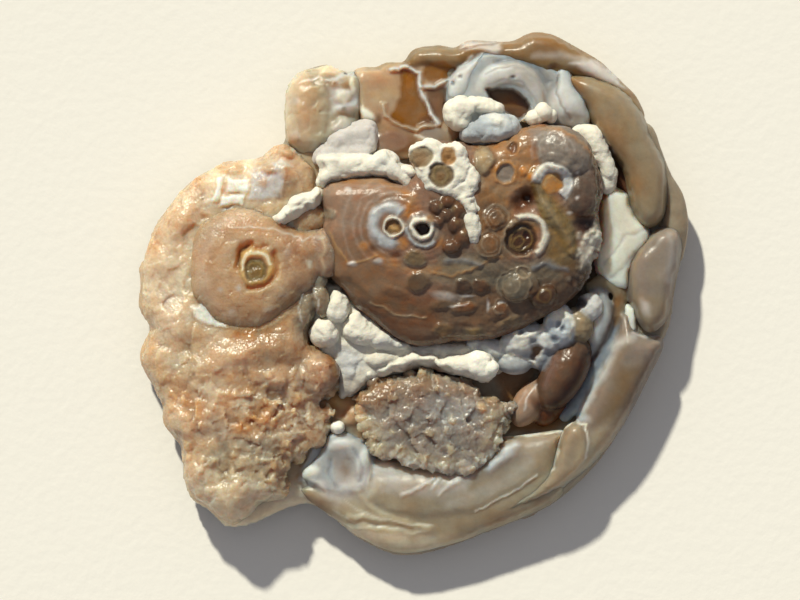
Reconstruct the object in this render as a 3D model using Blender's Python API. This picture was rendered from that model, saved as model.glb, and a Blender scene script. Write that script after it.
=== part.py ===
"""A chalcedony specimen about 62 mm across, lying on its back: worm-shaped agate lobes round the right side,
a raised rosette of small stalactite ends in the middle, a smooth flower with one large eye on the left,
white porcelain crust in the hollows and two patches of drusy quartz.

Lengths are written in millimetres and turned into metres as they are built. X runs to the right and Y to the
back of the stone as it lies, Z is up, and the stone rests on Z = 0 with its bounding box centred over the
origin. It grew as one piece, so it is one object.
"""

import math
import random

import bmesh
import bpy
import numpy as np
from mathutils import Matrix, Vector, bvhtree, geometry

MM = 0.001

# Driving dimensions
FUSE_VOXEL = 0.40          # cell in which the overlapping growths melt into one skin
ROOTING = 2.0              # how much deeper a growth's lower half reaches than its upper half stands
GAP_CLOSING = 0.1          # gaps between growths narrower than twice this are filled
FUSE_SMOOTHING = 3         # passes that round the joins between growths
STONE_TRIANGLES = 6150     # the fused skin, before its crystals
TOP_THINNING = 0.95        # how hard the top is thinned, to 1 for the underside
EYE_THINNING = 0.90        # and the skin round the stalactite ends
CONTACT_LEVEL = 0.45       # height above the lowest point at which the underside is worn flat
OUTLINE_STEP = 0.9         # spacing of points round a pillow's edge
SEED = 11

# Outlines, anticlockwise or clockwise, as the stone is seen from above
STONE_EDGE = [
    (-14.2, 18.2), (-14.3, 20.5), (-14.0, 23.4), (-12.6, 25.0), (-11.4, 25.4), (-9.4, 25.9), (-7.6, 25.1),
    (-5.0, 25.1), (-2.8, 26.1), (-1.0, 26.0), (0.1, 27.5), (2.9, 28.0), (4.8, 27.7), (6.3, 28.5), (9.5, 28.4),
    (11.4, 28.5), (13.2, 29.4), (15.6, 29.2), (18.2, 27.9), (21.0, 26.2), (23.0, 24.2), (25.0, 22.2),
    (26.1, 19.7), (27.3, 16.8), (28.7, 14.4), (28.9, 13.2), (30.0, 11.3), (30.9, 8.2), (30.9, 6.0),
    (30.2, 3.2), (29.5, 0.0), (29.0, -3.4), (27.5, -7.0), (25.6, -11.0), (24.2, -14.0), (22.0, -17.6),
    (19.3, -20.7), (16.0, -23.5), (13.0, -25.0), (8.0, -27.0), (4.0, -28.5), (0.0, -29.4), (-3.0, -29.0),
    (-6.3, -27.3), (-9.0, -25.2), (-11.4, -23.7), (-14.0, -24.2), (-17.0, -25.6), (-20.0, -26.4),
    (-21.7, -25.4), (-23.0, -24.2), (-24.8, -23.0), (-25.6, -21.0), (-25.9, -17.5), (-26.6, -16.4),
    (-27.9, -14.6), (-28.2, -12.0), (-29.5, -9.9), (-30.8, -7.2), (-30.2, -5.3), (-29.5, -3.8), (-30.3, -2.5),
    (-30.9, -1.2), (-30.6, 1.2), (-30.8, 3.2), (-29.7, 4.6), (-29.5, 6.2), (-28.6, 8.2), (-27.0, 10.4),
    (-25.6, 12.1), (-23.8, 13.5), (-22.1, 14.3), (-20.7, 15.1), (-18.2, 15.1), (-16.0, 16.0), (-14.6, 16.8),
]
SLOPE_EDGE = [
    (-29.9, 3.4), (-29.0, 6.4), (-26.6, 10.4), (-23.6, 13.0), (-20.6, 14.5), (-16.8, 15.2), (-13.0, 15.6),
    (-10.6, 13.8), (-10.2, 10.0), (-9.0, 6.0), (-9.4, 3.0), (-9.8, 0.5), (-10.3, -2.2), (-11.3, -4.6),
    (-10.4, -6.3), (-8.8, -7.6), (-8.2, -9.6), (-8.8, -11.4), (-10.2, -12.4), (-9.4, -14.0), (-9.0, -15.6),
    (-10.8, -17.0), (-12.8, -17.3), (-13.4, -18.8), (-13.9, -20.4), (-14.2, -22.5), (-16.6, -22.6),
    (-18.4, -24.4), (-20.0, -25.0), (-21.2, -23.9), (-22.6, -22.7), (-24.9, -22.0), (-25.6, -20.4),
    (-25.6, -17.6), (-26.0, -15.6), (-27.5, -14.2), (-27.9, -11.6), (-29.2, -9.6), (-30.1, -7.2),
    (-29.3, -4.0), (-30.1, -1.2),
]
CORNER_EDGE = [
    (-14.1, 17.0), (-14.2, 20.5), (-13.8, 23.4), (-12.4, 25.1), (-10.2, 25.2), (-9.2, 23.6), (-9.0, 21.0),
    (-9.4, 18.4), (-9.6, 16.4), (-12.0, 15.4),
]
FLOWER_EDGE = [
    (-24.5, 4.4), (-24.2, 6.4), (-23.0, 8.0), (-21.0, 9.2), (-18.5, 9.6), (-15.5, 8.8), (-13.0, 7.6),
    (-11.0, 7.3), (-9.6, 6.6), (-9.2, 5.0), (-9.7, 3.2), (-10.8, 1.4), (-12.3, -0.4), (-14.2, -2.4),
    (-16.2, -3.7), (-18.5, -4.1), (-20.6, -3.8), (-22.2, -2.8), (-23.5, -1.2), (-24.5, 0.4), (-24.6, 2.4),
]
ROSETTE_EDGE = [
    (-9.9, 9.2), (-10.3, 11.2), (-9.4, 12.5), (-7.5, 13.0), (-5.0, 13.2), (-3.0, 13.2), (-1.2, 12.6),
    (-0.2, 14.4), (0.4, 16.6), (2.2, 17.1), (5.2, 16.9), (7.4, 16.7), (9.6, 17.1), (12.0, 18.4), (14.5, 18.9),
    (16.8, 18.5), (18.8, 17.2), (20.2, 15.4), (20.9, 13.4), (21.2, 11.0), (20.8, 9.4), (21.0, 7.6),
    (20.7, 5.6), (20.0, 3.2), (19.3, 1.2), (17.8, -0.6), (15.8, -2.0), (13.0, -3.4), (10.5, -4.6),
    (8.0, -5.1), (4.5, -5.3), (1.0, -5.8), (-1.6, -5.0), (-4.2, -3.1), (-6.3, -1.4), (-7.6, 0.5),
    (-9.0, 1.8), (-9.4, 4.6), (-10.0, 6.6),
]
PLATE_EDGE = [
    (-6.8, -11.6), (-5.0, -10.6), (-3.2, -9.2), (-0.5, -9.0), (2.0, -8.8), (5.0, -9.3), (7.2, -10.1),
    (8.2, -11.6), (10.5, -12.1), (10.4, -14.2), (9.8, -16.2), (9.3, -17.6), (7.6, -18.9), (5.2, -20.1),
    (3.4, -20.2), (1.8, -19.3), (-0.4, -19.3), (-1.6, -17.9), (-3.2, -18.5), (-4.3, -17.0), (-5.1, -15.4),
    (-5.3, -13.6),
]
PETAL_EDGE = [
    (10.2, -15.9), (13.0, -15.5), (16.8, -15.2), (16.4, -17.4), (15.2, -19.4), (12.6, -21.0), (9.5, -22.6),
    (6.8, -24.0), (2.0, -24.6), (-2.2, -24.4), (-4.8, -22.6), (-3.6, -20.6), (0.0, -20.6), (4.0, -20.8),
    (8.0, -19.2), (9.6, -17.6),
]
CELL_EDGE = [(-5.8, 24.7), (-5.9, 22.0), (-5.0, 20.6), (-3.4, 20.4), (-3.2, 21.4), (-1.6, 21.6), (-1.3, 24.6)]
SHEET_EDGE = [(3.9, 21.4), (4.0, 23.6), (5.2, 25.2), (7.9, 27.1), (8.5, 26.6), (7.3, 24.8), (6.4, 22.0)]

# Heights of the broad surfaces, each (x, y, height above the table)
STONE_TOP = [
    (-28, 2, 4.6), (-27, -6, 4.6), (-24, -14, 5.0), (-22, -21, 5.4), (-17, -22, 5.4), (-19, -9, 5.5),
    (-24, 9, 4.8), (-20, 12, 5.6), (-15, 13, 6.2), (-11, 20, 6.4), (-7.5, 22, 6.6), (-4, 23, 6.0),
    (-1, 21.5, 4.6), (1.5, 20.5, 4.4), (2.6, 24.6, 4.8), (6, 26.5, 6.2), (13, 27.5, 6.4), (10.5, 21.5, 4.2),
    (15, 23, 5.0), (19, 25.5, 6.4), (20, 18.5, 4.0), (23, 13, 3.4), (22, 8.5, 2.9), (23, 4, 3.1),
    (24, -1.5, 3.2), (20, -8, 3.2), (15.5, -13, 2.9), (11, -10, 4.0), (4, -7, 4.2), (-2, -7, 4.4),
    (-7, -8, 4.4), (-8, -12.5, 3.2), (-8, -18.5, 3.4), (-12, -21.5, 4.6), (-5, -21, 4.8), (2, -23, 5.4),
    (10, -22, 5.6), (17, -19, 5.6), (24, -10, 5.6), (27, 0, 5.4), (27, 12, 5.4), (29.6, 9, 4.6),
    (-3, -27, 4.4), (8, -25.5, 4.6), (5, 5, 7.0), (-9, 16, 6.6), (-4, 17, 6.6), (2, 17.5, 6.4),
]
STONE_UNDER = [
    (0, 0, 0.6), (-15, -4, 0.7), (12, -10, 0.7), (12, 13, 0.7), (-8, 14, 0.9), (-20, -18, 3.0), (-22, -23, 3.6),
    (-27, 0, 1.9), (-24, 9, 1.9), (-13, 22, 2.3), (4, 25, 2.2), (17, 25, 2.0), (25, 16, 1.6), (28, 4, 1.5),
    (26, -8, 1.5), (18, -19, 1.6), (4, -25, 1.7), (-8, -23, 1.9), (-27, -12, 2.4), (0, -14, 0.9),
]
SLOPE_TOP = [
    (-28, 2, 6.2), (-28.5, -7, 6.0), (-26.5, 6.5, 6.6), (-25, 10, 6.6), (-20, 12.5, 7.4), (-14, 12.5, 8.2),
    (-12, 9.5, 8.4), (-25, 0, 7.4), (-24, -6, 7.8), (-20, -7, 8.2), (-14, -6, 8.2), (-11, -1, 8.2),
    (-25, -12, 8.0), (-20, -12, 9.0), (-14, -11, 8.4), (-10, -10, 7.4), (-23, -18, 8.2), (-19, -17, 9.2),
    (-15, -16, 8.6), (-11.5, -14.5, 6.8), (-16, -21, 8.0), (-20, -23.5, 7.8), (-24, -21, 7.4),
]
FLOWER_TOP = [
    (-18, 3, 10.9), (-21.5, 3, 10.4), (-18, 6.4, 10.5), (-18, -1, 10.3), (-14.5, 2.6, 10.5), (-22, 7, 9.6),
    (-11, 4.5, 9.9), (-23.4, 2, 9.6), (-20.5, -2.4, 9.6), (-13, 6.6, 9.9),
]
ROSETTE_TOP = [
    (-7.5, 8.5, 11.6), (-5, 10.5, 11.9), (-2, 7.4, 12.7), (1.1, 7.2, 12.7), (-7.5, 4, 10.9), (-3, 3.4, 11.7),
    (4, 8, 12.4), (4.6, 5, 12.2), (2.6, 14, 12.6), (6, 12.5, 12.2), (8, 14.6, 11.2), (10.6, 14.5, 11.3),
    (12.5, 10.4, 10.6), (15.2, 12.2, 12.0), (17, 15.6, 11.6), (19, 12, 11.0), (17, 9, 10.4), (12.1, 6.1, 12.4),
    (16, 6.4, 11.9), (9, 7, 12.0), (8.6, 4.6, 11.8), (3, 3, 11.4), (0.5, 0.8, 10.7), (-4.4, 0.6, 9.8),
    (5, 1.4, 11.0), (8.5, -1.2, 10.4), (12.5, 1.4, 11.2), (15, -0.2, 10.4), (2, -2.4, 9.6), (6, -3.6, 9.2),
    (-1.5, -3.2, 8.9), (11, -3, 9.4), (18.4, 4.6, 10.0), (19.4, 7.4, 9.6), (19.3, 2, 9.0),
]
PLATE_TOP = [
    (-4, -12, 7.4), (0, -10.5, 7.6), (5, -11, 7.8), (8.8, -13, 8.2), (0, -14, 8.4), (5, -15, 8.8),
    (-3.6, -16.6, 7.8), (1, -18, 8.2), (7.4, -17.6, 8.6), (4, -19.4, 8.0),
]

# Round worm-shaped growths: (x, y, z, radius) along each, and how tall the section is to its width
LOBES = {
    "right_upper": (0.78, [(18.4, 24.0, 6.4, 1.3), (20.4, 22.2, 6.5, 2.1), (22.2, 19.2, 6.4, 2.5),
                           (23.9, 16.0, 6.3, 2.6), (25.4, 13.0, 6.2, 2.5), (26.5, 10.4, 6.0, 2.2)]),
    "right_middle": (0.8, [(28.7, 6.4, 5.6, 1.1), (28.2, 4.0, 5.7, 1.8), (27.0, 1.2, 5.8, 2.5),
                           (26.6, -1.6, 5.8, 2.3)]),
    "right_lower": (0.72, [(26.0, -5.6, 5.2, 2.5), (24.0, -9.0, 5.2, 3.0), (22.2, -12.6, 5.1, 3.0),
                           (20.6, -16.0, 4.9, 2.9), (17.4, -20.2, 4.6, 2.7)]),
    "finger": (0.8, [(18.1, -16.4, 6.2, 1.6), (17.6, -18.6, 6.1, 1.9), (15.6, -20.8, 5.8, 1.7),
                     (12.6, -22.4, 5.5, 1.4), (9.4, -24.0, 5.1, 1.0)]),
    "front_rim": (0.7, [(15.4, -23.2, 4.2, 1.2), (8.0, -25.9, 4.2, 1.4), (2.0, -27.5, 4.2, 1.5),
                        (-3.0, -27.6, 4.2, 1.4), (-7.4, -25.2, 4.4, 1.3), (-11.0, -22.8, 4.7, 1.3)]),
    "front_fold_outer": (0.8, [(-7.6, -24.6, 5.4, 0.5), (-3.4, -25.2, 5.6, 0.7), (0.6, -25.9, 5.5, 0.6),
                               (3.0, -26.2, 5.2, 0.4)]),
    "front_fold_inner": (0.8, [(-6.0, -22.4, 5.5, 0.5), (-3.6, -23.9, 5.9, 0.7), (0.2, -24.8, 6.0, 0.7),
                               (4.4, -24.9, 5.8, 0.5)]),
    "fan_left": (0.8, [(-0.6, -22.4, 5.9, 0.4), (1.2, -21.4, 6.6, 0.6), (2.4, -20.2, 6.8, 0.6)]),
    "fan_middle": (0.8, [(2.0, -22.4, 6.1, 0.4), (3.0, -21.6, 6.7, 0.5), (4.2, -20.8, 6.8, 0.5)]),
    "fan_right": (0.8, [(3.6, -22.6, 6.0, 0.4), (4.8, -21.6, 6.5, 0.5), (6.2, -20.6, 6.7, 0.5)]),
    "petal_ridge": (0.8, [(9.0, -19.2, 6.3, 0.5), (10.6, -17.8, 6.7, 0.8), (12.6, -16.6, 6.8, 0.8),
                          (15.0, -16.2, 6.6, 0.6)]),
    "back_rim": (0.85, [(-5.4, 24.7, 5.2, 0.8), (-2.6, 25.3, 5.6, 1.0), (0.6, 26.6, 5.9, 1.3),
                        (3.4, 26.9, 6.0, 1.3), (6.4, 27.5, 6.2, 1.1), (9.6, 27.3, 6.3, 1.3),
                        (13.2, 27.7, 6.4, 1.9), (16.4, 26.9, 6.3, 2.0), (19.6, 25.6, 6.1, 1.9),
                        (22.4, 23.4, 5.8, 1.8), (24.4, 20.4, 5.4, 1.7)]),
    "outer_strip": (0.8, [(25.6, 17.6, 4.6, 1.8), (27.2, 13.4, 4.6, 1.7), (29.0, 10.6, 4.4, 1.5),
                          (29.4, 7.6, 4.4, 1.6), (29.2, 4.4, 4.2, 1.3)]),
    "rib_long": (0.9, [(-2.2, 24.8, 5.6, 0.4), (-0.6, 25.3, 5.8, 0.45), (0.8, 24.8, 5.7, 0.4),
                       (0.9, 22.8, 5.5, 0.45), (1.9, 20.6, 5.6, 0.4), (2.9, 19.0, 6.0, 0.45)]),
    "rib_side": (0.9, [(1.0, 23.2, 5.6, 0.35), (2.4, 23.1, 5.6, 0.35), (3.8, 23.8, 5.8, 0.4)]),
    "rib_low": (0.9, [(-3.1, 21.2, 6.0, 0.4), (-3.1, 19.9, 6.0, 0.4), (-1.4, 18.8, 6.3, 0.4),
                      (0.7, 18.2, 6.6, 0.45), (2.4, 18.9, 6.3, 0.4)]),
    "swirl_outer": (0.8, [(8.4, 25.3, 5.8, 0.7), (11.0, 26.0, 6.2, 0.8), (13.6, 25.3, 6.2, 0.8),
                          (15.0, 23.4, 6.0, 0.7), (15.4, 21.4, 6.0, 0.6)]),
    "swirl_middle": (0.9, [(7.3, 22.6, 6.2, 0.8), (8.4, 24.0, 6.6, 0.9), (10.4, 24.9, 6.9, 0.9),
                           (12.6, 24.3, 6.9, 0.9), (14.0, 22.6, 6.7, 0.8), (14.6, 20.6, 6.6, 0.7)]),
    "swirl_inner": (0.9, [(7.9, 22.2, 6.3, 0.5), (9.2, 23.2, 6.7, 0.5), (11.2, 23.1, 6.8, 0.5),
                          (12.8, 21.9, 6.7, 0.5), (13.3, 20.2, 6.6, 0.5)]),
    "drape_wide": (0.75, [(16.9, 24.6, 6.2, 0.7), (17.0, 22.6, 6.3, 1.1), (17.7, 20.9, 6.2, 1.5),
                          (18.5, 19.6, 5.8, 1.3)]),
    "drape_narrow": (0.8, [(15.8, 22.2, 6.0, 0.5), (16.2, 20.8, 6.2, 0.7), (17.2, 19.9, 6.0, 0.7)]),
    "crust_rope_back": (0.9, [(4.2, 19.2, 8.2, 0.9), (4.7, 20.5, 8.6, 1.2), (6.2, 21.0, 8.8, 1.15),
                              (8.0, 20.9, 8.6, 0.85), (9.6, 20.5, 8.2, 0.6), (10.9, 19.9, 7.8, 0.4)]),
    "crust_rope_right": (0.9, [(18.6, 18.0, 6.6, 0.6), (19.9, 17.7, 6.8, 0.85), (20.5, 16.6, 6.8, 0.8),
                               (21.3, 15.1, 6.6, 0.75), (21.8, 13.6, 6.4, 0.75), (21.8, 12.2, 6.0, 0.6)]),
    "crust_rope_left": (0.9, [(-16.2, 8.3, 9.2, 0.4), (-14.4, 8.5, 9.4, 0.7), (-13.0, 9.6, 9.6, 0.85),
                              (-11.3, 10.2, 9.6, 0.75), (-10.6, 11.6, 9.6, 0.6), (-9.6, 12.9, 9.8, 0.7),
                              (-7.6, 13.5, 10.0, 0.8), (-5.4, 13.7, 10.0, 0.8), (-3.2, 13.9, 10.0, 0.9),
                              (-1.8, 13.0, 10.2, 0.8), (-0.5, 11.6, 10.6, 0.5)]),
    "crust_ledge": (0.8, [(-9.8, 14.6, 8.6, 0.6), (-7.6, 14.7, 8.8, 0.9), (-5.0, 15.0, 9.0, 0.9),
                          (-3.0, 15.2, 9.0, 0.9), (-1.9, 14.6, 9.2, 0.6)]),
    "arch": (0.9, [(19.8, 0.8, 5.0, 0.6), (21.4, 1.5, 5.4, 0.7), (22.9, 0.5, 5.2, 0.7),
                   (23.1, -1.2, 4.8, 0.6), (22.0, -4.4, 4.4, 0.5), (20.3, -7.0, 4.0, 0.4)]),
    "blue_bolster": (0.9, [(20.7, -0.6, 5.2, 1.1), (21.2, -2.6, 5.2, 1.1), (20.6, -4.6, 5.0, 0.9),
                           (19.9, -6.2, 4.4, 0.6)]),
    "inner_flank": (0.8, [(23.4, -1.4, 4.4, 0.5), (22.0, -5.4, 4.5, 0.7), (20.3, -8.6, 4.4, 0.7),
                          (18.5, -11.8, 4.2, 0.6), (17.1, -13.5, 4.2, 0.6)]),
    "chain_crust": (0.9, [(-6.0, -9.9, 5.9, 0.6), (-5.2, -8.9, 6.3, 0.8), (-3.2, -8.5, 6.6, 0.8),
                          (-1.2, -7.8, 6.8, 0.9), (0.2, -7.3, 7.0, 1.0), (1.6, -7.5, 7.0, 0.9),
                          (3.0, -7.6, 7.0, 0.9), (4.8, -7.9, 7.1, 1.0), (6.4, -8.0, 7.2, 1.2)]),
    "ledge_line": (0.8, [(-5.4, -0.8, 9.9, 0.35), (-3.4, -1.8, 9.9, 0.4), (-1.2, -2.6, 9.8, 0.4),
                         (1.8, -2.6, 9.9, 0.35)]),
    "rosette_web": (0.9, [(13.6, 13.2, 11.4, 0.6), (14.0, 11.0, 11.2, 0.6), (15.3, 8.8, 11.2, 0.7),
                          (16.9, 7.2, 10.8, 0.7), (17.5, 5.0, 10.4, 0.7)]),
    "saddle_left": (0.8, [(-10.2, 2.0, 8.2, 0.8), (-11.2, 0.0, 8.0, 0.9), (-11.4, -2.4, 7.8, 0.8)]),
}

# Rounded lumps: (x, y, z, half length, half width, half height, turn in degrees)
LUMPS = {
    "corner_block": [(-9.0, 25.0, 5.4, 1.7, 0.9, 1.6, 8), (-7.4, 23.6, 6.4, 1.5, 1.0, 1.3, 0),
                     (-7.6, 21.2, 6.6, 1.3, 1.5, 1.3, 0), (-8.2, 18.8, 7.4, 1.6, 1.5, 1.3, 0)],
    "amber_back": [(2.7, 24.9, 5.0, 1.5, 1.3, 1.1, 20), (2.7, 21.2, 4.8, 1.0, 1.8, 0.9, 0),
                   (-2.3, 17.2, 7.0, 2.5, 1.2, 1.7, 8), (2.3, 17.9, 6.8, 1.6, 1.0, 1.2, 0),
                   (-5.6, 18.6, 6.8, 1.7, 1.1, 1.2, 20)],
    "boulder": [(8.3, 18.4, 8.4, 3.7, 1.8, 2.3, 6), (10.4, 18.2, 8.3, 1.7, 1.3, 1.7, 20)],
    "crust_back": [(13.6, 19.6, 7.4, 0.8, 0.7, 0.8, 0), (14.6, 20.2, 7.4, 0.8, 0.8, 0.8, 0),
                   (15.4, 19.8, 7.0, 0.6, 0.6, 0.6, 0), (-6.8, 16.6, 8.0, 2.4, 1.1, 1.0, 28),
                   (-0.3, 13.6, 10.6, 0.9, 0.35, 0.5, -20), (0.1, 11.8, 10.0, 0.5, 1.1, 0.9, 0)],
    "left_bumps": [(-17.2, -6.4, 8.0, 1.9, 1.6, 1.3, 0), (-14.4, -6.0, 8.0, 1.7, 1.4, 1.2, 0),
                   (-12.4, -6.4, 7.6, 1.4, 1.5, 1.2, 0), (-20.2, -7.4, 8.0, 1.6, 1.3, 1.2, 10),
                   (-15.2, -9.3, 8.2, 1.9, 1.4, 1.4, -15), (-10.5, -8.9, 6.9, 2.4, 2.6, 2.4, 0),
                   (-23.6, -8.6, 7.9, 1.6, 1.4, 1.2, 0), (-26.4, -3.4, 7.0, 1.8, 1.8, 1.1, 0),
                   (-27.6, 3.8, 6.4, 2.0, 1.6, 1.1, 0), (-28.6, -7.6, 5.8, 1.6, 2.0, 1.2, 0),
                   (-26.2, 8.0, 6.6, 1.8, 1.4, 1.0, 40), (-20.6, 13.2, 7.2, 1.9, 1.2, 1.2, 0),
                   (-23.6, 11.4, 6.8, 1.5, 1.3, 1.1, 30), (-16.6, 14.3, 7.2, 1.6, 0.8, 1.1, 15),
                   (-13.9, 16.4, 6.6, 0.9, 0.8, 1.0, 30), (-12.6, 14.6, 7.9, 1.8, 1.1, 1.0, -20),
                   (-24.6, -20.6, 7.2, 1.6, 1.3, 1.1, 0), (-20.4, -22.6, 7.4, 1.9, 1.6, 1.2, 30),
                   (-16.4, -20.4, 8.0, 1.6, 1.6, 1.2, 0), (-25.4, -15.0, 7.2, 1.5, 1.3, 1.2, 0)],
    "saddle_left": [(-10.2, -0.4, 7.8, 0.9, 2.3, 1.3, 12), (-11.9, -1.6, 7.8, 0.9, 2.4, 1.2, -8)],
    "white_lumps": [(-8.5, -0.3, 7.6, 0.8, 1.3, 1.3, 20), (-8.7, -2.1, 7.0, 1.4, 1.2, 1.6, 0),
                    (-9.8, -4.3, 6.6, 1.5, 1.6, 2.0, 0), (-5.9, -3.6, 6.6, 2.2, 1.6, 1.9, -28),
                    (-3.4, -5.0, 6.2, 2.4, 1.1, 1.6, -26), (-7.3, -7.1, 5.8, 1.6, 1.8, 1.7, 0),
                    (-7.6, -9.6, 4.8, 1.3, 1.4, 1.2, 0), (-3.6, -7.3, 6.2, 1.7, 0.8, 1.1, 4),
                    (7.4, -7.8, 7.4, 1.4, 1.3, 1.3, 0), (8.5, -8.3, 7.2, 1.1, 1.1, 1.2, 0),
                    (8.2, -9.1, 7.0, 0.9, 0.7, 0.9, 0), (-8.3, -14.7, 5.6, 0.65, 0.6, 0.7, 0),
                    (-8.0, -17.8, 4.4, 1.9, 1.9, 1.3, 20), (-10.6, -19.6, 4.8, 1.3, 0.9, 0.9, 25),
                    (-5.6, -18.4, 4.6, 0.9, 2.0, 1.0, -12), (-8.8, -20.4, 5.0, 1.9, 0.7, 0.8, -30)],
    "grey_lumps": [(12.3, -4.9, 5.6, 2.3, 1.5, 1.7, 22), (16.4, -3.4, 5.9, 1.5, 2.2, 1.9, 10),
                   (18.6, -3.4, 5.6, 1.2, 1.6, 1.6, 20), (14.2, -6.6, 5.0, 1.5, 1.4, 1.3, 0),
                   (11.3, -7.7, 5.4, 1.6, 1.0, 1.3, -8), (8.4, -5.9, 5.6, 1.5, 0.9, 1.2, -12),
                   (15.4, -5.0, 5.6, 1.0, 1.4, 1.4, -20), (19.4, -1.2, 4.4, 0.8, 0.8, 1.0, 0)],
    "dark_lobes": [(16.9, -8.8, 5.2, 4.6, 2.3, 2.7, 61), (13.0, -12.2, 4.6, 2.6, 1.4, 1.9, 60),
                   (15.4, -12.0, 4.0, 3.0, 1.7, 1.6, 62)],
    "rosette_domes": [(16.6, 15.6, 9.8, 3.6, 3.0, 2.7, -30), (15.8, 16.7, 10.2, 2.0, 1.6, 1.9, 0),
                      (18.6, 11.0, 9.4, 2.1, 3.0, 2.2, 0), (8.0, 14.7, 11.0, 1.0, 1.5, 0.9, 5),
                      (9.1, 8.1, 11.5, 1.4, 1.3, 0.9, 0), (8.6, 5.2, 11.3, 1.5, 1.7, 0.9, 0),
                      (14.6, -0.3, 10.0, 1.6, 1.15, 0.9, 26), (12.0, 0.8, 10.4, 2.4, 1.6, 1.2, 15),
                      (5.7, 1.1, 10.7, 0.8, 0.6, 0.7, 0), (8.0, 0.4, 10.4, 1.2, 0.8, 0.8, -15),
                      (0.6, 1.2, 10.4, 1.6, 1.0, 0.9, 0), (0.4, 3.9, 11.4, 1.3, 0.95, 0.8, 0),
                      (3.3, -4.2, 8.7, 1.3, 1.0, 0.9, 0), (7.0, -4.1, 8.6, 1.4, 0.9, 0.9, 0),
                      (-2.0, -1.0, 9.4, 2.4, 0.9, 0.9, -8), (5.6, -1.5, 9.9, 1.5, 0.7, 0.8, 0),
                      (9.8, -1.6, 9.8, 1.0, 0.9, 0.8, 0), (3.0, -0.9, 9.8, 1.3, 0.7, 0.8, 0),
                      (5.2, 3.2, 11.2, 2.0, 0.7, 0.7, 5), (14.6, 3.2, 10.9, 2.6, 0.9, 0.8, 8)],
}

# Ring-shaped walls round the stalactite ends: (x, y, z, ring radius, wall radius)
RINGS = {
    "flower_eye": [(-17.2, 3.0, 10.6, 1.75, 0.42)],
    "rosette_eyes": [(-2.0, 7.4, 12.6, 1.15, 0.3), (1.1, 7.2, 12.6, 1.05, 0.3), (1.1, 7.1, 12.2, 1.95, 0.35),
                     (12.1, 6.2, 12.2, 1.95, 0.5), (15.4, 12.2, 12.0, 1.3, 0.4), (3.2, 13.1, 12.3, 1.7, 0.4),
                     (4.1, 15.2, 12.3, 1.25, 0.4), (1.2, 15.0, 12.0, 1.5, 0.4), (10.4, 13.3, 11.3, 1.2, 0.35),
                     (5.2, 6.2, 12.2, 1.35, 0.35), (4.6, 9.3, 12.3, 1.5, 0.35), (2.6, 9.2, 12.3, 1.35, 0.35),
                     (12.3, 2.6, 11.2, 0.8, 0.25)],
}
# Open ends and hollows, pushed straight down into the skin: (x, y, radius, depth)
HOLLOWS = [
    (-2.0, 7.4, 0.95, 1.1), (1.1, 7.2, 0.85, 1.3), (12.1, 6.1, 1.6, 1.5), (10.4, 13.3, 1.0, 0.9),
    (12.4, 10.6, 1.6, 1.6), (5.2, 6.2, 1.1, 0.8), (4.6, 9.3, 1.25, 0.7), (2.6, 9.2, 1.1, 0.7),
    (11.1, 16.3, 0.7, 0.6), (15.9, 25.2, 0.8, 0.7), (10.8, 21.4, 1.4, 0.8), (-7.6, -19.2, 1.1, 0.7),
    (13.8, -6.6, 0.7, 0.6), (18.9, -1.0, 0.8, 1.0),
]
# Grooves round a stalactite end that fills its own hollow: (x, y, inner radius, outer radius, depth)
MOATS = [(-17.2, 3.0, 2.1, 2.9, 1.1), (-17.2, 3.0, 0.0, 1.35, 0.5)]

# Lumps of the underside, which is knobbly where the stone grew away from its rock
UNDER_LUMP_SPACING = 5.2
UNDER_LUMP_RADIUS = (2.4, 3.8)
UNDER_LUMP_HEIGHT = 1.3

# Drusy quartz over a region: outline, number of crystals, prism radius range, least distance apart
DRUSE = {
    "plate": (PLATE_EDGE, 27, (0.9, 1.35), 1.9),
    "slope": ([(-26.5, -9.5), (-22.0, -8.8), (-12.0, -9.8), (-10.5, -13.5), (-13.6, -21.0), (-18.0, -20.5),
               (-24.5, -19.5), (-26.5, -14.5)], 27, (0.9, 1.45), 2.1),
    "rosette_fringe": ([(18.4, 6.0), (20.3, 7.0), (20.6, 5.0), (19.8, 2.6), (18.6, 0.6), (17.6, 1.6), (18.0, 3.8)],
                       5, (0.45, 0.65), 1.1),
}
# Crystals that jut out from an edge: the line along it with the height there, which side is out, their number
DRUSE_EDGES = {
    "plate": ([(-6.0, -12.4, 7.0), (-4.8, -15.4, 7.2), (-3.9, -17.4, 7.3), (-1.6, -18.0, 7.4), (0.6, -19.0, 7.6),
               (2.6, -19.2, 7.6), (5.2, -19.6, 7.6), (7.6, -18.4, 7.8), (9.4, -16.8, 7.8), (10.0, -13.8, 7.8)],
              -1, 12),
    "slope": ([(-9.0, -7.6, 6.6), (-9.0, -10.6, 6.6), (-10.2, -12.4, 7.0), (-10.0, -14.6, 6.6),
               (-11.4, -16.6, 7.0), (-13.4, -18.2, 7.4), (-14.2, -21.2, 7.2)], 1, 9),
}
DRUSE_EDGE_RADIUS = (0.75, 1.1)
DRUSE_EDGE_BLUNT = 0.66    # width of the flat end to the prism's

COLOURS = {"stone": (0.52, 0.40, 0.29)}


def clear_scene():
    for obj in list(bpy.data.objects):
        bpy.data.objects.remove(obj, do_unlink=True)


def smooth_ring(outline, step):
    """Points at about this spacing on a smooth closed curve through the outline's own points."""
    points = np.array(outline, float)
    before, after, beyond = np.roll(points, 1, 0), np.roll(points, -1, 0), np.roll(points, -2, 0)
    ring = []
    for p0, p1, p2, p3 in zip(before, points, after, beyond):
        count = max(1, round(float(np.linalg.norm(p2 - p1)) / step))
        for i in range(count):
            t = i / count
            ring.append(0.5 * (2 * p1 + (p2 - p0) * t + (2 * p0 - 5 * p1 + 4 * p2 - p3) * t ** 2
                               + (3 * p1 - p0 - 3 * p2 + p3) * t ** 3))
    return np.array(ring)


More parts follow.
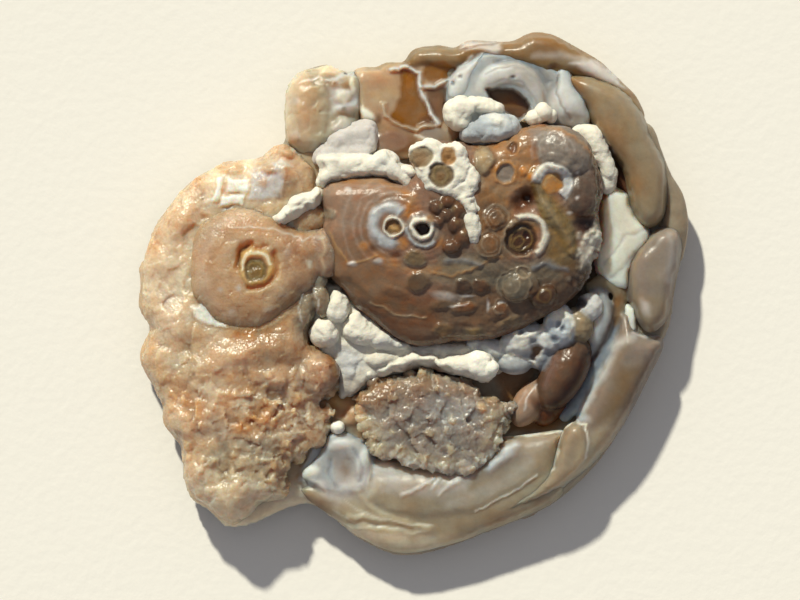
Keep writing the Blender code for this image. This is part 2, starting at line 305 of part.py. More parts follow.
def edge_distance(points, ring):
    """Distance of each point from a closed outline."""
    start, run = ring, np.roll(ring, -1, 0) - ring
    offset = points[:, None, :] - start[None]
    share = np.clip((offset * run).sum(2) / (run ** 2).sum(1), 0, 1)
    return np.linalg.norm(offset - share[..., None] * run, axis=2).min(1)


def inside_ring(points, ring):
    """True for each point that lies inside a closed outline."""
    x, y = points[:, :1], points[:, 1:]
    x0, y0 = ring[:, 0], ring[:, 1]
    x1, y1 = np.roll(x0, -1), np.roll(y0, -1)
    with np.errstate(divide="ignore", invalid="ignore"):
        crosses = ((y0 > y) != (y1 > y)) & (x < (x1 - x0) * (y - y0) / (y1 - y0) + x0)
    return crosses.sum(1) % 2 == 1


def surface_height(places, controls, reach=3.2):
    """Height at each place, blended from the control heights near it."""
    controls = np.array(controls, float)
    gap = ((places[:, None, :] - controls[None, :, :2]) ** 2).sum(2)
    weight = np.exp(-gap / (2 * reach ** 2)) + 1e-9 / (1 + gap)
    return (weight * controls[:, 2]).sum(1) / weight.sum(1)


def add_pillow(bm, outline, edge_height, top, under, rim, step=OUTLINE_STEP):
    """A rounded body over an outline: top and under are control heights, rim is how far its edge curves in."""
    ring = smooth_ring(outline, step)
    low, high = ring.min(0), ring.max(0)
    grid = np.stack(np.meshgrid(np.arange(low[0], high[0], step), np.arange(low[1], high[1], step)), 2)
    grid = grid.reshape(-1, 2)
    grid = grid[inside_ring(grid, ring)]
    grid = grid[edge_distance(grid, ring) > 0.45 * step]
    places = np.vstack([ring, grid])
    count = len(ring)
    edges = [(i, (i + 1) % count) for i in range(count)]
    found = geometry.delaunay_2d_cdt([Vector(p) for p in places], edges, [], 1, 1e-5)
    places, triangles = np.array([tuple(v) for v in found[0]]), found[2]
    distance = edge_distance(places, ring)
    rise = np.sqrt(1 - (1 - np.clip(distance / rim, 0, 1)) ** 2)
    upper = edge_height + (surface_height(places, top) - edge_height) * rise
    lower = edge_height + (surface_height(places, under) - edge_height) * rise
    on_edge = distance < 1e-4
    tops = [bm.verts.new((x * MM, y * MM, z * MM)) for (x, y), z in zip(places, upper)]
    bottoms = [tops[i] if on_edge[i] else bm.verts.new((x * MM, y * MM, z * MM))
               for i, ((x, y), z) in enumerate(zip(places, lower))]
    for a, b, c in triangles:
        bm.faces.new((tops[a], tops[b], tops[c]))
        if not (on_edge[a] and on_edge[b] and on_edge[c]):
            bm.faces.new((bottoms[c], bottoms[b], bottoms[a]))


def add_lump(bm, x, y, z, half_length, half_width, half_height, turn, rooting=ROOTING):
    """An ellipsoid whose lower half reaches deeper, so that it stands on what lies below it."""
    place = Matrix.Translation(Vector((x, y, z)) * MM) @ Matrix.Rotation(math.radians(turn), 4, "Z")
    ball = bmesh.ops.create_icosphere(bm, subdivisions=3, radius=1)
    for vert in ball["verts"]:
        depth = rooting if vert.co.z < 0 else 1
        vert.co = Vector((vert.co.x * half_length, vert.co.y * half_width, vert.co.z * half_height * depth)) * MM
    bmesh.ops.transform(bm, matrix=place, verts=ball["verts"])


def add_lobe(bm, tallness, stations, sides=14, cap_rings=4):
    """A worm of round section along a smooth curve through its stations, closed by round ends."""
    stations = np.array(stations, float)
    padded = np.vstack([2 * stations[0] - stations[1], stations, 2 * stations[-1] - stations[-2]])
    line = []
    for p0, p1, p2, p3 in zip(padded, padded[1:], padded[2:], padded[3:]):
        count = max(2, math.ceil(np.linalg.norm((p2 - p1)[:3]) / 0.6))
        for i in range(count):
            t = i / count
            line.append(0.5 * (2 * p1 + (p2 - p0) * t + (2 * p0 - 5 * p1 + 4 * p2 - p3) * t ** 2
                               + (3 * p1 - p0 - 3 * p2 + p3) * t ** 3))
    line.append(stations[-1])
    line = np.array(line)
    way = np.gradient(line[:, :3], axis=0)
    way /= np.linalg.norm(way, axis=1)[:, None]
    sections = []
    for end, sign, order in ((0, -1, range(cap_rings, 0, -1)), (-1, 1, range(1, cap_rings + 1))):
        cap = []
        for i in order:
            angle = math.pi / 2 * i / (cap_rings + 0.35)
            centre = line[end, :3] + sign * way[end] * line[end, 3] * math.sin(angle)
            cap.append((centre, way[end], line[end, 3] * math.cos(angle)))
        sections.append(cap)
    middle = [(p[:3], w, p[3]) for p, w in zip(line, way)]
    rings = []
    for centre, direction, radius in sections[0] + middle + sections[1]:
        across = Vector(direction).cross(Vector((0, 0, 1))).normalized()
        up = across.cross(Vector(direction)).normalized()
        ring = []
        for k in range(sides):
            angle = math.tau * k / sides
            height = radius * tallness * (ROOTING if math.sin(angle) < 0 else 1)
            offset = across * (math.cos(angle) * radius) + up * (math.sin(angle) * height)
            ring.append(bm.verts.new((Vector(centre) + offset) * MM))
        rings.append(ring)
    for first, second in zip(rings, rings[1:]):
        for k in range(sides):
            bm.faces.new((first[k], first[(k + 1) % sides], second[(k + 1) % sides], second[k]))
    bm.faces.new(list(reversed(rings[0])))
    bm.faces.new(rings[-1])


def add_ring(bm, x, y, z, ring_radius, wall_radius, around=28, sides=8):
    rings = []
    for i in range(around):
        turn = math.tau * i / around
        ring = []
        for k in range(sides):
            angle = math.tau * k / sides
            reach = ring_radius + wall_radius * math.cos(angle)
            spot = (x + reach * math.cos(turn), y + reach * math.sin(turn), z + wall_radius * math.sin(angle))
            ring.append(bm.verts.new(Vector(spot) * MM))
        rings.append(ring)
    for i, ring in enumerate(rings):
        after = rings[(i + 1) % around]
        for k in range(sides):
            bm.faces.new((ring[k], after[k], after[(k + 1) % sides], ring[(k + 1) % sides]))


def add_under_lumps(bm, chance):
    """Low knobs over the underside, on a loose triangular net."""
    edge = smooth_ring(STONE_EDGE, OUTLINE_STEP)
    row_gap = UNDER_LUMP_SPACING * math.sqrt(3) / 2
    spots = []
    for row in range(-8, 9):
        for column in range(-8, 9):
            spots.append(((column + 0.5 * (row % 2)) * UNDER_LUMP_SPACING + chance.uniform(-1, 1),
                          row * row_gap + chance.uniform(-1, 1)))
    spots = np.array(spots)
    spots = spots[inside_ring(spots, edge)]
    spots = spots[edge_distance(spots, edge) > 2.6]
    for (x, y), z in zip(spots, surface_height(spots, STONE_UNDER)):
        radius = chance.uniform(*UNDER_LUMP_RADIUS)
        add_lump(bm, x, y, z + UNDER_LUMP_HEIGHT - chance.uniform(0.3, 0.9), radius,
                 radius * chance.uniform(0.75, 1), UNDER_LUMP_HEIGHT, chance.uniform(0, 180), 1)


def growths(chance):
    """Every growth of the stone as closed shells that overlap, in one mesh."""
    bm = bmesh.new()
    add_pillow(bm, STONE_EDGE, 3.0, STONE_TOP, STONE_UNDER, 2.2)
    add_pillow(bm, SLOPE_EDGE, 5.2, SLOPE_TOP, [(0, 0, 3.6)], 2.4)
    add_pillow(bm, CORNER_EDGE, 5.0, [(-12, 20, 8.6), (-11, 24, 8.0)], [(0, 0, 3.4)], 1.8)
    add_pillow(bm, FLOWER_EDGE, 8.2, FLOWER_TOP, [(0, 0, 5.0)], 2.2)
    add_pillow(bm, ROSETTE_EDGE, 7.6, ROSETTE_TOP, [(0, 0, 3.8)], 3.0)
    add_pillow(bm, PLATE_EDGE, 6.4, PLATE_TOP, [(0, 0, 3.0)], 1.4)
    add_pillow(bm, PETAL_EDGE, 4.6, [(12, -18, 6.6), (6, -21.5, 6.3), (0, -22.5, 5.8)], [(0, 0, 3.0)], 1.6)
    add_pillow(bm, CELL_EDGE, 4.8, [(-3.6, 23, 6.6)], [(0, 0, 3.4)], 1.0)
    add_pillow(bm, SHEET_EDGE, 5.4, [(5.6, 24, 7.2)], [(0, 0, 4.0)], 0.9)
    for tallness, stations in LOBES.values():
        add_lobe(bm, tallness, stations)
    for group in LUMPS.values():
        for lump in group:
            add_lump(bm, *lump)
    for group in RINGS.values():
        for ring in group:
            add_ring(bm, *ring)
    add_under_lumps(bm, chance)
    bmesh.ops.recalc_face_normals(bm, faces=bm.faces)
    mesh = bpy.data.meshes.new("growths")
    bm.to_mesh(mesh)
    bm.free()
    return mesh


def evaluated_mesh(obj):
    bpy.context.view_layer.update()
    graph = bpy.context.evaluated_depsgraph_get()
    return bpy.data.meshes.new_from_object(obj.evaluated_get(graph))


def fuse(obj):
    """Melts the overlapping shells into one skin, closes its narrow gaps and rounds its joins a little."""
    for name, swelling in (("fuse", GAP_CLOSING), ("close_gaps", -GAP_CLOSING)):
        remesh = obj.modifiers.new(name, "REMESH")
        remesh.mode = "VOXEL"
        remesh.voxel_size = FUSE_VOXEL * MM
        swell = obj.modifiers.new(name + "_swell", "DISPLACE")
        swell.direction = "NORMAL"
        swell.mid_level = 0.0
        swell.strength = swelling * MM
    smooth = obj.modifiers.new("round_joins", "SMOOTH")
    smooth.factor = 0.5
    smooth.iterations = FUSE_SMOOTHING
    mesh = evaluated_mesh(obj)
    obj.modifiers.clear()
    obj.data = mesh


def sink_hollows(mesh):
    """Pushes the open stalactite ends, pits and moats down into the top of the skin."""
    spots = np.empty(len(mesh.vertices) * 3, np.float32)
    mesh.vertices.foreach_get("co", spots)
    spots = spots.reshape(-1, 3).astype(float) / MM
    normals = np.empty(len(mesh.vertices) * 3, np.float32)
    mesh.vertices.foreach_get("normal", normals)
    faces_up = np.clip(normals.reshape(-1, 3)[:, 2] * 3, 0, 1) * (spots[:, 2] > 3.5)
    for x, y, radius, depth in HOLLOWS:
        away = np.hypot(spots[:, 0] - x, spots[:, 1] - y) / radius
        spots[:, 2] -= depth * np.clip(1 - away ** 4, 0, 1) * faces_up
    for x, y, inner, outer, depth in MOATS:
        away = np.hypot(spots[:, 0] - x, spots[:, 1] - y)
        across = np.abs(away - (inner + outer) / 2) / ((outer - inner) / 2)
        spots[:, 2] -= depth * np.clip(1 - across ** 4, 0, 1) * faces_up
    mesh.vertices.foreach_set("co", (spots * MM).astype(np.float32).ravel())
    mesh.update()


def thin_out(obj):
    """Leaves as many triangles as the stone needs from a step away."""
    count = sum(len(polygon.vertices) - 2 for polygon in obj.data.polygons)
    thinning = obj.vertex_groups.new(name="thinning")
    for vertex in obj.data.vertices:
        spot = vertex.co / MM
        hidden = vertex.normal.z < -0.1 or spot.z < 2.5
        eye = spot.z > 9 and any(math.hypot(spot.x - x, spot.y - y) < radius + 0.9 for x, y, radius, _ in HOLLOWS)
        weight = 1.0 if hidden else EYE_THINNING if eye else TOP_THINNING
        thinning.add([vertex.index], weight, "REPLACE")
    decimate = obj.modifiers.new("thin_out", "DECIMATE")
    decimate.ratio = STONE_TRIANGLES / count
    decimate.use_collapse_triangulate = True
    decimate.vertex_group = "thinning"
    mesh = evaluated_mesh(obj)
    obj.modifiers.clear()
    obj.data = mesh


def drop_crumbs(bm):
    """Keeps the stone itself and removes any crumb that a cut or a hollow has left loose beside it."""
    waiting = set(bm.faces)
    pieces = []
    while waiting:
        piece = [waiting.pop()]
        for face in piece:
            for edge in face.edges:
                for other in edge.link_faces:
                    if other in waiting:
                        waiting.remove(other)
                        piece.append(other)
        pieces.append(piece)
    pieces.sort(key=len)
    for piece in pieces[:-1]:
        bmesh.ops.delete(bm, geom=piece, context="FACES")


def wear_base_flat(mesh):
    """Cuts the underside flat at the contact level and sets the stone down on it, centred on the origin."""
    bm = bmesh.new()
    bm.from_mesh(mesh)
    everything = bm.verts[:] + bm.edges[:] + bm.faces[:]
    level = CONTACT_LEVEL * MM
    cut = bmesh.ops.bisect_plane(bm, geom=everything, dist=1e-7, plane_co=(0, 0, level), plane_no=(0, 0, -1),
                                 clear_outer=True)
    rim = [item for item in cut["geom_cut"] if isinstance(item, bmesh.types.BMEdge)]
    bmesh.ops.holes_fill(bm, edges=rim, sides=0)
    drop_crumbs(bm)
    bmesh.ops.triangulate(bm, faces=bm.faces[:])
    bmesh.ops.recalc_face_normals(bm, faces=bm.faces)
    middle = [(min(v.co[k] for v in bm.verts) + max(v.co[k] for v in bm.verts)) / 2 for k in (0, 1)]
    bmesh.ops.translate(bm, verts=bm.verts, vec=(-middle[0], -middle[1], -level))
    bm.to_mesh(mesh)
    bm.free()


def crystal_spots(edge, count, apart, chance):
    """Scattered places inside an outline, none nearer to another than the given distance."""
    ring = smooth_ring(edge, OUTLINE_STEP)
    low, high = ring.min(0), ring.max(0)
    spots = []
    for _ in range(count * 40):
        spot = np.array([chance.uniform(low[0], high[0]), chance.uniform(low[1], high[1])])
        if len(spots) == count:
            break
        if not inside_ring(spot[None], ring)[0]:
            continue
        if all(np.linalg.norm(spot - other) > apart for other in spots):
            spots.append(spot)
    return spots


def add_crystal(bm, foot, way, radius, length, twist, blunt=0.0):
    """A six-sided quartz prism standing on its foot along way. It ends in a point or, if blunt, in a small flat."""
    turn = way.to_track_quat("Z", "Y").to_matrix() @ Matrix.Rotation(twist, 3, "Z")
    levels = [(0.0, 1.0), (0.84 if blunt else 0.62, 0.94)]
    if blunt:
        levels.append((1.0, blunt))
    rings = []
    for share, width in levels:
        ring = []
        for k in range(6):
            angle = math.tau * k / 6
            corner = Vector((math.cos(angle) * radius * width, math.sin(angle) * radius * width, share * length))
            ring.append(bm.verts.new((foot + turn @ corner) * MM))
        rings.append(ring)
    for lower, upper in zip(rings, rings[1:]):
        for k in range(6):
            bm.faces.new((lower[k], lower[(k + 1) % 6], upper[(k + 1) % 6], upper[k]))
    bm.faces.new(list(reversed(rings[0])))
    if blunt:
        bm.faces.new(rings[-1])
        return
    tip = bm.verts.new((foot + turn @ Vector((0, 0, length))) * MM)
    for k in range(6):
        bm.faces.new((rings[-1][k], rings[-1][(k + 1) % 6], tip))


def along_line(line, count):
    """Evenly spaced points on a line through stations, with the line's direction at each."""
    line = np.array(line, float)
    steps = np.linalg.norm(np.diff(line, axis=0), axis=1)
    ends = np.concatenate([[0], np.cumsum(steps)])
    for share in (np.arange(count) + 0.5) / count:
        at = share * ends[-1]
        i = min(int(np.searchsorted(ends, at, side="right")) - 1, len(steps) - 1)
        run = line[i + 1] - line[i]
        yield line[i] + run * (at - ends[i]) / steps[i], run / steps[i]


def druse(mesh, chance):
    """The quartz crystals, each rooted in the skin, as a helper object for the union."""
    bm = bmesh.new()
    bm.from_mesh(mesh)
    skin = bvhtree.BVHTree.FromBMesh(bm)
    bm.free()
    bm = bmesh.new()
    for edge, count, radii, apart in DRUSE.values():
        for spot in crystal_spots(edge, count, apart, chance):
            hit, normal, _, _ = skin.ray_cast(Vector((spot[0], spot[1], 40)) * MM, Vector((0, 0, -1)))
            if hit is None:
                continue
            radius = chance.uniform(*radii)
            lean = Vector([chance.uniform(-1.0, 1.0), chance.uniform(-1.0, 1.0), 0.9])
            way = (normal * 0.6 + lean).normalized()
            length = radius * chance.uniform(1.7, 2.2)
            foot = hit / MM - way * length * 0.56
            add_crystal(bm, foot, way, radius, length, chance.uniform(0, 1))
    for line, side, count in DRUSE_EDGES.values():
        for spot, run in along_line(line, count):
            out = Vector((run[1], -run[0], 0)) * -side
            way = (out + Vector([chance.uniform(-0.35, 0.35) for _ in range(3)])).normalized()
            radius = chance.uniform(*DRUSE_EDGE_RADIUS)
            length = chance.uniform(2.2, 3.0)
            foot = Vector(spot) - way * length * 0.6
            add_crystal(bm, foot, way, radius, length, chance.uniform(0, 1), DRUSE_EDGE_BLUNT)
    crystals = bpy.data.meshes.new("druse_crystals")
    bm.to_mesh(crystals)
    bm.free()
    helper = bpy.data.objects.new("druse_crystals", crystals)
    bpy.context.scene.collection.objects.link(helper)
    helper.hide_render = True
    helper.display_type = "WIRE"
    return helper


def stone_material():
    material = bpy.data.materials.new("chalcedony")
    material.use_nodes = True
    shader = material.node_tree.nodes["Principled BSDF"]
    shader.inputs["Base Color"].default_value = (*COLOURS["stone"], 1)
    shader.inputs["Roughness"].default_value = 0.32
    shader.inputs["Metallic"].default_value = 0.0
    return material


def build_stone():
    chance = random.Random(SEED)
    stone = bpy.data.objects.new("chalcedony", growths(chance))
    bpy.context.scene.collection.objects.link(stone)
    fuse(stone)
    sink_hollows(stone.data)
    thin_out(stone)
    helper = druse(stone.data, chance)
    union = stone.modifiers.new("druse", "BOOLEAN")
    union.operation = "UNION"
    union.object = helper
    union.solver = "EXACT"
    union.use_self = True
    stone.data = evaluated_mesh(stone)
    stone.modifiers.clear()
    bpy.data.objects.remove(helper, do_unlink=True)
    wear_base_flat(stone.data)
    stone.data.shade_smooth()
    stone.data.set_sharp_from_angle(angle=math.radians(38))
    stone.data.materials.clear()
    stone.data.materials.append(stone_material())


clear_scene()
build_stone()
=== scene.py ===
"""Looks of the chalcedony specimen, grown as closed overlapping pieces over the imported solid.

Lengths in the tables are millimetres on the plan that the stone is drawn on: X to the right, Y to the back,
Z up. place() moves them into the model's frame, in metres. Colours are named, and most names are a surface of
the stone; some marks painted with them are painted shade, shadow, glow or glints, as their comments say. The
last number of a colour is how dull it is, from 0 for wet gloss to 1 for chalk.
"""

import math
import random

import bmesh
import bpy
import numpy as np
from mathutils import Matrix, Vector, bvhtree, geometry


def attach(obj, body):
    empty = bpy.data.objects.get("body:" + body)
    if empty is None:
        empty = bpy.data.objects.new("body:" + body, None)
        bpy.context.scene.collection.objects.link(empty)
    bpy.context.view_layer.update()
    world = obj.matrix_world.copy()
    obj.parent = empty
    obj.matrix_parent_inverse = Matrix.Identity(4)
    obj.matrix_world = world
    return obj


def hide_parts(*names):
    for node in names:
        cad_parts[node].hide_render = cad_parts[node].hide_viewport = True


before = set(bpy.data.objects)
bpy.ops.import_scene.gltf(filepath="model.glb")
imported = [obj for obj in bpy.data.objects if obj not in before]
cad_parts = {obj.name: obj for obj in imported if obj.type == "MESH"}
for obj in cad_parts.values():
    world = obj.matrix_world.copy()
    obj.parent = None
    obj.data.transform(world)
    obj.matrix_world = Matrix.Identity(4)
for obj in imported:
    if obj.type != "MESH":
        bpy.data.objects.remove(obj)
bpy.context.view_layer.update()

MM = 0.001
SEED = 11
PLAN_TO_MODEL = (-0.183, -0.181, -0.45)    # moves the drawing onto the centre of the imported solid
CONTACT_LEVEL = 0.45                       # drawing height of the worn flats that the stone rests on
TOP_LEVEL = 12.79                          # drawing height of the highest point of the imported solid
TINY = 1e-12                               # keeps a division by a length of nothing from failing

# Shapes
OUTLINE_STEP = 0.6                         # spacing of the corners of a broad growth
EDGE_CLEARANCE = 0.45                      # steps that the corners inside an outline keep from it
MERGE_DISTANCE = 1e-5                      # corners nearer than this are one
ON_EDGE = 1e-4                             # corners nearer to an outline than this lie on it
INSIDE_ONLY = 1                            # asks the triangulation for the faces inside the outline
CONTROL_REACH = 3.2                        # how far off a control height is felt
FAR_PULL = 1e-9                            # what is left of a control height beyond that
ROOTING = 1.5                              # how much deeper a growth's lower half reaches than its upper half
REGION_STEP = 0.9                          # spacing of points on an outline that only bounds a region
LOBE_STEP = 0.4                            # spacing of the rings along a worm
LOBE_SIDES = 20
LOBE_CAP_RINGS = 5                         # rings that close each end of a worm
LOBE_CAP_GAP = 0.35                        # ring spacings from the last of them to the tip
CRYSTAL_SIDES = 6
CRYSTAL_RINGS = ((0.0, 1.0), (0.7, 0.95))  # share of the length, share of the radius
CRYSTAL_LENGTH = (2.0, 2.8)                # in radii, for one that stands on a growth
CRYSTAL_LEAN = 0.7                         # how far it may lean, to 1 upwards
TRIES_PER_CRYSTAL = 12
TOOTH_RADIUS = (0.5, 1.1)                  # of a crystal that juts out from an edge
TOOTH_LENGTH = (2.0, 3.2)
TOOTH_RISE = 0.3                           # how far it points up, to 1 outwards
TOOTH_LEAN = 0.5
TOOTH_SUNK = 0.64                          # share of it that is buried in the edge

# Relief
CHIP_WAVER = 0.12                          # how far the edges of a flat chip bend, in chips
CHIP_WAVER_SIZE = 0.6
CHIP_TURN = 40                             # spreads the chips' directions over many turns
CHIP_TILT = 0.9
CHIP_STEP = 0.6
RIPPLE_LENGTH = 0.6
RIPPLE_START = 0.3                         # width over which the ripples come in round an eye
RIPPLE_REACH = 2.6                         # how far from the eye they die away
CRUST_BASE = -0.45                         # depth of the creases between the knobs of white crust
CRUST_KNOBS = ((2.4, 0.5, 30), (1.1, 0.28, 35), (0.5, 0.08, 95))    # size, height, salt
CRUST_KNOB_WIDTH = 0.9

# Noise
CELL_FACTORS = (73856093, 19349663, 83492791)
SALT_FACTOR = 668265263
LARGEST_WORD = 0xFFFFFFFF
HASH_ROUNDS = ((15, 2246822519), (13, 3266489917), (16, 1))         # shift, factor
OCTAVES = 3

# Colour and shade
LIGHT_ON_GROUND = (1.03, 1.01, 0.90)       # red, green and blue light on level ground
SKY_IN_GLOSS = 0.012                       # share of light that a wet gloss adds to every colour
DARKEST = 0.004                            # least share of light that a surface sends back
JOIN_PASSES = 4                            # times that the colours are evened out where growths join
EDGE_STRAY = 0.22                          # how far the edge of a marking strays from its drawn line
MARKED_DOWN_TO = -0.2                      # how far a side may turn downwards and still take markings
# Painted shade: the tint is darkened in the creases of the relief, as shade would fall in them
CREASE_DEPTH = 0.35                        # relief at which a crease is darkest
CREASE_SHADE = 0.14                        # how much a crease darkens
NOISE_RANGE = (0.3, 0.7)                   # between these lies nearly all of a noise texture
VEIL_PER_HUE = 25                          # how much weaker the drift of hue is than that of strength

# Surfaces: red, green, blue as seen in the light, and dullness
PALETTE = {
    "peach": (210, 182, 146, 0.30), "pale_peach": (233, 215, 180, 0.35), "sand": (200, 172, 134, 0.25),
    "tan": (184, 152, 116, 0.20), "deep_tan": (172, 140, 106, 0.15), "rose_tan": (190, 153, 112, 0.15),
    "mauve_tan": (161, 131, 104, 0.35), "brown_tan": (148, 118, 84, 0.15), "toffee": (138, 104, 66, 0.10),
    "rose_brown": (140, 110, 88, 0.10), "umber": (112, 84, 62, 0.10), "cocoa": (96, 72, 54, 0.08),
    "dark_umber": (80, 60, 46, 0.08), "red_brown": (92, 54, 32, 0.08), "black_brown": (50, 33, 24, 0.10),
    "amber": (142, 94, 42, 0.02), "deep_amber": (112, 66, 26, 0.02), "orange": (192, 134, 76, 0.08),
    "honey": (200, 162, 104, 0.10), "olive": (124, 104, 74, 0.12), "olive_tan": (151, 134, 104, 0.15),
    "grey_tan": (150, 136, 112, 0.20), "pale_grey_tan": (168, 153, 124, 0.20), "slate": (92, 98, 104, 0.30),
    "grey_brown": (138, 126, 111, 0.18), "lilac_grey": (152, 140, 124, 0.15),
    "lilac_brown": (126, 106, 94, 0.15), "blue_grey": (124, 132, 136, 0.35),
    "grey": (168, 170, 164, 0.40), "film": (204, 198, 186, 0.40), "blue_white": (196, 202, 198, 0.50),
    "porcelain": (202, 201, 191, 0.45), "shade_cream": (214, 208, 186, 0.80), "cream": (233, 227, 204, 0.90),
    "ivory": (249, 245, 222, 1.00), "white_glint": (250, 248, 240, 0.10), "amber_tan": (170, 125, 75, 0.08),
    "moss": (130, 110, 70, 0.08), "grey_olive": (112, 102, 84, 0.12), "plum": (108, 88, 66, 0.10),
    "rosewood": (141, 107, 76, 0.25), "chestnut": (116, 82, 56, 0.10), "grey_sand": (184, 169, 138, 0.25),
    "blush": (207, 174, 138, 0.15), "warm_tan": (172, 130, 88, 0.12), "ridge_tan": (132, 110, 72, 0.12),
    "back_brown": (138, 112, 74, 0.15),
}

# Outlines
STONE_EDGE = [
    (-14.2, 18.2), (-14.3, 20.5), (-14, 23.4), (-12.6, 25), (-11.4, 25.4), (-9.4, 25.9), (-7.6, 25.1),
    (-5, 25.1), (-2.8, 26.1), (-1, 26), (0.1, 27.5), (2.9, 28), (4.8, 27.7), (6.3, 28.5), (9.5, 28.4),
    (11.4, 28.5), (13.2, 29.4), (15.6, 29.2), (18.2, 27.9), (21, 26.2), (23, 24.2), (25, 22.2), (26.1, 19.7),
    (27.3, 16.8), (28.7, 14.4), (28.9, 13.2), (30, 11.3), (30.9, 8.2), (30.9, 6), (30.2, 3.2), (29.5, 0),
    (29, -3.4), (27.5, -7), (25.6, -11), (24.2, -14), (22, -17.6), (19.3, -20.7), (16, -23.5), (13, -25),
    (8, -27), (4, -28.5), (0, -29.4), (-3, -29), (-6.3, -27.3), (-9, -25.2), (-11.4, -23.7), (-14, -24.2),
    (-17, -25.6), (-20, -26.4), (-21.7, -25.4), (-23, -24.2), (-24.8, -23), (-25.6, -21), (-25.9, -17.5),
    (-26.6, -16.4), (-27.9, -14.6), (-28.2, -12), (-29.5, -9.9), (-30.7, -7.2), (-30.2, -5.3), (-29.5, -3.8),
    (-30.3, -2.5), (-30.8, -1.2), (-30.6, 1.2), (-30.7, 3.2), (-29.7, 4.6), (-29.5, 6.2), (-28.6, 8.2),
    (-27, 10.4), (-25.6, 12.1), (-23.8, 13.5), (-22.1, 14.3), (-20.7, 15.1), (-18.2, 15.1), (-16, 16),
    (-14.6, 16.8),
]
SLOPE_EDGE = [
    (-29.9, 3.2), (-29, 6.4), (-26.6, 10.6), (-23.6, 13.2), (-20.6, 14.7), (-17.2, 15.2), (-14, 16.8),
    (-10.6, 13.8), (-10.2, 10), (-9, 6), (-9.4, 3), (-9.8, 0.5), (-10.3, -2.2), (-11.3, -4.6), (-10.4, -6.3),
    (-8.8, -7.6), (-8.2, -9.6), (-8.8, -11.4), (-10.2, -12.4), (-9.4, -14), (-9, -15.6), (-10.8, -17),
    (-12.8, -17.3), (-13.4, -18.8), (-13.9, -20.4), (-14.2, -22.7), (-16.6, -23.4), (-18.4, -25),
    (-20, -25.9), (-21.5, -24.9), (-22.8, -23.8), (-24.6, -22.7), (-25.3, -20.6), (-25.7, -17.6),
    (-26.3, -16.1), (-27.7, -14.4), (-28, -11.8), (-29.2, -9.7), (-30.2, -7.2), (-29.2, -4), (-30.1, -1.4),
]
CROWN_EDGE = [
    (-0.1, 15.8), (0.5, 16.7), (2.2, 17.1), (3.4, 16.5), (4.7, 16.9), (5.8, 16.1), (6.2, 14.4), (7.1, 13.6),
    (7.6, 12.6), (7.4, 11.4), (6.9, 10.6), (7.5, 9.5), (7.5, 8), (7.4, 6.4), (6.7, 5.2), (6.1, 5.9),
    (6.1, 7.2), (5.8, 8.5), (5.5, 9.7), (4.3, 10.7), (2.9, 11), (1.5, 11.4), (0.9, 12.7), (0.4, 14),
    (-0.1, 14.8),
]
CORNER_EDGE = [
    (-14.1, 17), (-14.2, 20.5), (-13.8, 23.4), (-12.4, 25), (-11.2, 25.2), (-9.4, 25.7), (-7.6, 24.9),
    (-5.6, 24.8), (-5.2, 22), (-5.4, 19), (-5.2, 16.6), (-8, 15.6), (-12, 15.2),
]
FLOWER_EDGE = [
    (-24.5, 4.4), (-24.2, 6.4), (-23, 8), (-21, 9.2), (-18.5, 9.6), (-15.5, 8.8), (-13, 7.6), (-11, 7.5),
    (-8.9, 7), (-8.3, 5), (-9, 3), (-10.3, 1.2), (-12.1, -0.6), (-14.2, -2.4), (-16.2, -3.7), (-18.5, -4.1),
    (-20.6, -3.8), (-22.2, -2.8), (-23.5, -1.2), (-24.5, 0.4), (-24.6, 2.4),
]
ROSETTE_EDGE = [
    (-9.9, 9.2), (-10.3, 11.2), (-9.4, 12.5), (-7.5, 13), (-5, 13.2), (-3, 13.2), (-1.2, 12.6), (-0.2, 14.4),
    (0.4, 16.6), (2.2, 17.1), (5.2, 16.9), (7.4, 16.7), (9.6, 17.1), (12, 18.4), (14.5, 18.9), (16.8, 18.5),
    (18.8, 17.2), (20.2, 15.4), (20.9, 13.4), (21.2, 11), (20.8, 9.4), (21, 7.6), (20.7, 5.6), (20, 3.2),
    (19.3, 1.2), (17.8, -0.6), (15.8, -2), (13, -3.4), (10.5, -4.6), (8, -5.1), (4.5, -5.3), (1, -5.8),
    (-1.6, -5), (-4.2, -3.1), (-6.3, -1.4), (-7.6, 0.5), (-9, 1.8), (-9.4, 4.6), (-10, 6.6),
]
PLATE_EDGE = [
    (-6.8, -11.6), (-5, -10.6), (-3.2, -9.2), (-0.5, -9), (2, -8.8), (5, -9.3), (7.2, -10.1), (8.2, -11.6),
    (10.5, -12.1), (10.4, -14.2), (9.8, -16.2), (9.3, -17.6), (7.6, -18.9), (5.2, -20.1), (3.4, -20.2),
    (1.8, -19.3), (-0.4, -19.3), (-1.6, -17.9), (-3.2, -18.5), (-4.3, -17), (-5.1, -15.4), (-5.3, -13.6),
]
PETAL_EDGE = [
    (10.2, -15.9), (13, -15.5), (16.8, -15.2), (16.4, -17.4), (15.2, -19.4), (12.6, -21), (9.5, -22.6),
    (6.8, -24), (2, -24.6), (-2.2, -24.4), (-4.8, -22.6), (-3.6, -20.6), (0, -20.6), (4, -20.8), (8, -19.2),
    (9.6, -17.6),
]
FRONT_SLAB_EDGE = [
    (-12.8, -21.4), (-11.4, -23.2), (-9, -24.9), (-6.3, -26.9), (-3, -28.6), (0, -29), (4, -28.1), (8, -26.7),
    (13, -24.7), (16, -23.1), (17.4, -21.4), (16.4, -19), (16.8, -16.4), (16.9, -15.1), (13, -15.5),
    (10, -15.8), (8.4, -16.4), (6.8, -17.6), (3, -18.8), (-0.6, -18.6), (-3.6, -18), (-5.4, -19.6),
    (-8.6, -21),
]
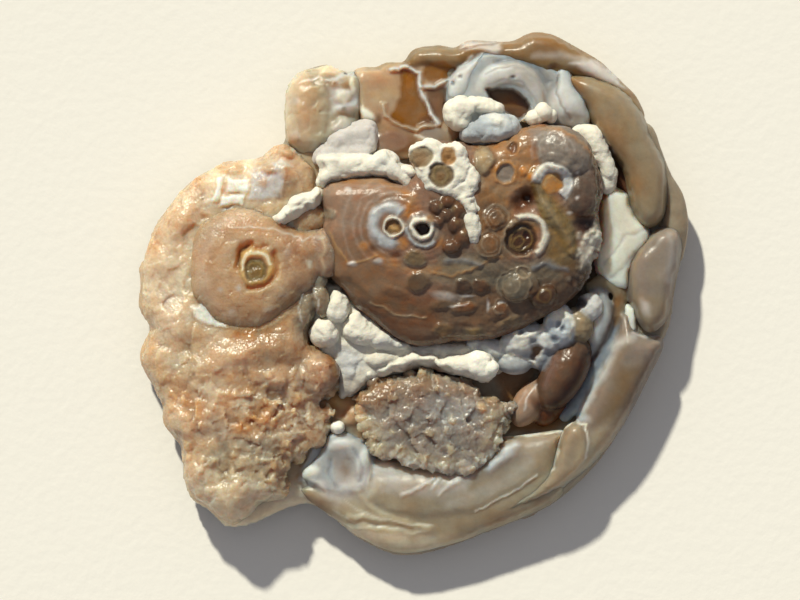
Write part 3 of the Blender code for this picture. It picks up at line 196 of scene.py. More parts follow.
BACK_SLAB_EDGE = [
    (-7, 24.9), (-5, 25), (-2.8, 25.9), (-1, 25.9), (0.1, 27.3), (2.9, 27.8), (4.8, 27.5), (6.3, 28.3),
    (9.5, 28.2), (11.4, 28.3), (13.2, 29.2), (15.6, 29), (18.2, 27.7), (21, 26), (23, 24), (25, 22),
    (26, 19.6), (24.2, 19.8), (22.8, 21.4), (21, 23), (19, 23.8), (17, 24), (15.6, 23.8), (13.6, 24.6),
    (11, 25.4), (8.6, 25.9), (7.2, 25.9), (4.6, 24.8), (1.6, 25.2), (-0.2, 24.8), (-2.2, 24.2), (-5, 23.8),
]
BACK_FLOOR_EDGE = [
    (-6.4, 25), (-6.4, 20), (-5.6, 17), (-5, 15.2), (0, 14.6), (4.4, 16.2), (5.8, 18.2), (4.2, 20),
    (4.2, 23.6), (5.4, 25.2), (7, 26.6), (4, 26.6), (0.6, 26), (-2, 25.2),
]
FILM_SHELF_EDGE = [
    (-10.8, 14.6), (-9.8, 17), (-7.4, 18.6), (-4.6, 19.2), (-3.8, 17.4), (-4.4, 15), (-7, 14.4),
]
WEST_FLOOR_EDGE = [
    (-9.6, 1.4), (-7.4, 0.6), (-5.6, -1.4), (-3.4, -3.4), (-1.2, -4.8), (1, -5.4), (5, -5.2), (9.4, -4.8),
    (10.4, -6.4), (9.8, -8.8), (5, -8.6), (0, -8.4), (-4, -9.4), (-6.4, -11.4), (-8.2, -11.6), (-8.8, -8),
    (-11, -5.6), (-11.2, -3), (-10.4, -0.6),
]
WHITE_FLOOR_EDGE = [
    (21.8, 12), (24, 11.2), (24.8, 9), (26.6, 7.2), (26.2, 5), (24.8, 3.4), (24.4, 0.6), (22.8, 0.2),
    (21, 1.4), (20.2, 4), (20.8, 6.4), (20.8, 9.4),
]
SHEET_EDGE = [
    (3.9, 21.4), (4, 23.6), (5.2, 25.2), (7.9, 27.1), (8.5, 26.6), (7.3, 24.8), (6.4, 22),
]
UPPER_LOBE_EDGE = [
    (17.1, 24.4), (19.4, 24.6), (22.2, 23.7), (24.2, 22.3), (25.7, 20.2), (26.8, 17.6), (28.1, 15),
    (28.7, 12.6), (28.5, 9.8), (27.8, 8), (26.3, 7.3), (25, 8.4), (24.2, 10.6), (23.6, 13.3), (22.4, 15.3),
    (20.9, 17), (20, 18.7), (19.2, 20.8), (17.7, 22.6),
]
MIDDLE_LOBE_EDGE = [
    (26.8, 7), (28.2, 7.6), (29.6, 7.2), (30.2, 6), (29.9, 3.6), (29.2, 0.7), (28.9, -1.6), (28.1, -3.4),
    (26.7, -4.4), (25.4, -3.6), (24.5, -1.6), (24, 0.2), (24.1, 2.8), (24.8, 4.8), (26.2, 6.2),
]
LOWER_LOBE_EDGE = [
    (23.6, -1), (25, -3.9), (26.6, -4.6), (27.8, -4.6), (28, -6), (26.8, -8.7), (25.2, -11.9), (23.4, -15),
    (21.2, -18), (18.6, -20.6), (15.6, -23), (12.6, -24.7), (8, -26.5), (5.4, -26.9), (8, -25), (12, -22.6),
    (14.6, -20.8), (16.4, -18.6), (17.4, -16), (18.2, -14.2), (19.2, -11.8), (20.3, -9.6), (21.4, -7),
    (22.7, -4.2),
]
FINGER_EDGE = [
    (16.6, -15.6), (17.4, -14.5), (18.6, -14.2), (19.6, -15.4), (19.9, -17.4), (19.1, -19.3), (17.4, -21),
    (15, -22.5), (12, -23.9), (8.4, -25), (9.8, -23.9), (12.4, -22.4), (14.3, -20.9), (15.5, -19.2),
    (16, -17.4),
]
SWIRL_EDGE = [
    (3.8, 21.2), (3.9, 23.2), (4.8, 24.5), (6.2, 25.4), (8, 27.2), (9.2, 27), (11.4, 26.8), (14, 26.2),
    (15.6, 25.4), (16.4, 25), (17.2, 25), (18, 24.4), (17.6, 22.2), (19.2, 20.3), (19.8, 18.5), (18, 18.2),
    (16.2, 18.6), (13.2, 18.9), (11, 19.4), (8, 20.4), (5.4, 20.6),
]
NORTH_CRUST_EDGE = [
    (-16.4, 8.1), (-15.2, 8.5), (-14.5, 9.3), (-13.4, 10.5), (-12, 11.1), (-10.9, 11.3), (-10.4, 12.8),
    (-9.9, 14), (-10.5, 15), (-8.6, 15.6), (-6.2, 15.4), (-4.3, 15.4), (-3.1, 15.9), (-1.7, 15.1),
    (-1.4, 14.4), (-0.2, 14.1), (0.7, 13.5), (0.1, 12.8), (0.2, 11.2), (-0.5, 11.1), (-1.6, 12.4),
    (-2.9, 13.1), (-4.3, 13.2), (-5.8, 13.1), (-7.4, 12.8), (-9.2, 12.3), (-10, 11.3), (-10.5, 10),
    (-11.6, 9.2), (-12.8, 8.8), (-13.9, 8.2), (-14.9, 7.7),
]
ROPE_EDGE = [
    (3.6, 19.8), (3.9, 21), (5.3, 21.9), (8, 21.8), (9.9, 20.9), (11, 19.9), (9.4, 20), (7.6, 19.9),
    (6.5, 19.2), (6, 18.2), (4.6, 18.5),
]
BOULDER_EDGE = [
    (5.4, 17.4), (6, 18.7), (7, 19.7), (8.9, 20.2), (10.8, 19.8), (12, 18.6), (11.6, 17.4), (9.5, 16.6),
    (7.2, 16.6),
]
WEST_UPPER_EDGE = [
    (-8.9, 0.9), (-8, 0.6), (-6.9, -0.5), (-6.8, -1.5), (-7.4, -2.9), (-8.5, -3.3), (-9.6, -2.7),
    (-9.8, -1.6), (-9.1, -0.2),
]
WEDGE_EDGE = [
    (-6.4, -1.4), (-4.7, -2.5), (-2.5, -4.2), (0, -5.9), (-1.7, -6.3), (-4.7, -5.9), (-6.9, -5.3), (-8, -4.4),
    (-7.5, -2.9),
]
WEST_BLUE_EDGE = [
    (-8.2, -5.3), (-5.6, -6.6), (-5.4, -8.1), (-6.3, -10.6), (-7.4, -11.2), (-8.2, -9.4), (-8.9, -6.9),
]
CHAIN_EDGE = [
    (-1.6, -7.1), (0.1, -6.3), (1, -6.7), (2, -6.6), (3.2, -7), (4.4, -6.8), (5.6, -6.8), (7.6, -6.4),
    (9, -7), (9.6, -8.5), (8.5, -9.8), (6.8, -9.3), (5.2, -8.8), (3, -8.4), (2, -7.8), (0.6, -7.8),
    (-0.9, -8.4), (-3, -8.8), (-4.8, -9.4), (-5.9, -10.2), (-5.4, -8.8), (-3.6, -8),
]
FRONT_FILM_EDGE = [
    (-9.6, -15.4), (-7.6, -15), (-4.4, -17), (-4, -19.4), (-4.8, -22.4), (-8, -22.9), (-10.8, -21.9),
    (-12.6, -20.4), (-11.6, -18.8), (-10.4, -17.2),
]

STONE_UNDER = [
    (0, 0, 0.6), (-15, -4, 0.7), (12, -10, 0.7), (12, 13, 0.7), (-8, 14, 0.9), (-20, -18, 3), (-22, -23, 3.6),
    (-27, 0, 1.9), (-24, 9, 1.9), (-13, 22, 2.3), (4, 25, 2.2), (17, 25, 2), (25, 16, 1.6), (28, 4, 1.5),
    (26, -8, 1.5), (18, -19, 1.6), (4, -25, 1.7), (-8, -23, 1.9), (-27, -12, 2.4), (0, -14, 0.9),
]
# Broad growths: outline, edge height, rim width, colour, control heights on top, control heights below
PILLOWS = {
    "stone": (STONE_EDGE, 3, 2.2, "grey_tan", [
        (-28, 2, 4.6), (-27, -6, 4.6), (-24, -14, 5), (-22, -21, 5.4), (-17, -22, 5.4), (-19, -9, 5.5),
        (-24, 9, 4.8), (-20, 12, 5.6), (-15, 13, 6.2), (-11, 20, 6.4), (-7.5, 22, 6.6), (-4, 23, 6),
        (-1, 21.5, 4.6), (1.5, 20.5, 4.4), (2.6, 24.6, 4.8), (6, 26.5, 6.2), (13, 27.5, 6.4),
        (10.5, 21.5, 4.2), (15, 23, 5), (19, 25.5, 6.4), (20, 18.5, 4), (23, 13, 3.4), (22, 8.5, 2.9),
        (23, 4, 3.1), (24, -1.5, 3.2), (20, -8, 3.2), (15.5, -13, 2.9), (11, -10, 4), (4, -7, 4.2),
        (-2, -7, 4.4), (-7, -8, 4.6), (-7.6, -12.5, 5.6), (-8, -18.5, 4.4), (-12, -21.5, 4.6), (-5, -21, 4.8),
        (2, -23, 5.4), (10, -22, 5.6), (17, -19, 5.6), (24, -10, 5.6), (27, 0, 5.4), (27, 12, 5.4),
        (29.6, 9, 4.6), (-3, -27, 4.4), (8, -25.5, 4.6), (5, 5, 7), (-9, 16, 6.6), (-4, 17, 6.6),
        (2, 17.5, 6.4),
    ], STONE_UNDER),
    "slope": (SLOPE_EDGE, 5.2, 2.4, "sand", [
        (-28, 2, 6.4), (-28.5, -7, 6.2), (-26.5, 6.5, 6.9), (-25, 10, 6.8), (-20, 12.5, 7.6),
        (-14, 12.5, 8.3), (-12, 9.5, 8.8), (-25, 0, 8.2), (-24, -6, 8.4), (-20, -7, 8.9), (-14, -6, 8.8),
        (-11, -1, 8.8), (-25, -12, 8), (-20, -12, 9), (-14, -11, 8.4), (-10, -10, 7.4), (-23, -18, 8.2),
        (-19, -17, 9.2), (-15, -16, 8.6), (-11.5, -14.5, 6.8), (-16, -21, 8), (-20, -23.5, 7.8),
        (-24, -21, 7.4),
    ], [(0, 0, 3.6)]),
    "corner": (CORNER_EDGE, 4.8, 2.4, "grey_sand", [
        (-12, 20, 8.6), (-11.4, 23.6, 8.2), (-9.6, 21, 7.7), (-7.5, 23.6, 7.2), (-7.6, 21, 7.3),
        (-8, 18.4, 7.8), (-6, 18, 7.5), (-6, 24, 6.6),
    ], [(0, 0, 3.4)]),
    "flower": (FLOWER_EDGE, 7.9, 3.4, "rose_tan", [
        (-18, 3, 10.7), (-21.5, 3, 10.2), (-18, 6.4, 10.3), (-18, -1, 10), (-14.5, 2.6, 10.4), (-22, 7, 9.4),
        (-11, 4.5, 10), (-23.4, 2, 9.4), (-20.5, -2.4, 9.2), (-13, 6.6, 9.9), (-9, 5, 10.2),
    ], [(0, 0, 5)]),
    "rosette": (ROSETTE_EDGE, 7.8, 2.4, "rose_brown", [
        (-7.5, 8.5, 11.4), (-5, 10.5, 11.7), (-2, 7.4, 12.5), (1.1, 7.2, 12.5), (-7.5, 4, 10.8),
        (-3, 3.4, 11.5), (4, 8, 12.1), (4.6, 5, 12), (2.6, 14, 12), (6, 12.5, 11.9), (8, 14.6, 11.1),
        (10.6, 14.5, 11.2), (12.5, 10.4, 10.6), (15.2, 12.2, 11.9), (17, 15.6, 11.5), (19, 12, 10.8),
        (17, 9, 10.4), (12.1, 6.1, 12.3), (16, 6.4, 11.6), (9, 7, 11.8), (8.6, 4.6, 11.6), (3, 3, 11.3),
        (0.5, 0.8, 10.6), (-4.4, 0.6, 9.8), (5, 1.4, 10.8), (8.5, -1.2, 9.9), (12.5, 1.4, 10.7),
        (15, -0.2, 9.6), (2, -2.4, 9.4), (6, -3.6, 8.7), (-1.5, -3.2, 8.9), (11, -3, 8.7), (18.4, 4.6, 9.7),
        (19.4, 7.4, 9.5), (19.3, 2, 8.6),
    ], [(0, 0, 3.8)]),
    "crown": (CROWN_EDGE, 11.5, 0.7, "cream", [(3, 14, 12.25), (7, 8, 12.2)], [(0, 0, 10.4)]),
    "plate": (PLATE_EDGE, 5.6, 1.6, "lilac_grey", [
        (-4, -12, 7.2), (0, -10.5, 7.4), (5, -11, 7.6), (8.8, -13, 7.6), (0, -14, 8), (5, -15, 8.2),
        (-3.6, -16.6, 7.2), (1, -18, 7.3), (7.4, -17.6, 7.4), (4, -19.4, 7),
    ], [(0, 0, 3)]),
    "front_slab": (FRONT_SLAB_EDGE, 4.1, 2.3, "pale_grey_tan", [
        (-8, -24, 5.4), (-3, -27, 5.2), (3, -27, 5.2), (9, -25.2, 5.5), (14, -22.6, 5.9), (12, -18, 6.5),
        (6, -21, 6.5), (0, -21.5, 6.4), (-5, -22.6, 6.1), (16, -17, 6.5),
    ], [(0, 0, 2.6)]),
    "back_slab": (BACK_SLAB_EDGE, 4.4, 1.6, "back_brown", [
        (-4, 24.8, 5.8), (0.5, 26.4, 6), (3.5, 26.8, 6.4), (8, 27.4, 6.6), (13, 27.4, 7.2), (17, 26.6, 7.2),
        (21, 24.8, 6.8), (24.4, 21.4, 6.2), (11, 26, 6.6), (17, 24.8, 6.6), (20, 24, 6.6),
    ], [(0, 0, 2.8)]),
    "back_floor": (BACK_FLOOR_EDGE, 4.2, 1, "tan", [
        (-3.6, 23, 6.6), (-0.2, 23, 5.1), (2.7, 24.9, 5.2), (2.7, 21, 5.2), (0.6, 20, 5.2), (-2.3, 17.2, 8.3),
        (2.3, 17.9, 7.7), (-5, 18.6, 7.7),
    ], [(0, 0, 3)]),
    "sheet": (SHEET_EDGE, 5.4, 0.9, "porcelain", [(5.6, 24, 7)], [(0, 0, 4)]),
    "upper_lobe": (UPPER_LOBE_EDGE, 4.9, 1.8, "olive_tan", [
        (18.6, 23.6, 7.2), (21.4, 21.2, 8), (23.4, 18, 8.4), (25.6, 14, 8.2), (26.8, 10.4, 7.9),
    ], [(0, 0, 3)]),
    "middle_lobe": (MIDDLE_LOBE_EDGE, 4.9, 1.7, "grey_brown", [
        (28.2, 5, 7.2), (27, 1.4, 7.9), (26.8, -2.4, 7.6),
    ], [(0, 0, 3)]),
    "lower_lobe": (LOWER_LOBE_EDGE, 4.2, 2, "grey_brown", [
        (26.2, -6, 7.2), (24, -10, 7.4), (21.6, -14.6, 7), (18.4, -19, 6.2), (13, -23.4, 5.4), (7, -26, 4.8),
    ], [(0, 0, 3)]),
    "finger": (FINGER_EDGE, 5.2, 1.2, "grey_tan", [
        (18, -16.6, 7.5), (16, -20.4, 7.1), (11, -23.4, 6),
    ], [(0, 0, 3.4)]),
    "swirl": (SWIRL_EDGE, 5.8, 0.9, "grey", [
        (5.6, 23, 6.7), (8.4, 24.8, 7), (11, 25, 7.1), (15, 22, 6.5), (17, 22, 6.7), (18.4, 19.4, 6.4),
        (9, 26.6, 6.7), (14, 25.8, 6.7), (16.6, 24.4, 6.6),
    ], [(0, 0, 4)]),
    "north_crust": (NORTH_CRUST_EDGE, 8.7, 0.9, "cream", [
        (-12, 10, 10.1), (-9.8, 12.6, 10.4), (-6, 14.2, 10.6), (-1.5, 13.4, 11.2),
    ], [(0, 0, 6.5)]),
    "rope": (ROPE_EDGE, 7.8, 1, "cream", [(5, 20.4, 9.6), (8, 20.9, 9.2)], [(0, 0, 5.5)]),
    "boulder": (BOULDER_EDGE, 7.8, 1.6, "blue_white", [(8.5, 18.4, 10.2)], [(0, 0, 5.5)]),
    "west_upper": (WEST_UPPER_EDGE, 6.4, 0.9, "cream", [(-8.2, -1.4, 8.5)], [(0, 0, 4.4)]),
    "wedge": (WEDGE_EDGE, 6, 1.2, "cream", [(-6, -3.6, 8.5), (-2.4, -5.2, 7.6)], [(0, 0, 4.4)]),
    "west_blue": (WEST_BLUE_EDGE, 4.9, 0.9, "porcelain", [(-7.2, -7, 7.2), (-7.2, -10, 6)], [(0, 0, 3.6)]),
    "chain": (CHAIN_EDGE, 6, 0.7, "cream", [
        (-3, -8.6, 6.9), (0, -7.3, 7.8), (4, -7.8, 7.8), (8, -8, 8.5),
    ], [(0, 0, 4.4)]),
    "front_film": (FRONT_FILM_EDGE, 4.4, 1.2, "grey", [
        (-7.6, -17.6, 6.2), (-8.6, -20.6, 5.9), (-11.6, -20.2, 5.4), (-5.4, -20.4, 6.3),
    ], [(0, 0, 3.2)]),
    "film_shelf": (FILM_SHELF_EDGE, 7, 1, "film", [(-7, 16.6, 8.9)], [(0, 0, 5.4)]),
    "west_floor": (WEST_FLOOR_EDGE, 4.8, 0.8, "shade_cream", [
        (-9, -1, 7.3), (-6.6, -3, 7.2), (-2, -5.6, 6.8), (4, -6.4, 6.6), (8.6, -6.4, 6.4), (-2, -7.6, 6.3),
        (-7, -8, 6.2), (-9.6, -4.4, 6.8),
    ], [(0, 0, 3.6)]),
    "white_floor": (WHITE_FLOOR_EDGE, 4.2, 1, "cream", [
        (22, 4, 6.6), (22.6, 9, 6.4), (25.4, 5.6, 6.2), (23.4, 1.6, 6),
    ], [(0, 0, 2.6)]),
}

# Worm-shaped growths: colour, height to width, and (x, y, z, radius) along each
LOBES = {
    "outer_strip": ("grey_tan", 0.8, [(25.6, 17.6, 4.6, 1.8), (27.2, 13.4, 4.6, 1.7), (29, 10.6, 4.4, 1.5),
        (29.4, 7.6, 4.4, 1.6), (29.2, 4.4, 4.2, 1.3)]),
    "swirl_band": ("porcelain", 0.6, [(7.6, 23, 6.5, 0.9), (8.9, 24.2, 6.8, 1.1), (10.9, 24.7, 6.9, 1.2),
        (12.8, 24, 6.8, 1.1), (14, 22.4, 6.6, 0.9), (14.5, 20.6, 6.4, 0.8)]),
    "drape_wide": ("porcelain", 0.6, [(16.9, 24.4, 6.2, 0.8), (17, 22.6, 6.3, 1.3), (17.7, 20.9, 6.2, 1.7),
        (18.5, 19.6, 5.9, 1.4)]),
    "drape_narrow": ("film", 0.6, [(15.6, 22.8, 6.2, 0.7), (16, 21, 6.3, 1), (17, 19.8, 6.2, 0.9)]),
    "crust_rope_right": ("cream", 0.9, [(18.6, 18, 6.6, 0.6), (19.9, 17.7, 6.8, 0.9), (20.5, 16.6, 6.8, 0.9),
        (21.3, 15.1, 6.6, 0.85), (21.8, 13.6, 6.4, 0.85), (21.8, 12.2, 6, 0.8)]),
    "arch": ("olive_tan", 0.9, [(19.8, 0.8, 5, 0.6), (21.4, 1.5, 5.4, 0.8), (22.9, 0.5, 5.2, 0.8),
        (23.1, -1.2, 4.8, 0.7), (22, -4.4, 4.4, 0.6), (20.3, -7, 4, 0.5)]),
    "blue_bolster": ("grey", 0.9, [(20.7, -0.6, 5.2, 1.3), (21.2, -2.6, 5.2, 1.3), (20.6, -4.6, 5, 1.1),
        (19.9, -6.2, 4.4, 0.8)]),
    # painted shade: the whitish inner wall of the lower lobe, coloured blue-grey as it looks in shadow
    "inner_flank": ("blue_grey", 0.8, [(23.4, -1.4, 4.4, 0.6), (22, -5.4, 4.5, 0.8), (20.3, -8.6, 4.4, 0.8),
        (18.5, -11.8, 4.2, 0.8), (17.1, -13.5, 4.2, 0.8)]),
    "rosette_web": ("moss", 0.7, [(13.5, 13.4, 11, 0.8), (14.1, 11, 10.8, 0.8), (15.3, 8.8, 10.9, 0.9),
        (16.9, 7.2, 10.5, 0.9), (17.5, 5, 10, 0.8)]),
}

# Rounded lumps: (colour, x, y, z, half length, half width, half height, turn in degrees)
LUMPS = {
    "crust_back": [
        ("cream", 13.6, 19.6, 7.4, 0.8, 0.7, 0.8, 0),
        ("cream", 14.6, 20.2, 7.4, 0.8, 0.8, 0.8, 0),
        ("cream", 15.4, 19.8, 7, 0.6, 0.6, 0.6, 0),
        ("cream", -0.3, 13.6, 10.6, 0.9, 0.35, 0.5, -20),
        ("cream", 0.1, 11.8, 10, 0.5, 1.1, 0.9, 0),
    ],
    "saddle": [
        ("grey_tan", -10.2, -0.4, 7.8, 0.9, 2.3, 1.3, 12),
        ("grey_tan", -11.9, -1.6, 7.8, 0.9, 2.4, 1.2, -8),
        ("grey_tan", -10.4, 1.8, 8.2, 1, 1.2, 1, 0),
        ("rose_brown", -10.5, -8.9, 6.9, 2.4, 2.6, 2.4, 0),
        ("tan", -11.6, 8.5, 7.6, 2.6, 1.9, 1.4, 0),
    ],
    "bridge": [
        ("mauve_tan", -9.5, 4.6, 8.7, 2.2, 2.8, 1.6, 0),
    ],
    "white_lumps": [
        ("cream", -9.7, -4.3, 6.6, 1.5, 1.5, 2, 0),
        ("shade_cream", -3.5, -7.3, 6.2, 1.8, 0.8, 1.1, 4),
        ("ivory", 7.4, -7.8, 7.5, 1.3, 1.2, 1.1, 0),
        ("ivory", 8.6, -8.3, 7.4, 1, 1, 1, 0),
        ("ivory", -8.3, -14.9, 5.8, 0.6, 0.55, 0.7, 0),
    ],
    "front_folds": [
        ("cream", -11, -19.7, 5.2, 1.4, 0.7, 0.7, 25),
        ("porcelain", -5.5, -18.8, 5.6, 0.8, 2, 0.8, -12),
        ("film", -9.6, -21.2, 5.2, 2.4, 0.7, 0.7, -30),
        ("porcelain", -7.9, -16.8, 5.6, 1.7, 0.8, 0.7, 10),
    ],
    "grey_lumps": [
        ("porcelain", 12.3, -4.9, 6.5, 2.6, 1.8, 1.7, 22),
        ("blue_white", 16.4, -3.4, 6.7, 1.8, 2.5, 1.8, 10),
        ("olive_tan", 18.6, -3.4, 6.2, 1.5, 2, 1.6, 20),
        ("grey", 14.2, -6.6, 5.6, 2, 1.8, 1.4, 0),
        ("grey", 11.3, -7.7, 5.8, 2, 1.3, 1.4, -8),
        ("porcelain", 8.2, -5.9, 6.2, 2.2, 1.3, 1.3, -12),
        ("porcelain", 15, -5, 6.3, 1.5, 1.9, 1.5, -20),
        ("porcelain", 19.8, -1.4, 6.3, 1.5, 1.6, 1.2, 0),
    ],
    "dark_lobes": [
        ("cocoa", 16.9, -8.8, 5.2, 4.6, 2.5, 2.7, 61),
        ("mauve_tan", 13, -12.2, 4.6, 2.9, 1.7, 1.9, 60),
        ("red_brown", 15.4, -12, 4, 3, 1.9, 1.6, 62),
    ],
    "rosette_domes": [
        ("grey_brown", 16.6, 15.6, 9.8, 3.6, 3, 2.5, -30),
        ("lilac_brown", 15.8, 16.7, 10, 2, 1.6, 1.9, 0),
        ("umber", 18.6, 11, 9.4, 2.1, 3, 2.2, 0),
        ("black_brown", 2.7, 9.6, 11.9, 0.9, 0.8, 0.7, 0),
        ("dark_umber", 4, 10.2, 11.9, 0.8, 0.7, 0.7, 0),
        ("dark_umber", 5.1, 9.3, 11.8, 0.8, 0.9, 0.7, 0),
        ("black_brown", 3.8, 8.7, 12, 0.7, 0.7, 0.6, 0),
        ("black_brown", 4.8, 7.6, 11.9, 0.8, 0.9, 0.6, 0),
        ("cocoa", 5.6, 6.3, 11.8, 0.9, 1, 0.6, 0),
        ("dark_umber", 4.4, 5.2, 11.8, 1, 0.7, 0.5, 10),
        ("cocoa", 2.9, 8, 12.1, 0.6, 0.5, 0.4, 0),
        ("dark_umber", 14.6, -0.3, 10, 1.6, 1.15, 0.7, 26),
        ("umber", 12, 0.8, 10.4, 2.2, 1.6, 1, 15),
        ("umber", 9.1, 8.2, 11.4, 1.4, 1.3, 0.8, 0),
        ("umber", 8.6, 5.4, 11.2, 1.5, 1.7, 0.8, 0),
    ],
}

# Ends of stalactites that the skin ripples round: (x, y, radius)
EYES = [
    (-2, 7.4, 2.6), (1.1, 7.1, 2.1), (12.2, 6.2, 2.5), (15.5, 12.3, 2), (3.3, 13.2, 1.5), (-17.2, 3, 2.6),
]

# Knobs of the underside
UNDER_LUMP_SPACING = 5.2
UNDER_LUMP_ROWS = 8                        # on each side of the middle row
UNDER_LUMP_CLEARANCE = 2.6                 # from the stone's edge
UNDER_LUMP_RADIUS = (2.4, 3.8)
UNDER_LUMP_HEIGHT = 1.3
UNDER_LUMP_JITTER = 1                      # how far each may lie off the net
UNDER_LUMP_SINK = (0.3, 0.9)
UNDER_LUMP_WIDTH = (0.75, 1)               # in half lengths
UNDER_LUMP_ROOTING = 1                     # these are as deep as they are high
UNDER_LUMP_COLOURS = ("grey_tan", "pale_grey_tan", "olive_tan")

# Parts of the slope and the rosette with their own relief or crystals
DRUSE_REGION = [
    (-27.4, -8.5), (-22.5, -7.8), (-14, -9.4), (-9.6, -11.8), (-10, -15.6), (-14.6, -18.5), (-15.4, -22),
    (-23.4, -21.4), (-25.4, -15), (-27, -11),
]
BLOCKY_REGION = [
    (-17.5, -9.6), (-13.4, -8.8), (-12.6, -6.8), (-9.4, -6.4), (-8, -9), (-8.8, -11.6), (-9.2, -16),
    (-13.4, -18.4), (-14, -22.4), (-17, -20.6), (-18.6, -15),
]
LEFT_RIM_REGION = [
    (-31, -9), (-25.5, -7), (-24.6, 4), (-22.5, 9.5), (-17, 11), (-14, 16.5), (-24, 15), (-31, 6),
]
FRINGE_REGION = [
    (18.4, 6.6), (20.6, 8.4), (20.9, 5.4), (20, 2.6), (18.8, 0.4), (17.4, 1.4), (18.2, 4),
]

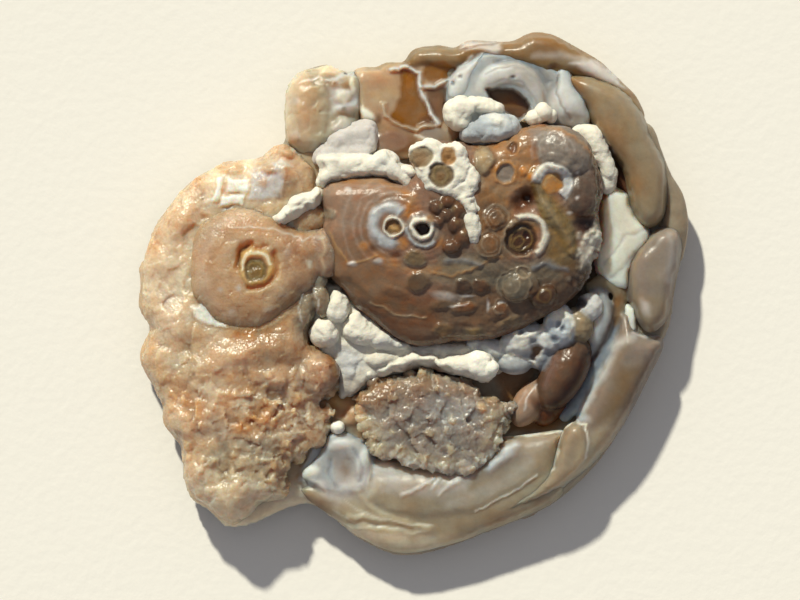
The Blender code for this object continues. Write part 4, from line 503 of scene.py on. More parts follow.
# Markings laid over each piece in turn: shape, colour, softness of edge, strength, height, places
MARKINGS = {
    "stone_body": [
        ("area", "sand", 2, 0.9, 0, [(-32, -26), (-13, -27), (-9, -12), (-9, 16), (-32, 17)]),
        # painted glow: the south rim lightened for light shining through the stone where it faces away from
        # the key light
        ("area", "pale_peach", 1.6, 0.8, 0, [(-22, -27), (-12, -27), (-6, -27.6), (-5, -24), (-13, -21),
            (-20, -23)]),
        ("area", "brown_tan", 0.8, 1, 0, [(-11, -11.2), (-6, -10.6), (-3, -12), (-4, -17), (-1, -19.5),
            (2, -20.4), (-4, -20.8), (-6.5, -15), (-9.5, -13.8)]),
        ("area", "orange", 0.8, 0.6, 0, [(-10.4, -10.6), (-6.4, -11.6), (-5.2, -14.4), (-7.4, -14.2),
            (-9.8, -13.2)]),
        ("spot", "honey", 0.8, 0.6, 0.3, (-8.2, -11.9, 0.9, 0.5, -20)),
        ("spot", "tan", 0.8, 0.7, 0.4, (-6.4, -13.6, 1, 0.7, 30)),
        ("spot", "sand", 0.8, 0.7, 0.4, (-7.8, -14.2, 0.9, 0.5, -30)),
        ("area", "umber", 0.8, 1, 0, [(8.2, 22.6), (9.4, 22.9), (11.6, 22.6), (13, 21.4), (13, 19.8),
            (11.2, 19.6), (9.8, 21), (8.4, 22)]),
        # painted shade: the dark red-brown crevice along the rosette's right edge, with painted amber glow
        ("area", "red_brown", 0.6, 1, 0, [(20.6, 2), (21.4, 3), (22, 8), (21.6, 11), (20.6, 11), (20.6, 5)]),
        ("area", "cream", 0.5, 1, 1.6, [(23.6, -1), (24.6, -1.4), (25.2, -4.6), (24, -4.4), (23, -3.6)]),
        ("area", "red_brown", 0.8, 1, 0, [(22.2, 15), (23.4, 15.2), (24.6, 11), (23.4, 9.8), (22.2, 11.4)]),
        ("area", "toffee", 0.8, 1, 0, [(9, -8), (14, -8.4), (12, -13), (10.6, -15.4), (16, -15.2),
            (18, -13.4), (14.6, -14), (11, -14.6)]),
        ("area", "umber", 0.8, 1, 0, [(9.6, -4.8), (17.6, -0.6), (20, 2), (20.8, 4), (20, 6), (17, 1),
            (9, -4)]),
        ("area", "umber", 0.8, 0.8, 0, [(-10, -19), (-4.5, -18.5), (-4, -22), (-9, -22)]),
        ("area", "porcelain", 0.6, 0.9, 0.5, [(-11, -16.4), (-4.4, -16.2), (-4.2, -21), (-8, -22.4),
            (-12.6, -20.6)]),
    ],
    "slope": [
        ("area", "peach", 2.5, 0.9, 0, [(-31, -3), (-25, -1), (-24.4, 5), (-20, 10), (-10, 10), (-10, 17),
            (-31, 17)]),
        ("area", "pale_peach", 3, 0.5, 0, [(-29, -6), (-25, -6), (-25, 1), (-27, 5), (-31, 4)]),
        ("area", "sand", 2.5, 0.8, 0, [(-31, -1), (-26, 1), (-24, -6), (-22, -9), (-29, -16), (-31, -10)]),
        ("area", "blush", 2.5, 0.9, 0, [(-23, -5), (-12, -4), (-9.4, -8), (-16, -10), (-23, -9)]),
        ("area", "blush", 2.5, 0.6, 0, [(-26, -10), (-9, -8), (-8.6, -16), (-13, -18), (-24, -17)]),
        ("area", "warm_tan", 3, 0.6, 0, [(-19.6, -9.6), (-15, -10.6), (-14.4, -17), (-14, -22), (-17, -20),
            (-20, -18)]),
        ("area", "warm_tan", 3, 0.5, 0, [(-19, -3.6), (-12, -3.6), (-9.4, -7), (-12, -8.6), (-18, -8.4)]),
        ("area", "pale_peach", 2.6, 0.5, 0, [(-27.6, -9), (-26, -7), (-25, -2), (-24.6, 4), (-22.8, 9),
            (-26, 12), (-27.6, 4)]),
        ("area", "film", 2.6, 0.35, 0, [(-28, -5), (-26.4, -5), (-25.8, 0), (-28, 1)]),
        # painted shadow: the slope darkened where the flower's shadow falls on it
        ("area", "brown_tan", 2, 0.4, 0, [(-18, -4.2), (-13, -4), (-12, -7.4), (-17, -7.8)]),
        ("area", "peach", 2, 0.6, 0, [(-27.5, -9), (-22, -9), (-21, -15), (-26.5, -15.6)]),
        ("area", "orange", 2.5, 0.25, 0, [(-25, -10), (-17, -9.6), (-14, -14), (-19, -16), (-25, -14)]),
        ("area", "grey_sand", 2, 0.6, 0, [(-23, -16.6), (-15, -15.4), (-14, -22), (-23, -21)]),
        ("area", "pale_peach", 2.2, 0.45, 0, [(-25.6, -18.6), (-20, -20.6), (-15, -21.2), (-14, -24),
            (-19, -26), (-26, -22)]),
        ("area", "pale_peach", 1.4, 0.9, 0, [(-23, 10), (-17.5, 10.6), (-17.5, 15.4), (-22.5, 15)]),
        ("area", "film", 0.4, 0.95, 0.25, [(-18, 10.6), (-14.6, 10.6), (-14, 13.6), (-15, 14.6), (-16, 13.7),
            (-18, 13.6)]),
        ("area", "ivory", 0.25, 1, 0.35, [(-22.2, 10.3), (-21.6, 10.3), (-20.9, 12.8), (-21.5, 12.9)],
            [(-20.5, 11.4), (-18.4, 11.2), (-18.2, 12.7), (-20.4, 12.8)], [(-21.4, 9.8), (-18.8, 9.9),
            (-18.6, 11), (-21.2, 10.9)]),
        ("area", "film", 0.5, 0.8, 0.3, [(-17.6, 13.9), (-14.6, 14.9), (-13, 14.3), (-15, 13.6)]),
        ("spot", "sand", 0.6, 0.8, 0.4, (-20.3, 14.2, 1.6, 0.7, 5)),
        ("spot", "tan", 0.5, 0.8, 0.3, (-15.9, 14, 0.7)),
        ("spot", "tan", 0.7, 0.7, 0.5, (-13.6, 13.4, 1.1, 0.8, -30)),
        ("spot", "tan", 0.4, 0.6, 0.2, (-16.6, 12.4, 0.6)),
        ("area", "brown_tan", 0.9, 0.7, 0, [(-14, 12.4), (-12.8, 12.6), (-12.6, 10.8), (-14.8, 10.4),
            (-15.2, 11)]),
        ("area", "tan", 1.2, 0.7, 0, [(-13, 12.8), (-11, 15.6), (-10, 13.6), (-11.2, 10.6), (-12.8, 10.4)]),
        ("spot", "tan", 0.8, 0.8, 0.8, (-13.9, 16.2, 0.9, 0.8, 30)),
        ("spot", "cream", 0.3, 0.8, 0, (-13, 16.3, 0.4)),
        ("spot", "orange", 0.5, 0.6, 0, (-24, 12.7, 0.4), (-28.3, 6.8, 0.35), (-23.1, 8.6, 0.35)),
        ("spot", "red_brown", 0.2, 0.7, 0, (-23.2, 10.7, 0.15)),
        ("spot", "orange", 1.6, 0.5, 0, (-24.2, -13.2, 0.9, 1.4, 20)),
        ("spot", "orange", 1, 0.6, 0, (-15.5, -19.3, 0.6)),
        ("spot", "orange", 1.8, 0.3, 0, (-25.4, 8.2, 1.9, 1.4, 50)),
        ("spot", "orange", 1, 0.4, 0, (-28.4, 5.4, 0.8)),
        ("line", "orange", 0.8, 0.5, 0, (0.15, (-26.8, -9.8), (-26.4, -12.4))),
        ("spot", "orange", 0.8, 0.4, 0, (-17, 9.3, 0.7)),
        # painted shadow: the dark orange crevice under the flower's lower edge, with painted glow of light
        # through the stone
        ("line", "orange", 1.4, 0.7, 0, (0.35, (-20.6, -4), (-18.5, -4.6), (-16, -4.5), (-14.2, -3.2),
            (-12.8, -1.6))),
        ("line", "toffee", 0.7, 0.6, 0, (0.15, (-20.2, -3.9), (-18.4, -4.4), (-16.2, -4.1), (-13.6, -2.4),
            (-12.2, -0.2), (-11.4, 1.4))),
        ("area", "grey_tan", 1.2, 0.7, 0, [(-12.3, 1), (-10, 2.4), (-9.6, -2), (-11.4, -5), (-13.4, -4)]),
        ("line", "film", 0.3, 0.6, 0.15, (0.08, (-11.9, 0.4), (-12.6, -1.4), (-12.2, -3.2)), (0.08,
            (-10.9, 0.8), (-10.4, -0.6), (-10.8, -2.4))),
        ("area", "cream", 0.3, 1, 0.3, [(-24.5, -1.5), (-23.8, -1.3), (-23.4, -0.3), (-22.7, -1.7),
            (-22, -2.8), (-20.6, -3.8), (-21.8, -3.7), (-23.2, -3.2), (-24.1, -2.5)]),
        ("spot", "porcelain", 0.5, 0.9, 0.2, (-20.3, 9, 0.8, 0.5, -20)),
        ("line", "toffee", 0.6, 0.8, 0, (0.3, (-11.3, -4), (-11.2, -5.8), (-10, -6.2), (-9, -7.2),
            (-8.4, -9))),
        ("spot", "tan", 2.2, 0.4, 0.7, (-17.2, -6.4, 1.9, 1.4)),
        ("spot", "tan", 2.2, 0.4, 0.6, (-14, -5.8, 1.5, 1.4)),
        ("spot", "sand", 2.2, 0.4, 0.6, (-20.6, -7, 1.9, 1.2, 10)),
        ("spot", "tan", 2.2, 0.4, 0.7, (-15.2, -9.3, 1.9, 1.2, -15)),
        ("spot", "sand", 2.6, 0.3, 0.7, (-26.4, -3.4, 1.9, 1.8)),
        ("spot", "sand", 2.6, 0.3, 0.6, (-27.6, 3.8, 2, 1.6), (-28.4, -7.6, 1.4, 2)),
        ("spot", "sand", 2.4, 0.3, 0.6, (-23.8, -8.6, 1.6, 1.3)),
        ("spot", "peach", 2.4, 0.3, 0.6, (-26, 8, 1.8, 1.4, 40)),
        ("spot", "grey_sand", 2.4, 0.3, 0.6, (-20.4, -22.6, 1.9, 1.6, 30)),
        ("spot", "tan", 2.4, 0.3, 0.5, (-24.4, -19.8, 1.6, 1.2)),
        ("spot", "peach", 2.2, 0.3, 0.6, (-25.2, -14.6, 1.5, 1.3)),
        ("line", "brown_tan", 1.4, 0.5, -0.3, (0.2, (-21.6, -15.6), (-20.4, -18.4), (-21, -20.6))),
        ("line", "brown_tan", 1.4, 0.4, -0.3, (0.2, (-25.4, -5.4), (-24.2, -8), (-25, -10.6))),
        ("spot", "orange", 1.4, 0.5, 0, (-24.8, -12.6, 1.2, 0.8, 40)),
        ("spot", "orange", 1.2, 0.4, 0, (-19.6, -8.9, 2.4, 0.5, 10), (-12.6, -12, 1.4, 0.6, 50)),
        ("spot", "orange", 1.4, 0.35, 0, (-26.4, -10.2, 0.6, 1.4, 10)),
        ("spot", "pale_peach", 1.6, 0.5, 0.2, (-18.8, -12.2, 1.6, 0.9, 30)),
        ("spot", "pale_peach", 1.4, 0.5, 0.2, (-22.4, -10.9, 1.1, 0.7)),
        ("spot", "lilac_grey", 1.6, 0.45, 0, (-21.8, -14.8, 1.8, 1.2, 10)),
        ("spot", "lilac_grey", 1.6, 0.4, 0, (-17.2, -16.8, 1.4, 1)),
    ],
    "corner": [
        ("area", "pale_peach", 1.2, 0.6, 0, [(-14.6, 17), (-13.4, 18), (-13.2, 23), (-12, 25.4),
            (-14.6, 24)]),
        ("area", "pale_peach", 0.8, 0.7, 0.4, [(-10.4, 24.4), (-8, 24.6), (-7.6, 26), (-10.4, 26.4)]),
        ("area", "film", 1, 0.85, 0.15, [(-9.4, 23), (-8.2, 23.8), (-7.4, 22.8), (-6.4, 22.4), (-5.6, 20.6),
            (-8.8, 20)]),
        ("line", "brown_tan", 1, 0.4, -0.15, (0.2, (-9.6, 23.2), (-9.1, 21.4), (-9.4, 18.8), (-9.8, 16.6))),
        ("area", "film", 0.5, 0.9, 0.3, [(-9.6, 23.7), (-8.2, 24.5), (-6, 24.9), (-5.6, 24.3), (-7.4, 24.2),
            (-8.6, 23.6)]),
        ("spot", "toffee", 0.4, 0.8, 0.3, (-8.7, 23.3, 0.6, 0.4, 10), (-7.4, 23.4, 0.7, 0.4, 10)),
        ("spot", "black_brown", 0.2, 0.9, -0.4, (-7.4, 24.5, 0.25, 0.15, 20), (-6.1, 24.6, 0.2)),
        ("spot", "cream", 0.4, 0.8, 0.2, (-6.6, 23.2, 0.3, 0.8)),
        ("spot", "shade_cream", 0.6, 0.8, 0.5, (-7.7, 22, 0.9, 0.8)),
        ("spot", "film", 0.6, 0.8, 0.4, (-7.2, 20.6, 1.2, 0.6, 10)),
        ("spot", "olive", 0.3, 0.7, 0, (-7.5, 20.5, 0.25)),
        ("area", "sand", 0.8, 0.5, 0, [(-9, 20), (-6, 20.2), (-6, 19.4), (-9, 19.2)]),
        ("area", "grey_sand", 1.2, 0.8, 0, [(-9.2, 20.2), (-5.4, 20.4), (-4.8, 16.4), (-9, 15.8)]),
        ("spot", "film", 0.8, 0.6, 0.6, (-7.8, 18.6, 1.2, 0.8, 30)),
        ("spot", "film", 0.8, 0.5, 0.5, (-6.2, 17.6, 0.9)),
        ("spot", "tan", 1.6, 0.6, 0, (-11.4, 19.8, 1.2, 2.4)),
        ("spot", "honey", 2, 0.3, 0, (-11.8, 21.8, 1.4, 1.6)),
        ("spot", "film", 0.5, 0.6, 0, (-12.9, 21.5, 0.5)),
        ("spot", "film", 0.4, 0.7, 0, (-13, 17.6, 0.5)),
        ("line", "white_glint", 0.4, 0.7, 0.15, (0.1, (-12.4, 23.5), (-11.4, 23.8), (-10.6, 24.1))),
        ("spot", "white_glint", 0.15, 0.8, 0, (-11.6, 22.9, 0.12), (-12, 21.1, 0.15)),
        ("spot", "orange", 0.8, 0.4, 0.3, (-13.4, 17.3, 0.6)),
        ("line", "peach", 2, 0.5, 0, (0.8, (-12.2, 17.4), (-12.2, 23.6))),
    ],
    "flower": [
        ("ring", "tan", 2.6, 0.6, 0, (-17.2, 3, 7, 1.3, 60, 220)),
        ("ring", "peach", 2.4, 0.35, 0, (-17.2, 3, 3.6, 1)),
        ("ring", "film", 2.4, 0.22, 0, (-17.2, 3, 6.2, 0.8, 80, 300)),
        ("spot", "pale_peach", 1.2, 0.2, 0, (-20.6, 4.8, 1.2, 0.6, 60)),
        ("spot", "pale_peach", 1.2, 0.3, 0, (-14.8, 1, 1.4, 0.6, -40)),
        ("spot", "film", 0.4, 0.5, 0, (-21.3, 0.6, 0.3), (-16, -1.6, 0.5, 0.2, 20)),
        ("spot", "film", 0.4, 0.4, 0, (-20, -2, 0.3)),
        ("spot", "film", 0.5, 0.5, 0, (-13.6, 4.6, 0.3, 0.6, -20)),
        ("ring", "deep_tan", 1, 0.3, 0, (-17.2, 3, 5, 0.3)),
        ("ring", "peach", 0.6, 0.3, 0, (-17.2, 3, 5.8, 0.15)),
        ("ring", "deep_tan", 0.5, 0.25, 0, (-17.2, 3, 3.1, 0.1)),
        ("area", "mauve_tan", 3, 0.5, 0, [(-15.4, 9), (-8.8, 7), (-9.2, 3), (-13, -1), (-14.4, 3)]),
        # painted shade: the flower's lower side darker, as it turns away from the light
        ("area", "deep_tan", 2.5, 0.3, 0, [(-20, -0.5), (-14, 0.5), (-12, -1), (-16, -4.6), (-21, -4.2)]),
        ("area", "brown_tan", 1.6, 0.5, 0, [(-14.6, 0.6), (-12.4, 0.4), (-13.6, -2.4), (-15.6, -3.4)]),
        ("area", "grey_tan", 1.6, 0.5, 0, [(-24.8, 5), (-22.6, 6), (-20.6, 8), (-20, 9.8), (-24, 8.6)]),
        ("line", "film", 0.5, 0.5, 0.2, (0.1, (-19.6, 7.2), (-17.8, 7.4), (-15.5, 7.2), (-14.2, 6.6),
            (-12.6, 6.3), (-12.1, 5.8), (-11.4, 6.4), (-9.8, 6.2))),
        ("area", "deep_tan", 0.8, 0.7, 0, [(-16.4, 8.6), (-13, 7.6), (-10.6, 7), (-9.4, 6.4), (-12.2, 6.5),
            (-15, 7.3)]),
        ("line", "peach", 0.7, 0.6, 0.15, (0.15, (-10, 6.4), (-9.5, 5), (-10, 4), (-9.6, 2.6), (-10.8, 1.6),
            (-11.8, 0.4))),
        # a real groove, sunk by these marks; its deep orange on the left side is painted shadow
        ("line", "orange", 0.6, 0.95, -0.5, (0.35, (-19.4, 2.9), (-19.3, 4.2), (-18.7, 5.2), (-17.9, 5.6))),
        ("line", "deep_amber", 0.4, 0.9, -0.3, (0.12, (-19.4, 3.3), (-19.1, 4.5), (-18.4, 5.3))),
        ("line", "orange", 0.5, 0.8, -0.3, (0.2, (-17.2, 5.3), (-16.2, 5.3))),
        ("line", "orange", 0.6, 0.95, -0.45, (0.3, (-15.2, 4.4), (-14.9, 3.2), (-15.2, 2.1), (-16, 1.2),
            (-17, 0.7), (-18, 0.8))),
        ("ring", "honey", 0.5, 0.95, 0.15, (-17.2, 3, 1.7, 0.4)),
        # painted highlight: the upper side of the eye's ring lighter, where the light falls on it
        ("ring", "pale_peach", 0.3, 0.9, 0.1, (-17.2, 3.1, 1.6, 0.2, 10, 200)),
        ("ring", "toffee", 0.3, 0.6, 0, (-17.2, 3, 2, 0.1, 150, 330)),
        ("spot", "moss", 0.3, 1, -0.15, (-17.3, 2.75, 1.3)),
        ("ring", "honey", 0.3, 0.4, 0.05, (-17.3, 2.75, 0.8, 0.08)),
        ("ring", "toffee", 0.25, 0.6, -0.1, (-17.3, 2.75, 1.3, 0.08)),
        ("spot", "toffee", 0.6, 0.5, 0.08, (-17.3, 2.7, 0.5)),
        ("spot", "film", 0.5, 0.6, 0, (-19.3, 0.7, 0.35)),
        ("spot", "film", 0.4, 0.4, 0, (-14.3, -0.1, 0.5, 0.2, 20)),
        ("line", "grey_tan", 0.8, 0.5, 0, (0.4, (-11.4, 3.6), (-10.4, 4.4), (-9.4, 4.6))),
        ("area", "shade_cream", 0.4, 0.6, 0, [(-11.9, 3.6), (-11.2, 3.5), (-11.4, 2.8)]),
    ],
    "eye_crust": [
        ("spot", "olive_tan", 0.3, 1, -0.3, (1.05, 15.15, 1.2, 1.1)),
        ("spot", "toffee", 0.8, 0.7, 0, (0.8, 14.9, 0.8)),
        ("spot", "amber_tan", 0.3, 1, -0.3, (4, 15.3, 0.95)),
        ("ring", "toffee", 0.3, 0.6, 0, (4, 15.3, 0.6, 0.08)),
        ("spot", "olive", 0.3, 1, -0.3, (3.2, 13.15, 1.35)),
        ("ring", "moss", 0.3, 0.7, 0.1, (3.2, 13.2, 0.85, 0.12)),
        ("spot", "toffee", 0.4, 0.8, 0, (3.1, 13.1, 0.5)),
        ("ring", "dark_umber", 0.25, 0.6, 0, (3.2, 13.2, 1.3, 0.1)),
        ("line", "shade_cream", 0.6, 0.9, 0, (0.3, (1.2, 12.4), (2, 11.5), (4, 11.2), (5.4, 11.8)), (0.3,
            (6.6, 10.2), (6.6, 8.4), (6.7, 6.4))),
        ("line", "film", 0.3, 0.8, -0.25, (0.1, (4.6, 11.8), (5.8, 12.6), (6.2, 13.8)), (0.1, (6, 10.6),
            (7.2, 11.4))),
        ("line", "film", 0.3, 0.8, -0.2, (0.1, (6.2, 8.9), (7.4, 8.9))),
        ("line", "film", 0.3, 0.7, 0, (0.1, (3, 16.4), (2.8, 15.2))),
    ],
    "rosette": [
        ("area", "mauve_tan", 3, 0.8, 0, [(-11, 9), (-9.5, 13.6), (-3.6, 13.6), (-1, 11.6), (-4, 8.6),
            (-6.4, 6), (-9.4, 6)]),
        ("area", "rosewood", 2.5, 0.9, 0, [(-10, 6), (-5.6, 6.4), (-3.4, 3.4), (0, 1.2), (-1, -1), (-4, -2.6),
            (-9, 1)]),
        ("area", "chestnut", 2.5, 0.8, 0, [(-7, -1), (-2, 0.4), (3, -0.6), (4, -5.8), (-2, -5.6)]),
        ("area", "plum", 3, 0.75, 0, [(3, 0.6), (9, 3.2), (13, 3), (18, 3.6), (21, 5), (19, -1), (12, -5),
            (3, -5.6)]),
        ("area", "amber_tan", 1.6, 0.6, 0, [(6.8, 17.4), (12.6, 18.2), (13.6, 15.4), (14.4, 13), (13.6, 11.6),
            (9.4, 11.4), (7, 11.8)]),
        ("area", "toffee", 1.4, 0.8, 0, [(7.2, 11.8), (10.6, 11.8), (11.4, 8.4), (14, 8.6), (14, 7),
            (10.6, 4), (7.2, 4), (7, 8)]),
        ("area", "umber", 1.2, 0.6, 0, [(7.6, 10), (10.8, 9.8), (10.6, 4.2), (7.2, 3.8)]),
        ("area", "grey_brown", 1.4, 0.85, 0, [(12.9, 18.6), (17, 18.6), (20.8, 14), (20.6, 9.6), (17.4, 9),
            (17, 12), (14.2, 15.4)]),
        ("area", "dark_umber", 1.4, 0.7, 0, [(17.6, 13), (20.4, 13.4), (21.4, 7), (18.2, 5.8), (17.4, 9)]),
        ("area", "ridge_tan", 1.4, 0.85, 0, [(13.6, 12.6), (14.6, 12.2), (17.8, 8.4), (18.2, 2.8),
            (14.6, 2.8), (14.9, 8)]),
        ("area", "dark_umber", 1.4, 0.4, 0, [(13.4, 1.4), (18.4, 4.4), (20, 2), (17, -2), (13, -1.6)]),
        ("area", "grey_olive", 1.2, 0.8, 0, [(2.6, 4.6), (6, 5), (9.8, 3.8), (15.4, 3.6), (17, 1.6), (9, 0.8),
            (3, 1.8)]),
        ("area", "olive_tan", 1.2, 0.5, 0, [(1, 1.2), (1.2, 3.2), (5.6, 4.4), (9, 3.4), (6, 1.6)]),
        ("line", "amber_tan", 0.8, 0.7, 0.15, (0.25, (-9.2, 12.4), (-3.8, 12.8), (-1.6, 11.6), (0, 10.4),
            (-0.6, 8.8))),
        ("ring", "rosewood", 0.8, 0.6, 0, (-2, 7.5, 3.3, 0.25, 70, 255)),
        ("ring", "film", 0.4, 0.3, 0, (-2, 7.5, 3, 0.08, 80, 250)),
        ("ring", "film", 0.4, 0.25, 0, (-2, 7.5, 3.7, 0.08, 80, 240)),
        ("ring", "rose_brown", 0.5, 0.5, 0, (-2, 7.5, 4.1, 0.1, 75, 240)),
        ("ring", "film", 0.4, 0.2, 0, (-2, 7.5, 4.5, 0.08, 80, 235)),
        ("ring", "rose_brown", 0.5, 0.4, 0, (-2, 7.5, 5.1, 0.12, 80, 230)),
        ("ring", "film", 0.5, 0.18, 0, (-2, 7.5, 5.7, 0.08, 90, 225)),
        ("ring", "rose_brown", 0.6, 0.4, 0, (-2, 7.5, 6.3, 0.15, 110, 220)),
        ("area", "orange", 1, 0.35, 0, [(-1.2, 8.8), (-0.2, 8.4), (0.8, 9.2), (0.6, 11), (-1, 11.4)]),
        ("area", "orange", 0.9, 0.5, 0, [(-4.6, 4.9), (-2.8, 4.2), (-1, 3.3), (1, 2.9), (3.2, 3), (3, 2.3),
            (0.4, 2.2), (-2, 2.6), (-4, 3.7)]),
        ("area", "orange", 0.8, 0.7, 0, [(2, 6.6), (3.4, 6.6), (3.6, 5.4), (2.4, 5.2)]),
        ("spot", "orange", 0.6, 0.7, 0, (0, 8.6, 0.4)),
        ("spot", "orange", 0.7, 0.8, 0, (-1.2, 5.5, 0.6)),
        ("spot", "red_brown", 0.5, 0.7, -0.15, (-1.9, 4.2, 0.5, 0.4)),
        ("ring", "blue_white", 0.8, 0.85, 0.15, (-2.5, 7.7, 1.9, 0.5, 50, 290)),
        ("ring", "porcelain", 0.4, 0.8, 0.1, (-2.5, 7.8, 1.9, 0.2, 70, 150)),
        ("ring", "shade_cream", 0.3, 1, 0.3, (-2, 7.4, 1.1, 0.16)),
        ("spot", "toffee", 0.3, 1, -0.25, (-2, 7.4, 0.92)),
        ("spot", "honey", 0.5, 0.6, 0.2, (-1.9, 7.3, 0.4)),
        ("ring", "dark_umber", 0.2, 0.5, 0, (-2, 7.4, 0.8, 0.06)),
        ("spot", "grey_brown", 0.5, 0.9, 0.2, (1.15, 7, 1.95)),
        ("ring", "blue_white", 0.3, 0.7, 0.1, (1.15, 7, 1.75, 0.14, 170, 320)),
        ("ring", "cream", 0.3, 1, 0.35, (1.1, 7.2, 1.05, 0.24)),
        ("spot", "black_brown", 0.3, 1, -1, (1.15, 7.15, 0.72)),
        ("spot", "olive", 0.5, 0.9, 0.3, (0.3, 3.9, 1.3, 0.9)),
        ("ring", "grey_tan", 0.3, 0.7, 0.1, (0.3, 4.2, 1.25, 0.1, 200, 340)),
        ("spot", "red_brown", 0.6, 0.7, 0, (-4.4, 5.1, 0.5, 0.3)),
        ("spot", "orange", 0.6, 0.7, 0, (-5.4, 5.3, 0.5)),
        ("line", "honey", 0.4, 0.5, 0.12, (0.08, (-9.4, 6.8), (-8.2, 5), (-6.9, 3.3), (-5.2, 3.9),
            (-4, 4.2))),
        ("spot", "film", 0.4, 0.8, 0.12, (-6.6, 3.4, 0.5, 0.3), (-3.8, 3.6, 0.5, 0.25)),
        ("spot", "grey_tan", 0.4, 0.9, 0.25, (-9.3, 8.9, 0.7, 0.6)),
        ("spot", "film", 0.3, 0.6, 0, (-7, 11.6, 0.35)),
        ("area", "umber", 0.8, 0.7, 0, [(1.8, 11), (6.2, 10.8), (6.6, 6), (5.6, 4.2), (3.2, 4.6), (3.4, 6.4),
            (1.8, 8.6)]),
        ("spot", "brown_tan", 0.4, 0.8, 0.2, (1.9, 8.3, 0.5)),
        ("spot", "olive", 0.3, 0.7, 0, (4.5, 9.6, 0.3), (3.2, 9.9, 0.3)),
        ("spot", "olive", 0.3, 0.6, 0, (5.1, 7.9, 0.3), (5.6, 6.7, 0.3)),
        ("area", "grey_tan", 1, 0.7, 0, [(6.4, 14.4), (8, 12.4), (7.8, 11.4), (7, 11.6)]),
        ("spot", "olive_tan", 0.4, 0.9, 0.35, (7.9, 14.9, 1.1, 1.6)),
        ("ring", "umber", 0.4, 0.5, 0, (7.9, 14.9, 1.35, 0.12)),
        ("spot", "honey", 0.8, 0.4, 0, (7.7, 15.4, 0.5, 0.8)),
        ("spot", "red_brown", 0.4, 0.8, -0.4, (11.1, 16.2, 0.6)),
        ("ring", "amber_tan", 0.4, 0.8, 0.2, (10.4, 13.4, 1.15, 0.2)),
        ("spot", "grey_brown", 0.4, 0.95, -0.2, (10.4, 13.4, 0.95, 1.05)),
        ("area", "cocoa", 1, 0.8, 0, [(8, 10.2), (9.4, 9.8), (9.6, 8.4), (8.2, 8.8)]),
        ("spot", "orange", 0.5, 0.8, 0.25, (12.4, 13.5, 0.5), (13.3, 12.9, 0.45)),
        ("spot", "red_brown", 1.4, 0.95, -1, (12.5, 10.5, 1.3, 1, 30)),
        ("spot", "black_brown", 0.8, 0.8, -0.4, (13, 10.6, 0.6, 0.5)),
        ("line", "olive_tan", 1, 0.5, 0.2, (0.2, (13.9, 12.3), (14.3, 10.9), (15.1, 9.4), (16.4, 7.7),
            (17.4, 6.2), (17.7, 4.6))),
        ("ring", "porcelain", 0.45, 0.95, 0.3, (15.5, 12.3, 1.75, 0.5, -50, 175)),
        ("ring", "cream", 0.5, 0.7, 0.15, (15.4, 12.5, 1.7, 0.3, 60, 160)),
        ("spot", "amber_tan", 0.3, 1, 0.1, (15.5, 12.3, 1.15)),
        ("spot", "orange", 0.8, 0.2, 0, (15.7, 12, 0.7)),
        ("ring", "honey", 0.3, 0.5, 0, (15.5, 12.3, 0.8, 0.1, 60, 220)),
        ("line", "amber_tan", 0.7, 0.7, 0.1, (0.2, (12.3, 18.4), (14, 18.6), (16.4, 18.2), (18.2, 17.2),
            (19.8, 15.6), (20.9, 13.4))),
        ("line", "red_brown", 1, 0.5, 0, (0.3, (20.3, 13.8), (20.9, 11.6), (20.4, 9.4))),
        ("ring", "film", 0.4, 0.3, 0, (15.6, 15.8, 1.6, 0.08, 0, 200)),
        ("ring", "film", 0.4, 0.25, 0, (15.6, 15.8, 2.3, 0.08, 0, 200)),
        ("spot", "film", 0.3, 0.8, 0, (18.3, 13.4, 0.25, 0.15, 30), (18.3, 10.5, 0.2)),
        ("spot", "film", 0.3, 0.7, 0, (17.4, 9, 0.25, 0.15)),
        ("ring", "shade_cream", 0.4, 0.95, 0.35, (12.6, 6.4, 2.2, 0.32, -60, 115)),
        ("ring", "grey_tan", 0.4, 0.7, 0.2, (12.3, 6.2, 2, 0.15, 115, 300)),
        ("spot", "dark_umber", 0.4, 1, -0.5, (12.1, 6, 1.75)),
        ("ring", "moss", 0.25, 0.7, 0.15, (12.1, 6, 1.2, 0.08)),
        ("ring", "moss", 0.25, 0.7, 0.12, (11.8, 5.8, 0.6, 0.08)),
        ("spot", "black_brown", 0.3, 0.9, -0.2, (12.6, 6.4, 0.35)),
        ("ring", "grey_tan", 0.3, 0.5, 0.1, (9.4, 8.5, 1.35, 0.1), (8.5, 5.6, 1.5, 0.1)),
        ("ring", "grey_tan", 0.3, 0.35, 0.08, (8.5, 5.6, 1, 0.08), (9.4, 8.5, 0.8, 0.08)),
        ("line", "amber_tan", 0.5, 0.6, 0.15, (0.12, (2.4, 2.4), (4.4, 2), (7, 2.8), (8.6, 3.8), (10, 4.2))),
        ("line", "blue_grey", 0.8, 0.6, 0.15, (0.2, (3.6, 3.6), (5.6, 3.9), (7.6, 3.2))),
        ("line", "blue_grey", 0.6, 0.6, 0.2, (0.2, (13.4, 3), (15, 3.4), (17, 2.6))),
        ("spot", "grey_olive", 0.4, 0.9, 0.15, (11.3, 0.9, 1.9, 1.5, 15)),
        ("ring", "grey_tan", 0.25, 0.6, 0.12, (11.3, 0.9, 1.8, 0.08)),
        ("ring", "grey_tan", 0.25, 0.5, 0.08, (11, 1, 1.1, 0.07)),
        ("ring", "grey_tan", 0.25, 0.7, 0.15, (12.4, 2.4, 0.7, 0.1)),
        ("spot", "dark_umber", 0.3, 0.9, 0.15, (14.7, -0.1, 1.4, 1, 20)),
        ("ring", "moss", 0.25, 0.5, 0, (14.7, -0.1, 0.75, 0.08)),
        ("spot", "cocoa", 0.3, 0.8, 0.3, (7.6, 0.9, 1, 0.8)),
        ("spot", "dark_umber", 0.3, 0.8, 0.3, (5.7, 1, 0.8, 0.7)),
